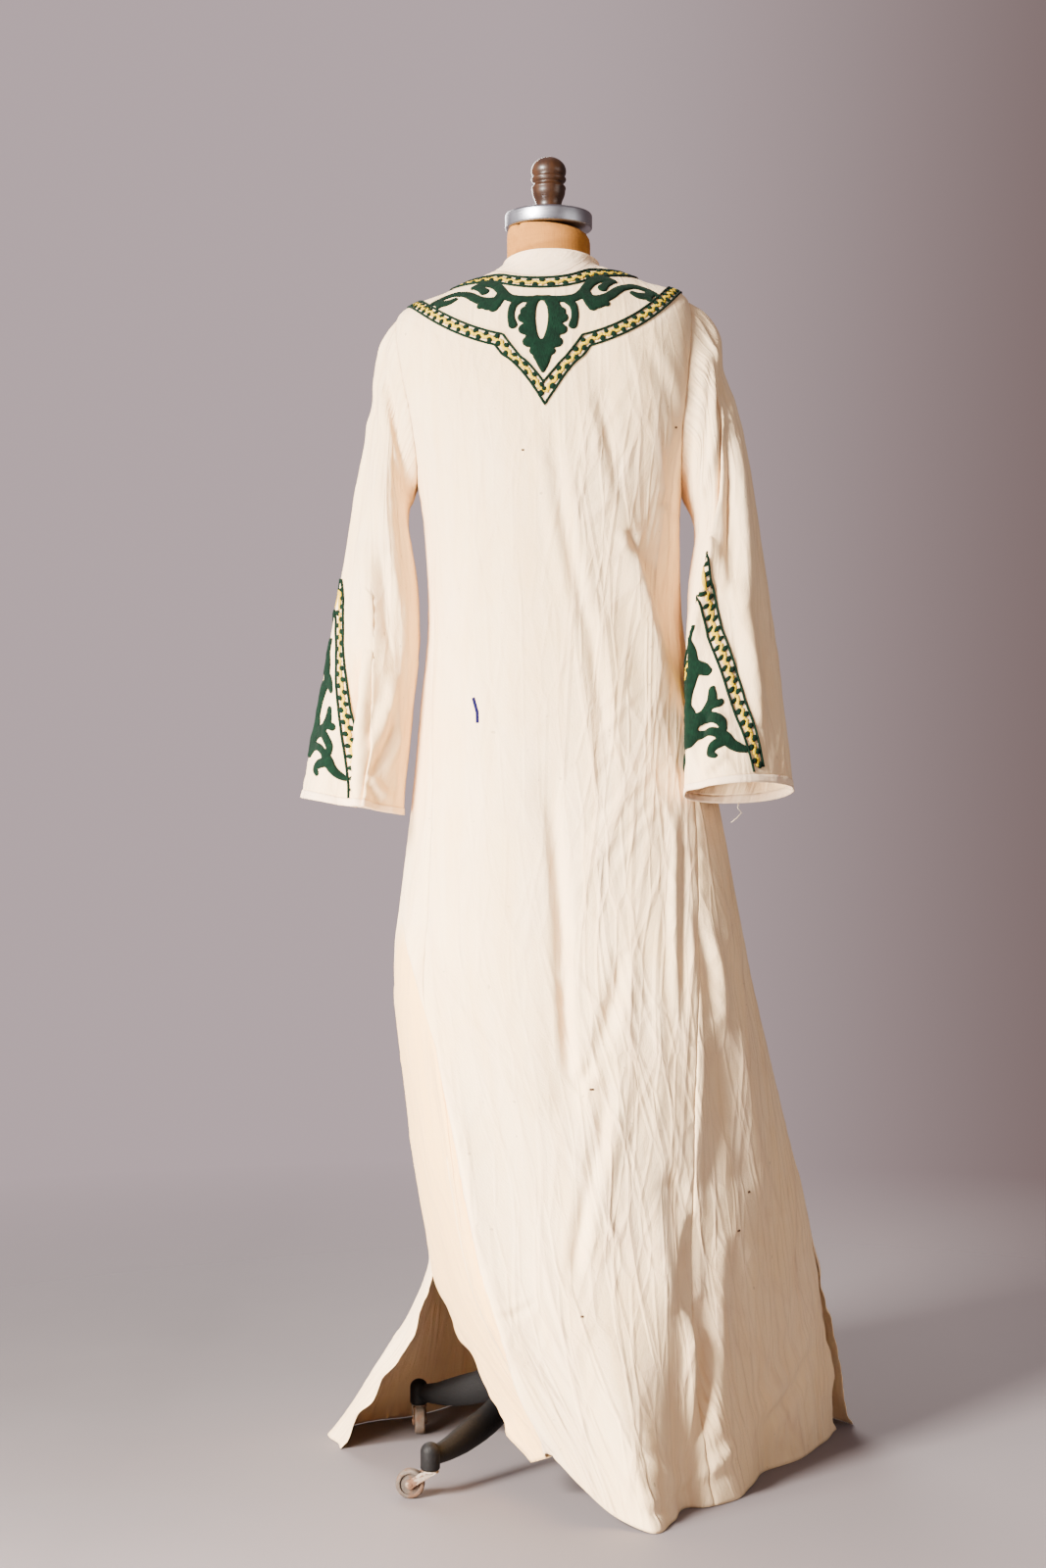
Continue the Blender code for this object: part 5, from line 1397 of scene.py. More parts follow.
def thread(name, dark, light, streaks=420.0, sheen=0.03):
    """Matt wool or cotton thread: fine streaks, small clumps and a soft sheen."""
    made, tree, shader = new_material(name, dark, 0.92)
    here = object_place(tree)
    strands = noise(tree, here, streaks, 3.0, 0.7, (1.0, 1.0, 0.45))
    clumps = noise(tree, here, 90.0, 2.0, 0.6)
    share = plus(tree, ramp(tree, strands, 0.42, 0.78, 0, 0.6), ramp(tree, clumps, 0.45, 0.75, 0, 0.4))
    tree.links.new(mixed(tree, share, dark, light), shader.inputs["Base Color"])
    height = plus(tree, strands, times(tree, clumps, 0.6))
    bumped(tree, shader, height, 0.9, 0.0014)
    settle_shader(shader, Sheen_Weight=sheen, Sheen_Roughness=0.5, Specular_IOR_Level=0.1)
    return made


GREEN_WOOL = thread("green wool", (0.0006, 0.0075, 0.0035), (0.0020, 0.0190, 0.0085))
YELLOW_THREAD = thread("yellow thread", (0.52, 0.31, 0.0), (0.82, 0.60, 0.0), 700.0)
print("threads ready")

# %% [markdown]
# ## Laying a flat design on the cloth
#
# The yoke was worked flat, as a round collar with the neck hole in its middle. A place in that flat design
# is found on the cloth by its angle round the neck and its distance down from the neckline. On a sleeve the
# design is measured from the pressed crease and up from the cuff.

# %% Design places
YOKE_RADIUS = 0.075
YOKE_MIDDLE = -0.007


def read_grid(piece, row, column):
    """Points and normals of a grid at fractional rows and columns."""
    rows, columns = piece.points.shape[:2]
    row, column = np.clip(row, 0, rows - 1.001), np.clip(column, 0, columns - 1.001)
    i, j = row.astype(int), column.astype(int)
    a, b = (row - i)[..., None], (column - j)[..., None]
    out = []
    for field in (piece.points, piece.normals):
        top = field[i, j] * (1 - b) + field[i, j + 1] * b
        low = field[i + 1, j] * (1 - b) + field[i + 1, j + 1] * b
        out.append(top * (1 - a) + low * a)
    return out


def row_of(table, column, length):
    """Fractional rows at which the columns of a grid reach a length."""
    j = np.clip(column.astype(int), 0, table.shape[1] - 2)
    share = column - j
    out = np.zeros(len(column))
    for k in np.unique(j):
        here = j == k
        rows = np.arange(table.shape[0])
        near = np.interp(length[here], table[:, k], rows)
        far = np.interp(length[here], table[:, k + 1], rows)
        out[here] = near * (1 - share[here]) + far * share[here]
    return out


def yoke_place(flat, lift):
    """Points on the shoulders for places of the flat yoke, and the way off the cloth there."""
    flat = np.asarray(flat, float)
    x, y = flat[:, 0] + YOKE_MIDDLE, flat[:, 1]
    angle = np.arctan2(x, -y)
    length = np.hypot(x, y) - YOKE_RADIUS
    back = np.abs(angle) <= math.pi / 2
    points, normals = np.zeros((len(flat), 3)), np.zeros((len(flat), 3))
    for piece, here in ((back_grid, back), (front_grid, ~back)):
        if not here.any():
            continue
        start = -math.pi / 2 if piece is back_grid else math.pi / 2
        turn = angle[here] if piece is back_grid else np.mod(angle[here], 2 * math.pi)
        column = (turn - start) / math.pi * (piece.points.shape[1] - 1)
        row = row_of(piece.down, column, np.maximum(length[here], 0.0))
        points[here], normals[here] = read_grid(piece, row, column)
    return points + normals * (CLOTH_THICKNESS / 2 + lift)[:, None], normals


def sleeve_place_maker(side, piece):
    """A function that lays places (from the crease, up from the cuff) on a sleeve."""
    centre = crease_turn(side, piece.stations)
    turns = piece.turns
    columns = np.arange(len(turns))
    crease_column = np.interp(centre, turns, columns)

    def place(flat, lift):
        flat = np.asarray(flat, float)
        middle_run = np.interp(crease_column[-1], columns, piece.down[-1]) - flat[:, 1]
        row = row_of(piece.down, np.full(len(flat), crease_column[-1]), middle_run)
        i = np.clip(row.astype(int), 0, len(centre) - 2)
        share = row - i
        column = np.zeros(len(flat))
        for k in np.unique(i):
            here = i == k
            found = []
            for r in (k, k + 1):
                run = piece.across[r]
                whole = run[-1]
                start = np.interp(crease_column[r], columns, run)
                wanted = np.mod(start + side * flat[here, 0], whole)
                found.append(np.interp(wanted, run, columns))
            near, far = found
            jump = np.abs(near - far) > len(turns) / 2
            column[here] = np.where(jump, near, near * (1 - share[here]) + far * share[here])
        points, normals = read_grid(piece, row, column)
        return points + normals * (CLOTH_THICKNESS / 2 + lift)[:, None], normals

    return place


left_place = sleeve_place_maker(-1, left_grid)
right_place = sleeve_place_maker(1, right_grid)
print("design places ready")

# %% [markdown]
# ## Scrolls
#
# A scroll design is drawn with brush strokes: each stroke is a smooth line through a few dots, each dot
# with its own half width. Strokes that touch melt into one shape. The shape is cut out of a fine flat grid,
# raised like padded stitching, and laid on the cloth.

# %% Scroll helpers


def stroke_dots(nodes, spacing=0.0016):
    """A stroke's line as close dots with radii, in metres, from nodes of x, y, half width in millimetres."""
    nodes = np.array(nodes, float) / 1000
    if len(nodes) == 1:
        return nodes
    run = run_of(nodes[:, :2])
    return through(run, nodes, np.linspace(0, run[-1], max(2, int(run[-1] / spacing) + 2)))


def melted(place, strokes, soft=0.0011):
    """Signed distance to the outline of all strokes, negative inside, with softened inner corners."""
    total = np.full(len(place), 0.02)
    for nodes in strokes:
        dots = stroke_dots(nodes)
        low = dots[:, :2].min(axis=0) - 0.02
        high = dots[:, :2].max(axis=0) + 0.02
        near = np.flatnonzero(((place > low) & (place < high)).all(axis=1))
        if not len(near):
            continue
        gap = np.linalg.norm(place[near, None] - dots[None, :, :2], axis=2) - dots[None, :, 2]
        gap = gap.min(axis=1)
        old = total[near]
        share = unit(0.5 + 0.5 * (old - gap) / soft)
        total[near] = old * (1 - share) + gap * share - soft * share * (1 - share)
    return total


def raised_shape(strokes, place, name, look, cell=0.0013, height=0.0016):
    """A padded, closed shape from strokes, laid on cloth by place."""
    dots = np.concatenate([stroke_dots(nodes) for nodes in strokes])
    low = dots[:, :2].min(axis=0) - 0.012
    high = dots[:, :2].max(axis=0) + 0.012
    xs, ys = np.arange(low[0], high[0], cell), np.arange(low[1], high[1], cell)
    grid_x, grid_y = np.meshgrid(xs, ys)
    flat = np.stack([grid_x.ravel(), grid_y.ravel()], axis=1)
    gap = melted(flat, strokes)
    inside = gap < 0
    index = np.arange(len(flat)).reshape(grid_x.shape)
    corners = np.stack([index[:-1, :-1], index[:-1, 1:], index[1:, 1:], index[1:, :-1]], -1).reshape(-1, 4)
    count_in = inside[corners].sum(axis=1)
    verts, top, edge_vertex = [], [], {}
    kept = {}

    def corner(i):
        if i not in kept:
            kept[i] = len(verts)
            verts.append(flat[i])
        return kept[i]

    def cut(i, j):
        key = (min(i, j), max(i, j))
        if key not in edge_vertex:
            share = gap[i] / (gap[i] - gap[j])
            edge_vertex[key] = len(verts)
            verts.append(flat[i] * (1 - share) + flat[j] * share)
        return edge_vertex[key]

    for quad, number in zip(corners[count_in > 0], count_in[count_in > 0]):
        if number == 4:
            top.append([corner(i) for i in quad])
            continue
        loop = []
        for k in range(4):
            i, j = quad[k], quad[(k + 1) % 4]
            if inside[i]:
                loop.append(corner(i))
            if inside[i] != inside[j]:
                loop.append(cut(i, j))
        if len(loop) >= 3:
            top.append(loop)
    verts = np.array(verts)
    depth = -melted(verts, strokes)
    rise = height * np.sqrt(unit(depth / (2.2 * height)) * (2 - unit(depth / (2.2 * height))))
    upper_points, _ = place(verts, 0.0009 + rise)
    lower_points, _ = place(verts, np.full(len(verts), -0.0004))
    count = len(verts)
    edges = {}
    for loop in top:
        for k in range(len(loop)):
            edges[(loop[k], loop[(k + 1) % len(loop)])] = True
    faces = [tuple(loop) for loop in top] + [tuple(i + count for i in reversed(loop)) for loop in top]
    for i, j in edges:
        if (j, i) not in edges:
            faces.append((j, i, i + count, j + count))
    shape = Gathered()
    shape.add(np.concatenate([upper_points, lower_points]), faces)
    return shape.made(name, look)


print("scroll helpers ready")

# %% [markdown]
# ## Borders
#
# A border is a band 19 mm wide over its cords: a green cord along each side, green knots that sit inside
# each cord in turn, and a yellow chain that zigzags between them over the cream cloth.

# %% Border helper
BAND_HALF, CORD_RADIUS, KNOT_RADIUS, KNOT_PITCH = 0.0078, 0.0017, 0.0038, 0.0155


def dome(centre, radius, place, tall=0.0024):
    """A round padded knot at a flat place."""
    rings = [(1.0, -0.0004), (1.0, 0.0010), (0.86, tall * 0.8), (0.5, tall)]
    turn = np.arange(10) * 2 * math.pi / 10
    flat, lift = [], []
    for share, up in rings:
        wide = radius * share
        flat += [(centre[0] + wide * math.cos(t), centre[1] + wide * math.sin(t)) for t in turn]
        lift += [up] * 10
    flat.append(centre)
    lift.append(tall * 1.08)
    points, _ = place(np.array(flat), np.array(lift))
    faces = [tuple(reversed(range(10)))]
    for r in (0, 10, 20):
        for k in range(10):
            m = (k + 1) % 10
            faces.append((r + k, r + m, r + 10 + m, r + 10 + k))
    faces += [(30 + k, 30 + (k + 1) % 10, 40) for k in range(10)]
    return points, faces


def resampled(line, spacing):
    """A line of flat places made again with even spacing."""
    line = np.asarray(line, float)
    run = run_of(line)
    count = max(2, int(round(run[-1] / spacing)) + 1)
    at = np.linspace(0, run[-1], count)
    return np.stack([np.interp(at, run, line[:, 0]), np.interp(at, run, line[:, 1])], axis=1)


def beside_line(line, aside):
    """A line moved sideways, mitred at its corners."""
    ahead = np.diff(line, axis=0)
    ahead /= np.linalg.norm(ahead, axis=1, keepdims=True)
    normal = np.stack([-ahead[:, 1], ahead[:, 0]], axis=1)
    first = np.vstack([normal[:1], normal])
    second = np.vstack([normal, normal[-1:]])
    middle = first + second
    middle /= np.linalg.norm(middle, axis=1, keepdims=True)
    stretch = 1 / np.maximum((middle * first).sum(axis=1, keepdims=True), 0.35)
    return line + aside * middle * stretch


def border(line, place, green, yellow, half=BAND_HALF, seed=0):
    """Lays a border along a flat line: cords and knots into green, the chain into yellow."""
    draw = np.random.default_rng(seed)
    line = np.asarray(line, float)
    for aside in (-half, half):
        edge = resampled(beside_line(line, aside), 0.0028)
        points, ups = place(edge, np.full(len(edge), 0.0010))
        green.add(*swept(points, ups, CORD_RADIUS, 6))
    fine = resampled(line, 0.0005)
    run = run_of(fine)
    number = int(run[-1] / (KNOT_PITCH / 2))
    inset = half - CORD_RADIUS - KNOT_RADIUS * 0.75
    half_lines = {side: beside_line(fine, side * inset) for side in (-1, 1)}
    zigzag, side = [], 1
    for k in range(number):
        at = (k + 0.5) * KNOT_PITCH / 2 + draw.uniform(-0.0006, 0.0006)
        i = int(np.searchsorted(run, at))
        if i >= len(fine):
            break
        centre = half_lines[side][i]
        green.add(*dome(tuple(centre), KNOT_RADIUS * draw.uniform(0.85, 1.08), place))
        zigzag.append(fine[i] * 0.45 + half_lines[-side][i] * 0.55)
        side = -side
    chain = resampled(np.array(zigzag), 0.0012)
    draw_width = 0.0024 + 0.0008 * np.sin(np.arange(len(chain)) * 1.9)
    points, ups = place(chain, np.full(len(chain), 0.0008))
    yellow.add(*swept(points, ups, draw_width, 6, 0.45))
    dots = np.arange(len(chain))
    second = chain + 0.0016 * np.stack([np.sin(dots * 0.9), np.cos(dots * 1.1)], 1)
    points, ups = place(second, np.full(len(second), 0.0009))
    yellow.add(*swept(points, ups, 0.0014, 5, 0.5))


print("border helper ready")

# %% [markdown]
# ## The yoke
#
# The yoke is a ring border round the shoulders with a pointed V at the middle of the back, a second border
# nearer the neck, and mirrored scrolls between the two: a pair of lobed leaves round an almond-shaped gap,
# hooks beside them, and curling sprays that run out over the shoulders.

# %% Yoke
RING_RADIUS, V_HALF, V_DEPTH = 0.1775, 0.0475, 0.2415
INNER_BACK, INNER_SIDE, INNER_FRONT = 0.0870, 0.1190, 0.1020

YOKE_SCROLLS = (
    # strokes of x, y, half width in millimetres, for one half; the other is its mirror
    ((5, -113, 4.5), (10, -122, 6.0), (13, -136, 7.5), (12, -152, 7.0), (9, -168, 6.5), (5, -178, 6.0)),
    ((17, -133, 6.5),),
    ((19, -142, 7.0),),
    ((17, -158, 7.5),),
    ((12, -175, 7.5),),
    ((0, -178, 7.0), (0, -190, 8.6), (0, -200, 7.0), (0, -208, 4.6), (0, -213, 2.6)),
    ((6, -187, 6.0),),
    ((2, -113, 4.2), (12, -114.5, 5.0), (24, -114, 5.4), (36, -111, 6.0), (45, -103, 6.6), (51, -93, 6.6),
     (58, -83, 6.6), (68, -75, 6.6), (79, -71, 6.0), (89, -73, 4.4)),
    ((24, -115, 5.4), (31, -122, 5.2), (34, -134, 4.6), (33, -145, 4.8), (31, -152, 5.4)),
    ((48, -101, 7.0), (51, -110, 7.6), (55, -119, 7.8)),
    ((57, -124, 6.6),),
    ((64, -120, 6.8), (71, -115, 6.8)),
    ((75, -117, 5.2),),
    ((53, -113, 6.5), (65, -112, 6.6), (76, -107, 6.6), (85, -99, 6.4), (92, -91, 6.0), (99, -84, 5.4),
     (106, -79, 5.0)),
    ((83, -77, 5.0), (77, -84, 5.0), (72, -91, 6.4)),
    ((106, -79, 5.0), (115, -73, 5.2), (127, -72, 5.6), (138, -77, 5.4), (147, -84, 4.0), (153, -91, 2.4)),
    ((138, -80, 5.6), (132, -89, 7.0), (122, -92, 6.6), (113, -89, 4.0)),
    ((134, -96, 4.4),),
)


def mirrored(strokes):
    """The strokes and their mirror images."""
    other = [tuple((-x, y, r) for x, y, r in nodes) for nodes in strokes]
    return list(strokes) + [nodes for nodes in other if any(x != 0 for x, _, _ in nodes)]


def ring_line(radius, start, end, step=0.03):
    """Flat places on a ring round the neck, angles from centre back."""
    angles = np.linspace(start, end, max(3, int(abs(end - start) / step)))
    wanted = radius(angles) if callable(radius) else np.full(len(angles), radius)
    return np.stack([wanted * np.sin(angles), -wanted * np.cos(angles)], axis=1)


def inner_radius(angle):
    """Distance of the inner border from the neck's middle at an angle from centre back."""
    around = np.abs(angle)
    out = unit((around - 0.65) / 0.9)
    back = INNER_BACK + (INNER_SIDE - INNER_BACK) * out * out * (3 - 2 * out)
    ahead = unit((around - 1.7) / 1.3)
    return back + (INNER_FRONT - INNER_SIDE) * ahead * ahead * (3 - 2 * ahead)


corner_angle = math.asin(V_HALF / RING_RADIUS)
front_end = math.pi - 0.035
green_work, yellow_work = Gathered(), Gathered()
right_arc = ring_line(RING_RADIUS, corner_angle, front_end)
left_arc = ring_line(RING_RADIUS, -corner_angle, -front_end)
whole_ring = np.vstack([left_arc[::-1], [[0.0, -V_DEPTH]], right_arc])
border(whole_ring, yoke_place, green_work, yellow_work, seed=3)
inner_ring = ring_line(inner_radius, -front_end, front_end)
border(inner_ring, yoke_place, green_work, yellow_work, seed=4)
raised_shape(mirrored(YOKE_SCROLLS), yoke_place, "yoke_scrolls", GREEN_WOOL)
for end in (-1, 1):
    close = np.array([[end * 0.006, INNER_FRONT - 0.004], [end * 0.006, RING_RADIUS + 0.004]])
    border(close, yoke_place, green_work, yellow_work, half=0.0045, seed=5)

# %% [markdown]
# ## The sleeves' triangles
#
# Each sleeve carries a tall pointed triangle with its base at the cuff, half to each side of the pressed
# crease. Its sides are the same border, and a branching scroll climbs its middle.

# %% Sleeve triangles
TRIANGLE_HALF, TRIANGLE_BASE, TRIANGLE_TOP = 0.100, 0.0125, 0.272

SLEEVE_SCROLLS = (
    ((3, 206, 1.6), (2, 190, 2.4), (5, 174, 4.4), (6, 162, 5.4)),
    ((8, 158, 6.5), (16, 151, 7.2), (24, 144, 4.4)),
    ((8, 152, 6.5), (4, 136, 6.5), (2, 120, 5.2), (2, 106, 4.6)),
    ((2, 106, 4.6), (6, 92, 7.6), (6, 76, 8.0), (2, 62, 6.4)),
    ((10, 84, 8.0), (22, 91, 7.6), (31, 105, 6.4), (30, 120, 4.0)),
    ((29, 100, 5.6), (41, 99, 5.2)),
    ((20, 90, 7.6), (36, 82, 6.0), (44, 74, 5.6), (47, 65, 3.6)),
    ((2, 58, 6.0), (10, 66, 5.6), (24, 68, 5.0), (38, 63, 5.6), (48, 55, 6.6), (57, 45, 6.0), (67, 39, 5.0),
     (75, 36, 3.4)),
    ((45, 51, 6.6), (35, 47, 6.4), (31, 40, 4.8), (37, 34, 3.2)),
)

for side, place, label in ((-1, left_place, "left"), (1, right_place, "right")):
    for half in (-1, 1):
        base = half * (TRIANGLE_HALF - 0.006)
        line = np.array([[base, TRIANGLE_BASE + 0.001], [half * 0.0068, TRIANGLE_TOP - 0.026]])
        border(resampled(line, 0.01), place, green_work, yellow_work, seed=20 + side + 2 * half)
    for half in (-1, 1):
        line = np.array([[half * 0.0146, TRIANGLE_TOP - 0.027], [half * 0.0006, TRIANGLE_TOP + 0.012]])
        edge = resampled(line, 0.0028)
        points, ups = place(edge, np.full(len(edge), 0.0010))
        green_work.add(*swept(points, ups, CORD_RADIUS, 6))
        for x, z, wide in ((0.0098, -0.021, 0.0034), (0.0066, -0.011, 0.0030), (0.0032, -0.001, 0.0026)):
            green_work.add(*dome((half * x, TRIANGLE_TOP + z), wide, place))
        line = np.array([[half * 0.0064, TRIANGLE_TOP - 0.026], [half * 0.0014, TRIANGLE_TOP - 0.002]])
        stem = resampled(line, 0.0012)
        points, ups = place(stem, np.full(len(stem), 0.0008))
        yellow_work.add(*swept(points, ups, 0.0026, 6, 0.45))
    raised_shape(mirrored(SLEEVE_SCROLLS), place, f"sleeve_scrolls_{label}", GREEN_WOOL)

green_work.made("border_cords_and_knots", GREEN_WOOL)
yellow_work.made("border_yellow_chain", YELLOW_THREAD)

# %% [markdown]
# ## Marks of use
#
# An old dress has small marks: a stroke of ink on the back, a few dark flecks, and one loose thread at the
# right cuff. Each is a thin, flat stroke laid on the cloth.

# %% Marks
INK = thread("ink", (0.004, 0.002, 0.035), (0.010, 0.006, 0.07))
FLECK = thread("brown fleck", (0.05, 0.026, 0.014), (0.12, 0.065, 0.035))
LOOSE = thread("loose cotton thread", (0.72, 0.58, 0.42), (0.80, 0.68, 0.52))


def spot(piece, x, z, near_side=-1):
    """The point and the normal of a piece nearest a place seen square from behind, or from in front."""
    gap = (piece.points[..., 0] - POLE[0] - x) ** 2 + (piece.points[..., 2] - z) ** 2
    gap = np.where(piece.normals[..., 1] * near_side > 0.2, gap, 9.0)
    i = np.unravel_index(np.argmin(gap), gap.shape)
    return piece.points[i], piece.normals[i]


def mark(name, look, lines, piece, width):
    """Flat strokes on a piece."""
    gathered = Gathered()
    for line in lines:
        points, ups = (np.array(column) for column in zip(*(spot(piece, x, z) for x, z in line)))
        gathered.add(*swept(points + ups * CLOTH_THICKNESS * 0.6, ups, width, 6, 0.35))
    return gathered.made(name, look)


INK_STROKE = ((-0.0945, 0.9655), (-0.0915, 0.958), (-0.0895, 0.948), (-0.0880, 0.9365))
FLECKS = ((-0.036, 1.271), (0.156, 1.307), (0.048, 0.492), (0.035, 0.232))
GORE_FLECKS = ((0.245, 0.353), (0.230, 0.309))
INK_WIDTH, FLECK_WIDTH, FLECK_LONG, FLECK_TILT, THREAD_RADIUS = 0.0022, 0.0013, 0.0032, 0.001, 0.0006
mark("ink_mark", INK, [INK_STROKE], back_grid, INK_WIDTH)
lines = [((x, z), (x + FLECK_LONG, z + FLECK_TILT)) for x, z in FLECKS]
mark("flecks", FLECK, lines, back_grid, FLECK_WIDTH)
lines = [((x, z), (x + FLECK_LONG, z - FLECK_TILT)) for x, z in GORE_FLECKS]
mark("gore_flecks", FLECK, lines, gore_cloths[1][1], FLECK_WIDTH)
start, _ = spot(right_grid, 0.241, 0.80, 1)
drop = np.array(metres(((0, 0, 2), (-2, 0, -6), (3, -1, -12), (-3, 1, -19), (-10, 1, -24))))
loose = Gathered()
loose.add(*swept(start + drop, np.tile((0.0, 1.0, 0.0), (5, 1)), THREAD_RADIUS, 5))
loose.made("loose_thread", LOOSE)
print("marks added")

# %% [markdown]
# ## Cut sizes
#
# The sizes of each piece are read off it as it is made and printed, because no pattern came first: the
# widest width round a piece, the length down its middle, and its area. The panels run in one length from
# the shoulder to the floor, the gores are long wedges, and a sleeve widens from the armhole to the cuff.

# %% [markdown]
# ## Hard finishes
#
# The dress form's neck is tan linen, its cap brushed steel, and its finial turned and varnished wood. The
# base is black cast iron that has worn at its edges, and the casters are pressed steel that has rusted
# under old paint.

# %% Wear group


def wear_group():
    """Edge wear and rust: a mask of worn edges and a mask of rusty patches, both from 0 to 1."""
    group, inside, outside = new_group("wear and rust", ("Amount",), ("Edges", "Rust"))
    here = object_place(group)
    sharp = node(group, "ShaderNodeNewGeometry").outputs["Pointiness"]
    broken = noise(group, here, 160.0, 4.0, 0.65)
    edge = times(group, ramp(group, sharp, 0.51, 0.60), ramp(group, broken, 0.35, 0.6))
    patches = plus(group, noise(group, here, 38.0, 6.0, 0.68), times(group, edge, 0.15))
    threshold = math_node(group, "SUBTRACT", 0.78, times(group, inside.outputs[0], 0.45))
    rust = times(group, math_node(group, "SUBTRACT", patches, threshold), 9.0)
    group.links.new(edge, outside.inputs[0])
    group.links.new(ramp(group, rust, 0, 1), outside.inputs[1])
    return group


WEAR = wear_group()


def metal(name, colour, bare, rust, roughness, metallic, amount, pits=0.5):
    """Worn, pitted metal or paint over metal, with rust."""
    made, tree, shader = new_material(name, colour, roughness, metallic)
    wear_and_crease_shade = tree.nodes.new("ShaderNodeGroup")
    wear_and_crease_shade.node_tree = WEAR
    wear_and_crease_shade.inputs[0].default_value = amount
    here = object_place(tree)
    clouds = noise(tree, here, 55.0, 4.0, 0.6)
    shade = mixed(tree, clouds, tuple(c * 0.75 for c in colour), tuple(c * 1.3 for c in colour))
    shade = mixed(tree, wear_and_crease_shade.outputs[0], shade, bare)
    rust_shade = mixed(tree, noise(tree, here, 210.0, 3.0, 0.6), rust, tuple(c * 2.0 for c in rust))
    shade = mixed(tree, wear_and_crease_shade.outputs[1], shade, rust_shade)
    tree.links.new(shade, shader.inputs["Base Color"])
    rough = plus(tree, times(tree, wear_and_crease_shade.outputs[1], 0.3), roughness)
    tree.links.new(rough, shader.inputs["Roughness"])
    grain = plus(tree, noise(tree, here, 420.0, 4.0, 0.6), times(tree, wear_and_crease_shade.outputs[1], 0.4))
    bumped(tree, shader, grain, pits, 0.0008)
    return made


IRON_SHADES = ((0.0045, 0.0042, 0.0046), (0.016, 0.014, 0.0135), (0.014, 0.007, 0.005))
RUSTY_SHADES = ((0.24, 0.19, 0.145), (0.25, 0.20, 0.15), (0.075, 0.035, 0.018))
TREAD_SHADES = ((0.055, 0.040, 0.030), (0.18, 0.14, 0.11), (0.06, 0.030, 0.016))
IRON = metal("black cast iron", *IRON_SHADES, 0.56, 0.2, 0.22, 1.0)
settle_shader(IRON.node_tree.nodes["Principled BSDF"], Specular_IOR_Level=0.2)
RUSTY = metal("rusty painted steel", *RUSTY_SHADES, 0.60, 0.2, 0.75, 0.9)
TREAD = metal("worn wheel", *TREAD_SHADES, 0.65, 0.2, 0.6, 0.9)
print("metals ready")

# %% [markdown]
# The cap, the finial and the linen have a recipe of their own each: streaks round the steel, grain up the
# wood, and warp and weft in the linen.

# %% Steel, wood and linen


def brushed_steel():
    """Steel brushed round its axis: fine level streaks in roughness and bump."""
    made, tree, shader = new_material("brushed steel", (0.58, 0.57, 0.565), 0.33, 1.0)
    here = object_place(tree)
    streaks = noise(tree, here, 26.0, 4.0, 0.7, (1.0, 1.0, 70.0))
    smudges = noise(tree, here, 34.0, 4.0, 0.6)
    rough = plus(tree, ramp(tree, streaks, 0.3, 0.7, 0.24, 0.38), ramp(tree, smudges, 0.45, 0.75, 0, 0.12))
    tree.links.new(rough, shader.inputs["Roughness"])
    tree.links.new(mixed(tree, smudges, (0.36, 0.37, 0.42), (0.27, 0.275, 0.31)), shader.inputs["Base Color"])
    bumped(tree, shader, streaks, 0.12, 0.0003)
    settle_shader(shader, Anisotropic=0.5)
    return made


def walnut():
    """Dark varnished wood: long grain up the axis under a clear coat."""
    made, tree, shader = new_material("dark walnut", (0.08, 0.035, 0.02), 0.42)
    here = object_place(tree)
    grain = noise(tree, here, 190.0, 5.0, 0.6, (1.0, 1.0, 0.09))
    broad = noise(tree, here, 48.0, 3.0, 0.5, (1.0, 1.0, 0.25))
    tone = mixed(tree, ramp(tree, broad, 0.3, 0.7), (0.052, 0.020, 0.007), (0.022, 0.008, 0.003))
    tone = mixed(tree, ramp(tree, grain, 0.42, 0.7, 0, 0.65), tone, (0.010, 0.004, 0.002))
    tree.links.new(tone, shader.inputs["Base Color"])
    bumped(tree, shader, grain, 0.12, 0.0005)
    settle_shader(shader, Coat_Weight=0.3, Coat_Roughness=0.25, Specular_IOR_Level=0.3)
    return made


def linen():
    """Tan linen of the form's body: warp and weft streaks in its object place, a little soiled."""
    made, tree, shader = new_material("form linen", (0.62, 0.40, 0.22), 0.9)
    here = object_place(tree)
    warp = noise(tree, here, 700.0, 3.0, 0.6, (1.0, 1.0, 0.05))
    weft = noise(tree, here, 700.0, 3.0, 0.6, (0.05, 0.05, 1.0))
    soil = noise(tree, here, 14.0, 5.0, 0.6)
    tone = mixed(tree, ramp(tree, soil, 0.35, 0.72), (0.455, 0.19, 0.032), (0.32, 0.122, 0.019))
    threads = plus(tree, ramp(tree, warp, 0.35, 0.7, 0, 0.5), ramp(tree, weft, 0.35, 0.7, 0, 0.5))
    tone = mixed(tree, times(tree, threads, 0.45), tone, (0.25, 0.105, 0.032))
    blotches = ramp(tree, noise(tree, here, 60.0, 4.0, 0.65), 0.48, 0.72, 0.0, 0.55)
    tone = mixed(tree, blotches, tone, (0.24, 0.095, 0.018))
    tree.links.new(tone, shader.inputs["Base Color"])
    bumped(tree, shader, threads, 0.45, 0.0006)
    settle_shader(shader, Specular_IOR_Level=0.2)
    return made


STEEL, WALNUT, LINEN = brushed_steel(), walnut(), linen()
print("steel, walnut and linen ready")

# %% [markdown]
# ## Turning
#
# The finial, the cap, the hub and the pole are round about one axis, as from a lathe. By hand this is done
# with a disc that is extruded and resized, ring by ring, up its axis, so one helper does it for a list of
# radii and heights.

# %% Turning helper


def start_editing():
    """Edits the active object, with all of it selected."""
    bpy.ops.object.mode_set(mode="EDIT")
    bpy.ops.mesh.select_all(action="SELECT")


def end_editing():
    """Turns all faces outwards and leaves the object's editing."""
    bpy.ops.mesh.select_all(action="SELECT")
    bpy.ops.mesh.normals_make_consistent(inside=False)
    bpy.ops.object.mode_set(mode="OBJECT")


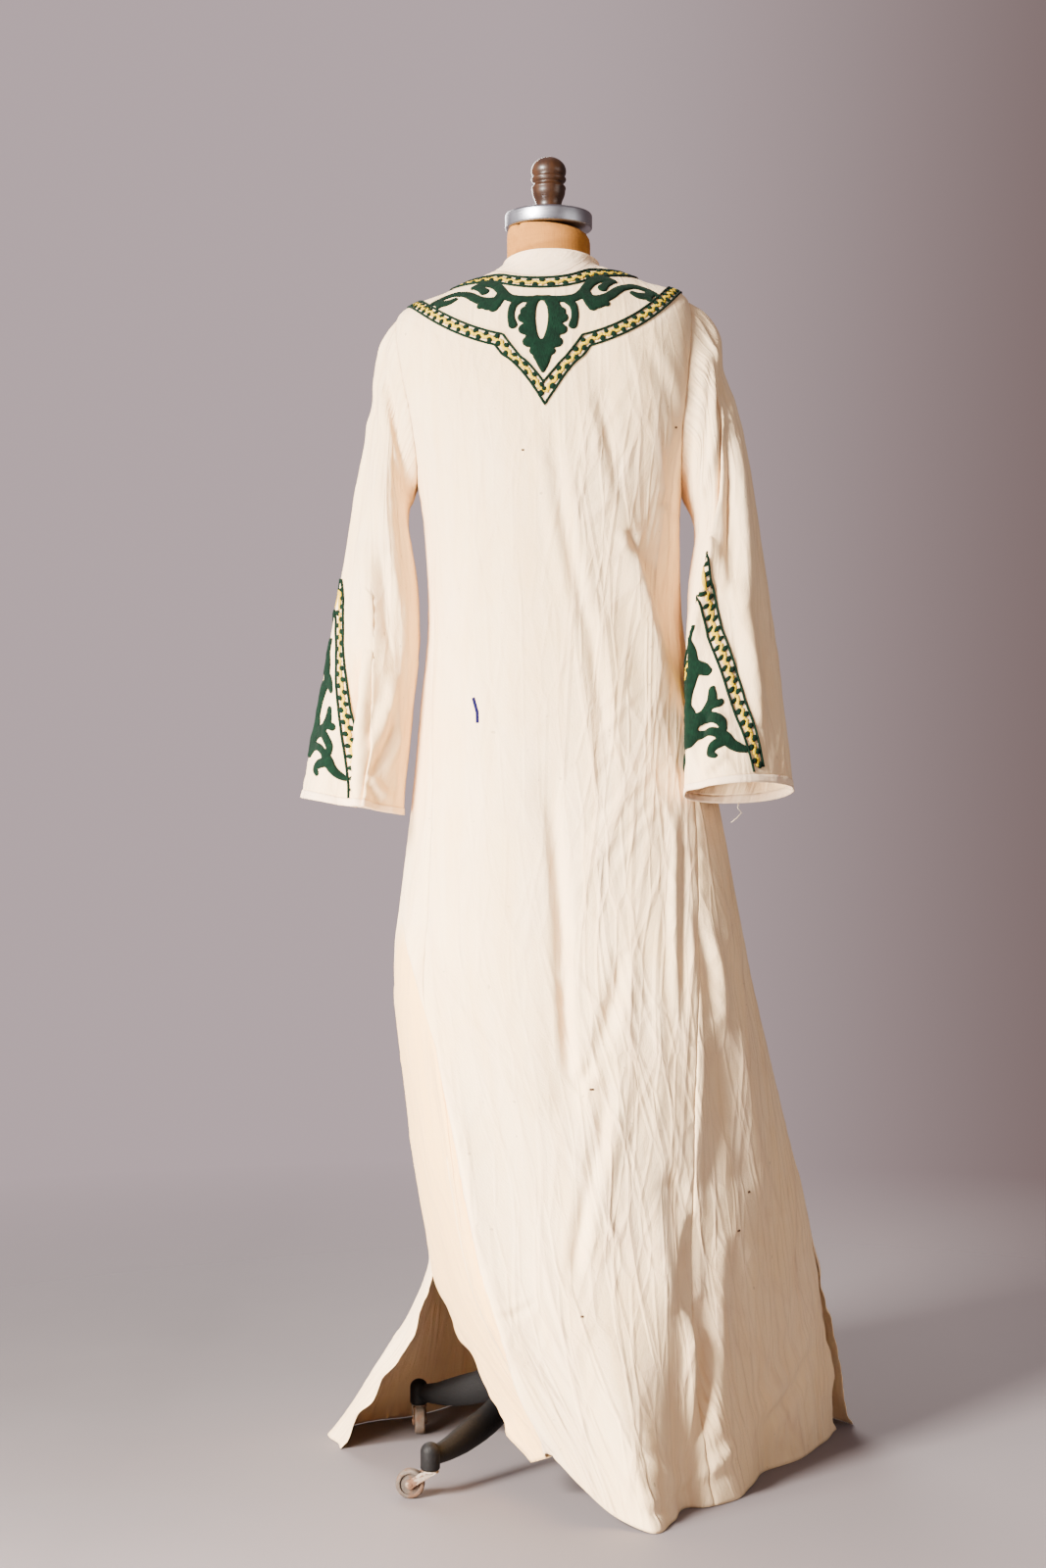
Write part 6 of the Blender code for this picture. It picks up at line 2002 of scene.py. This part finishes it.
def united(item, other):
    """Melts another piece into a piece."""
    applied(item, "BOOLEAN", operation="UNION", object=other, solver="EXACT")
    bpy.data.objects.remove(other, do_unlink=True)


def bevelled(item, width):
    """Rounds the sharp edges of a piece."""
    applied(item, "BEVEL", width=width, segments=2, limit_method="ANGLE", angle_limit=math.radians(40))


def put(item, turn, place):
    """Turns a piece about the three axes and moves it to a place, for good."""
    item.rotation_euler, item.location = turn, place
    only(item)
    bpy.ops.object.transform_apply(location=True, rotation=True)


def turned_piece(name, profile, sides, centre):
    """A piece turned about a vertical axis through centre, from its lowest ring to its highest."""
    bpy.ops.object.select_all(action="DESELECT")
    radius, height = profile[0]
    place = (centre[0], centre[1], centre[2] + height)
    bpy.ops.mesh.primitive_circle_add(vertices=sides, radius=radius, fill_type="NGON", location=place)
    item = bpy.context.object
    item.name = item.data.name = name
    bpy.ops.object.transform_apply(location=True)
    start_editing()
    for new_radius, new_height in profile[1:]:
        bpy.ops.mesh.extrude_region_move(TRANSFORM_OT_translate={"value": (0, 0, new_height - height)})
        grow = new_radius / radius
        middle = (centre[0], centre[1], centre[2] + new_height)
        bpy.ops.transform.resize(value=(grow, grow, 1), center_override=middle)
        radius, height = new_radius, new_height
    end_editing()
    return item


def finished(item, look, body, slot, *nodes, angle=35.0):
    """Gives a piece its finish, soft shading and body, and hides the nodes it stands for; slot is not used.
    """
    only(item)
    item.data.materials.clear()
    item.data.materials.append(look)
    bpy.ops.object.shade_smooth_by_angle(angle=math.radians(angle))
    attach(item, body)
    if nodes:
        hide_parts(*nodes)
    print(item.name, len(item.data.polygons), "faces")
    return item


print("turning helper ready")

# %% [markdown]
# ## Finial, cap, pole and hub
#
# The finial's outline runs from its foot on the cap through a waist, two ring grooves and a domed head.
# Rounded outlines are given by enough rings, so nothing needs smoothing afterwards.

# %% Finial
CAP_TOP = 1.5935


def softened(outline, steps):
    """An outline made finer with a smooth curve through its rows."""
    rows = np.array(outline)
    run = run_of(rows)
    return through(run, rows, np.linspace(0, run[-1], steps)).tolist()


FINIAL_FOOT = metres(((18, 0.3), (19, 1.2), (19, 5), (18.3, 6.2)))
FINIAL_WAIST = metres(((17.2, 8), (16.5, 12), (17.4, 17), (19.7, 22.5), (21.1, 27), (21.4, 30.5)))
FINIAL_RINGS = metres((
    (21.9, 32.6), (22.2, 34), (21.9, 35.4), (20.5, 37.2), (19, 38.8), (18.8, 39.6), (19.2, 40.4),
    (21, 42.2), (22.4, 44.4), (22.6, 45.6), (22.2, 47), (20.8, 48.6), (20.5, 49.2), (21, 50)
))
FINIAL_HEAD = metres((
    (22.2, 52.6), (22.6, 56), (22, 60), (20.3, 64), (17.4, 67.5), (13.5, 70.6), (8.8, 72.9), (4, 74.2),
    (0.8, 74.5)
))
outline = FINIAL_FOOT + softened(FINIAL_WAIST, 14) + softened(FINIAL_RINGS, 40) + softened(FINIAL_HEAD, 26)
finial = turned_piece("turned_finial", outline, 64, (POLE[0], POLE[1], CAP_TOP))
finished(finial, WALNUT, "stand", "dark_walnut", "finial", angle=50)

# %% [markdown]
# The cap is a flat steel disc with a rolled rim, and the finial stands on its middle.

# %% Neck cap
CAP_BOTTOM = 1.5741
rim = metres((
    (53, 0), (54.8, 0.4), (55.7, 1.3), (56, 2.6), (56, 16), (55.7, 17.7), (54.8, 18.9), (53.2, 19.4),
    (20, 19.4), (19.5, 19.4)
))
neck_cap = turned_piece("brushed_neck_cap", rim, 96, (POLE[0], POLE[1], CAP_BOTTOM))
finished(neck_cap, STEEL, "stand", "brushed_steel", "neck_cap", angle=30)

# %% [markdown]
# The pole runs up from the hub into the linen body. The hub is a thick waist with a flange at both ends.

# %% Pole and hub
pole_outline = [(0.0119, 0.1680), (0.0125, 0.1686), (0.0125, 0.60), (0.0125, 0.7990), (0.0122, 0.7995)]
pole = turned_piece("iron_pole", pole_outline, 48, (POLE[0], POLE[1], 0.0))
finished(pole, IRON, "stand", "cast_iron", "pole")
hub_outline = softened(metres(((17, 78), (20.5, 78.3), (30, 86), (35.2, 93), (36, 98.5))), 16)
hub_outline += metres(((36, 112), (34.8, 113.5), (34.8, 128.5), (36, 130)))
hub_outline += softened(metres(((36, 144), (34, 152), (27, 160), (21.2, 164), (20.5, 167.7))), 16)
hub = turned_piece("iron_hub", hub_outline, 64, (POLE[0], POLE[1], 0.0))
finished(hub, IRON, "stand", "cast_iron", "hub")

# %% [markdown]
# ## The form's body
#
# The padded linen body only shows at the neck. Its solid has the right shape, so a copy
# of that mesh is merged and rounded with a Subdivision Surface.

# %% Linen body
copied = bpy.data.meshes.new("linen_body")
edit = bmesh.new()
edit.from_mesh(bpy.data.objects["form_torso"].data)
bmesh.ops.transform(edit, matrix=bpy.data.objects["form_torso"].matrix_world, verts=edit.verts)
bmesh.ops.remove_doubles(edit, verts=edit.verts, dist=0.00005)
bmesh.ops.recalc_face_normals(edit, faces=edit.faces)
bmesh.ops.join_triangles(edit, faces=edit.faces, angle_face_threshold=0.7, angle_shape_threshold=0.9)
edit.to_mesh(copied)
edit.free()
linen_body = linked("linen_body", copied)
applied(linen_body, "SUBSURF", levels=2, render_levels=2)
finished(linen_body, LINEN, "stand", "form_linen", "form_torso", angle=60)

# %% [markdown]
# ## Legs
#
# Each leg is one casting: an arm that arches down from the hub, thick and round, and ends in a cup with a
# domed top that holds the caster's stem. The arm is a ring extruded and resized along its sections, the cup
# is turned, and the two are united.

# %% Legs
LEG_REACH = 0.225
LEG_ANGLES = {"front_right": 50.0, "front_left": 140.0, "back_left": 230.0, "back_right": 320.0}
LEG_SECTIONS = (
    # reach  z_low  z_top  half_width
    (0.0340, 0.099, 0.143, 0.0120),
    (0.0500, 0.090, 0.135, 0.0118),
    (0.0660, 0.080, 0.126, 0.0116),
    (0.0810, 0.069, 0.117, 0.0115),
    (0.0965, 0.060, 0.108, 0.0113),
    (0.1100, 0.054, 0.100, 0.0111),
    (0.1250, 0.049, 0.0925, 0.0110),
    (0.1430, 0.0445, 0.086, 0.0109),
    (0.1600, 0.041, 0.080, 0.0108),
    (0.1770, 0.0392, 0.0733, 0.0107),
    (0.1930, 0.0380, 0.067, 0.0105),
    (0.2080, 0.0380, 0.063, 0.0101),
    (0.2190, 0.0382, 0.0605, 0.0090),
)
CUP_OUTLINE = [(0.0085, 0.0336), (0.0104, 0.0340), (0.0113, 0.0350), (0.0118, 0.0366), (0.0118, 0.0560)]
CUP_OUTLINE += [(0.0118 * math.cos(a), 0.0560 + 0.0112 * math.sin(a)) for a in np.linspace(0.15, 1.50, 12)]


def leg_piece(corner):
    """One leg on the +X side of the pole, turned to its corner."""
    bpy.ops.object.select_all(action="DESELECT")
    reach, z_low, z_top, half_width = LEG_SECTIONS[0]
    place = (reach, 0, (z_low + z_top) / 2)
    bpy.ops.mesh.primitive_circle_add(
        vertices=24, radius=1.0, fill_type="NGON", location=place, rotation=(0, math.pi / 2, 0)
    )
    arm = bpy.context.object
    arm.name = arm.data.name = f"iron_leg_{corner}"
    arm.scale = ((z_top - z_low) / 2, half_width, 1)
    bpy.ops.object.transform_apply(location=True, rotation=True, scale=True)
    start_editing()
    before = LEG_SECTIONS[0]
    for row in LEG_SECTIONS[1:]:
        drop = (row[1] + row[2]) / 2 - (before[1] + before[2]) / 2
        bpy.ops.mesh.extrude_region_move(TRANSFORM_OT_translate={"value": (row[0] - before[0], 0, drop)})
        tall = (row[2] - row[1]) / (before[2] - before[1])
        middle = (row[0], 0, (row[1] + row[2]) / 2)
        bpy.ops.transform.resize(value=(1, row[3] / before[3], tall), center_override=middle)
        before = row
    end_editing()
    united(arm, turned_piece("cup", CUP_OUTLINE, 40, (LEG_REACH, 0, 0)))
    bevelled(arm, 0.0012)
    put(arm, (0, 0, math.radians(LEG_ANGLES[corner])), POLE)
    return finished(arm, IRON, "stand", "cast_iron", f"leg_{corner}", angle=40)


for corner in LEG_ANGLES:
    leg_piece(corner)

# %% [markdown]
# ## Casters
#
# A caster is a pressed fork that swivels on a stem in the cup, and a small wheel on an axle behind the
# stem. The cheeks of the fork are plates with rounded ends, joined by a crown; the axle has a rivet head on
# each side. The wheel has a recess round its hub on both sides.

# %% Caster fork
TRAIL, WHEEL_RADIUS, CHEEK_INNER, CHEEK_THICK = 0.024, 0.0175, 0.0074, 0.0018
CROWN_LOW, CROWN_TOP = 0.0302, 0.0332
TRAIL_ANGLES = {"front_right": 20.0, "front_left": 275.0, "back_left": 178.0, "back_right": 300.0}


def cheek(side):
    """One side plate of a fork: a disc round the axle, stretched up to the crown, then given thickness."""
    bpy.ops.object.select_all(action="DESELECT")
    place = (TRAIL, side * CHEEK_INNER, WHEEL_RADIUS)
    bpy.ops.mesh.primitive_circle_add(
        vertices=32, radius=0.0052, fill_type="NGON", location=place, rotation=(math.pi / 2, 0, 0)
    )
    plate = bpy.context.object
    bpy.ops.object.transform_apply(location=True, rotation=True)
    for vertex in plate.data.vertices:
        x, z = vertex.co.x - TRAIL, vertex.co.z - WHEEL_RADIUS
        if z * 0.8 - x * 0.6 > 0.0012:
            across = z * 0.6 + x * 0.8
            share = across / 0.0052
            vertex.co.x = 0.0008 + 0.0095 * share + (0.0010 if share > 0 else 0.0)
            vertex.co.z = CROWN_TOP - 0.0012
    only(plate)
    start_editing()
    bpy.ops.mesh.remove_doubles(threshold=0.0001)
    bpy.ops.mesh.extrude_region_move(TRANSFORM_OT_translate={"value": (0, side * CHEEK_THICK, 0)})
    end_editing()
    return plate


def fork_piece(corner, stem):
    """One fork, trailing to its own side of its stem."""
    crown_outline = [(0.0085, CROWN_LOW), (0.0098, CROWN_LOW + 0.0002), (0.0104, CROWN_LOW + 0.0010)]
    crown_outline += [(0.0104, CROWN_TOP - 0.0010), (0.0098, CROWN_TOP - 0.0002), (0.0040, CROWN_TOP)]
    crown_outline += [(0.0040, 0.0480), (0.0030, 0.0495), (0.0012, 0.0499)]
    fork = turned_piece(f"caster_fork_{corner}", crown_outline, 32, (0, 0, 0))
    for side in (-1, 1):
        united(fork, cheek(side))
    head = metres(((2.5, 9.1), (3.1, 9.3), (2.8, 9.8), (1.8, 10.2)))
    rivet = [(radius, -height) for radius, height in head[::-1]] + head
    axle = turned_piece("axle", rivet, 24, (0, 0, 0))
    put(axle, (math.pi / 2, 0, 0), (TRAIL, 0, WHEEL_RADIUS))
    united(fork, axle)
    bevelled(fork, 0.0004)
    put(fork, (0, 0, math.radians(TRAIL_ANGLES[corner])), stem)
    return finished(fork, RUSTY, f"fork_{corner}", "rusty_steel", f"fork_{corner}")


# %% [markdown]
# The wheel is turned upright, bored through its middle, and then laid on its axle.

# %% Caster wheel
WHEEL_OUTLINE = metres((
    # radius and place across
    (5.6, -7), (6.2, -6.6), (6.4, -4.4), (12, -4), (12.6, -6.4), (13.4, -6.6), (16, -6.4), (17, -5.6),
    (17.5, -4), (17.5, 4), (17, 5.6), (16, 6.4), (13.4, 6.6), (12.6, 6.4), (12, 4), (6.4, 4.4), (6.2, 6.6),
    (5.6, 7), (3.1, 7)
))


def wheel_piece(corner, stem):
    """One wheel on its axle behind the stem: turned with a recess on both sides, then bored."""
    wheel = turned_piece(f"caster_wheel_{corner}", [(0.0031, -0.0070)] + WHEEL_OUTLINE, 48, (0, 0, 0))
    only(wheel)
    bpy.ops.object.mode_set(mode="EDIT")
    bpy.ops.mesh.select_all(action="DESELECT")
    bpy.ops.object.mode_set(mode="OBJECT")
    for face in wheel.data.polygons:
        face.select = len(face.vertices) > 4
    bpy.ops.object.mode_set(mode="EDIT")
    bpy.ops.mesh.delete(type="ONLY_FACE")
    bpy.ops.mesh.select_all(action="DESELECT")
    bpy.ops.object.mode_set(mode="OBJECT")
    for vertex in wheel.data.vertices:
        vertex.select = math.hypot(vertex.co.x, vertex.co.y) < 0.0033
    for line in wheel.data.edges:
        ends = [wheel.data.vertices[i] for i in line.vertices]
        line.select = all(end.select for end in ends)
    bpy.ops.object.mode_set(mode="EDIT")
    bpy.ops.mesh.bridge_edge_loops()
    end_editing()
    turn = math.radians(TRAIL_ANGLES[corner])
    wheel.data.transform(Matrix.Rotation(math.pi / 2, 4, "X"))
    place = (stem[0] + TRAIL * math.cos(turn), stem[1] + TRAIL * math.sin(turn), WHEEL_RADIUS)
    put(wheel, (0, 0, turn), place)
    return finished(wheel, TREAD, f"wheel_{corner}", "rusty_wheel", f"wheel_{corner}")


for corner, angle in LEG_ANGLES.items():
    turn = math.radians(angle)
    stem = (POLE[0] + LEG_REACH * math.cos(turn), POLE[1] + LEG_REACH * math.sin(turn), 0.0)
    fork_piece(corner, stem)
    wheel_piece(corner, stem)

# %% [markdown]
# ## What was cut
#
# The panels and gores hang from the shoulders, and the sleeves hang from the armholes. The cuffs and the
# neck band are narrow strips sewn on.

# %% [markdown]
# ## Floor and backdrop
#
# The floor is a grey disc that fades out at its edge, so it melts into the mauve-grey backdrop as a
# paper sweep does; it is painted darker on the left, where the key light falls strongest. The backdrop
# is the world's own colour, with painted shade that makes it a little darker to the right.

# %% Floor
FLOOR_RADIUS = 6.0
bpy.ops.object.select_all(action="DESELECT")
bpy.ops.mesh.primitive_circle_add(vertices=64, radius=FLOOR_RADIUS, fill_type="NGON", location=tuple(POLE))
floor = bpy.context.object
floor.name = "floor"
bpy.ops.object.transform_apply(location=True)
floor_look, tree, shader = new_material("floor paper", (0.62, 0.60, 0.60), 0.75)
here = node(tree, "ShaderNodeTexCoord").outputs["Object"]
centred = node(tree, "ShaderNodeMapping", {"vector_type": "POINT"}, Vector=here, Location=tuple(-POLE))
away = node(tree, "ShaderNodeVectorMath", {"operation": "LENGTH"}, i0=centred.outputs["Vector"])
fade = ramp(tree, away.outputs["Value"], 0.9, 2.6, 1, 0)
tree.links.new(fade, shader.inputs["Alpha"])
patch = noise(tree, here, 3.0, 4.0, 0.6)
# painted shade: the floor is painted darker on the left, where the key light falls strongest, and lighter to
# the right
aside = ramp(tree, node(tree, "ShaderNodeSeparateXYZ", Vector=here).outputs["X"], -0.6, 0.6)
paper = mixed(tree, aside, (0.078, 0.065, 0.069), (0.200, 0.172, 0.178))
paper = mixed(tree, times(tree, patch, 0.25), paper, (0.16, 0.14, 0.145))
tree.links.new(paper, shader.inputs["Base Color"])
floor.data.materials.append(floor_look)
print("floor laid")

# %% [markdown]
# ## Light
#
# One large soft light stands high on the left behind the camera, as the picture's shadows show. A weaker one
# fills from the right, one lights the far side, and a small low one shines into the open slit on the left.
# The world gives the rest.

# %% Lights


def soft_light(name, place, aim, size, power, colour):
    """A square area light that looks at a point."""
    data = bpy.data.lights.new(name, "AREA")
    data.shape = "SQUARE"
    data.size = size
    data.energy = power
    data.color = colour
    item = linked(name, data)
    item.location = place
    item.rotation_euler = (Vector(aim) - Vector(place)).to_track_quat("-Z", "Y").to_euler()
    return item


soft_light("key light", (-2.5, -2.6, 2.5), (0.0, 0.0, 0.9), 0.9, 780.0, (1.0, 0.95, 0.875))
soft_light("fill light", (2.8, -1.8, 1.6), (0.0, 0.0, 0.8), 1.8, 30.0, (1.0, 0.95, 0.90))
soft_light("far light", (-0.8, 2.8, 2.4), (0.0, 0.0, 0.9), 1.6, 130.0, (1.0, 0.95, 0.90))
soft_light("low light", (-1.0, -1.1, 0.45), (-0.13, 0.24, 0.13), 0.5, 100.0, (1.0, 0.92, 0.82))

world = bpy.data.worlds.new("backdrop")
bpy.context.scene.world = world
world.use_nodes = True
tree = world.node_tree
facing = node(tree, "ShaderNodeTexCoord").outputs["Generated"]
aside = node(tree, "ShaderNodeSeparateXYZ", Vector=facing).outputs["X"]
# painted shade: the backdrop is painted darker to the right, where the wall falls out of the light
shade = node(
    tree, "ShaderNodeMapRange", {"interpolation_type": "SMOOTHSTEP"}, i0=aside, i1=-0.02, i2=0.26
).outputs[0]
tone = mixed(tree, shade, (0.585, 0.46, 0.48), (0.215, 0.150, 0.146))
tree.links.new(tone, tree.nodes["Background"].inputs["Color"])
tree.nodes["Background"].inputs["Strength"].default_value = 1.0

print("lights ready")
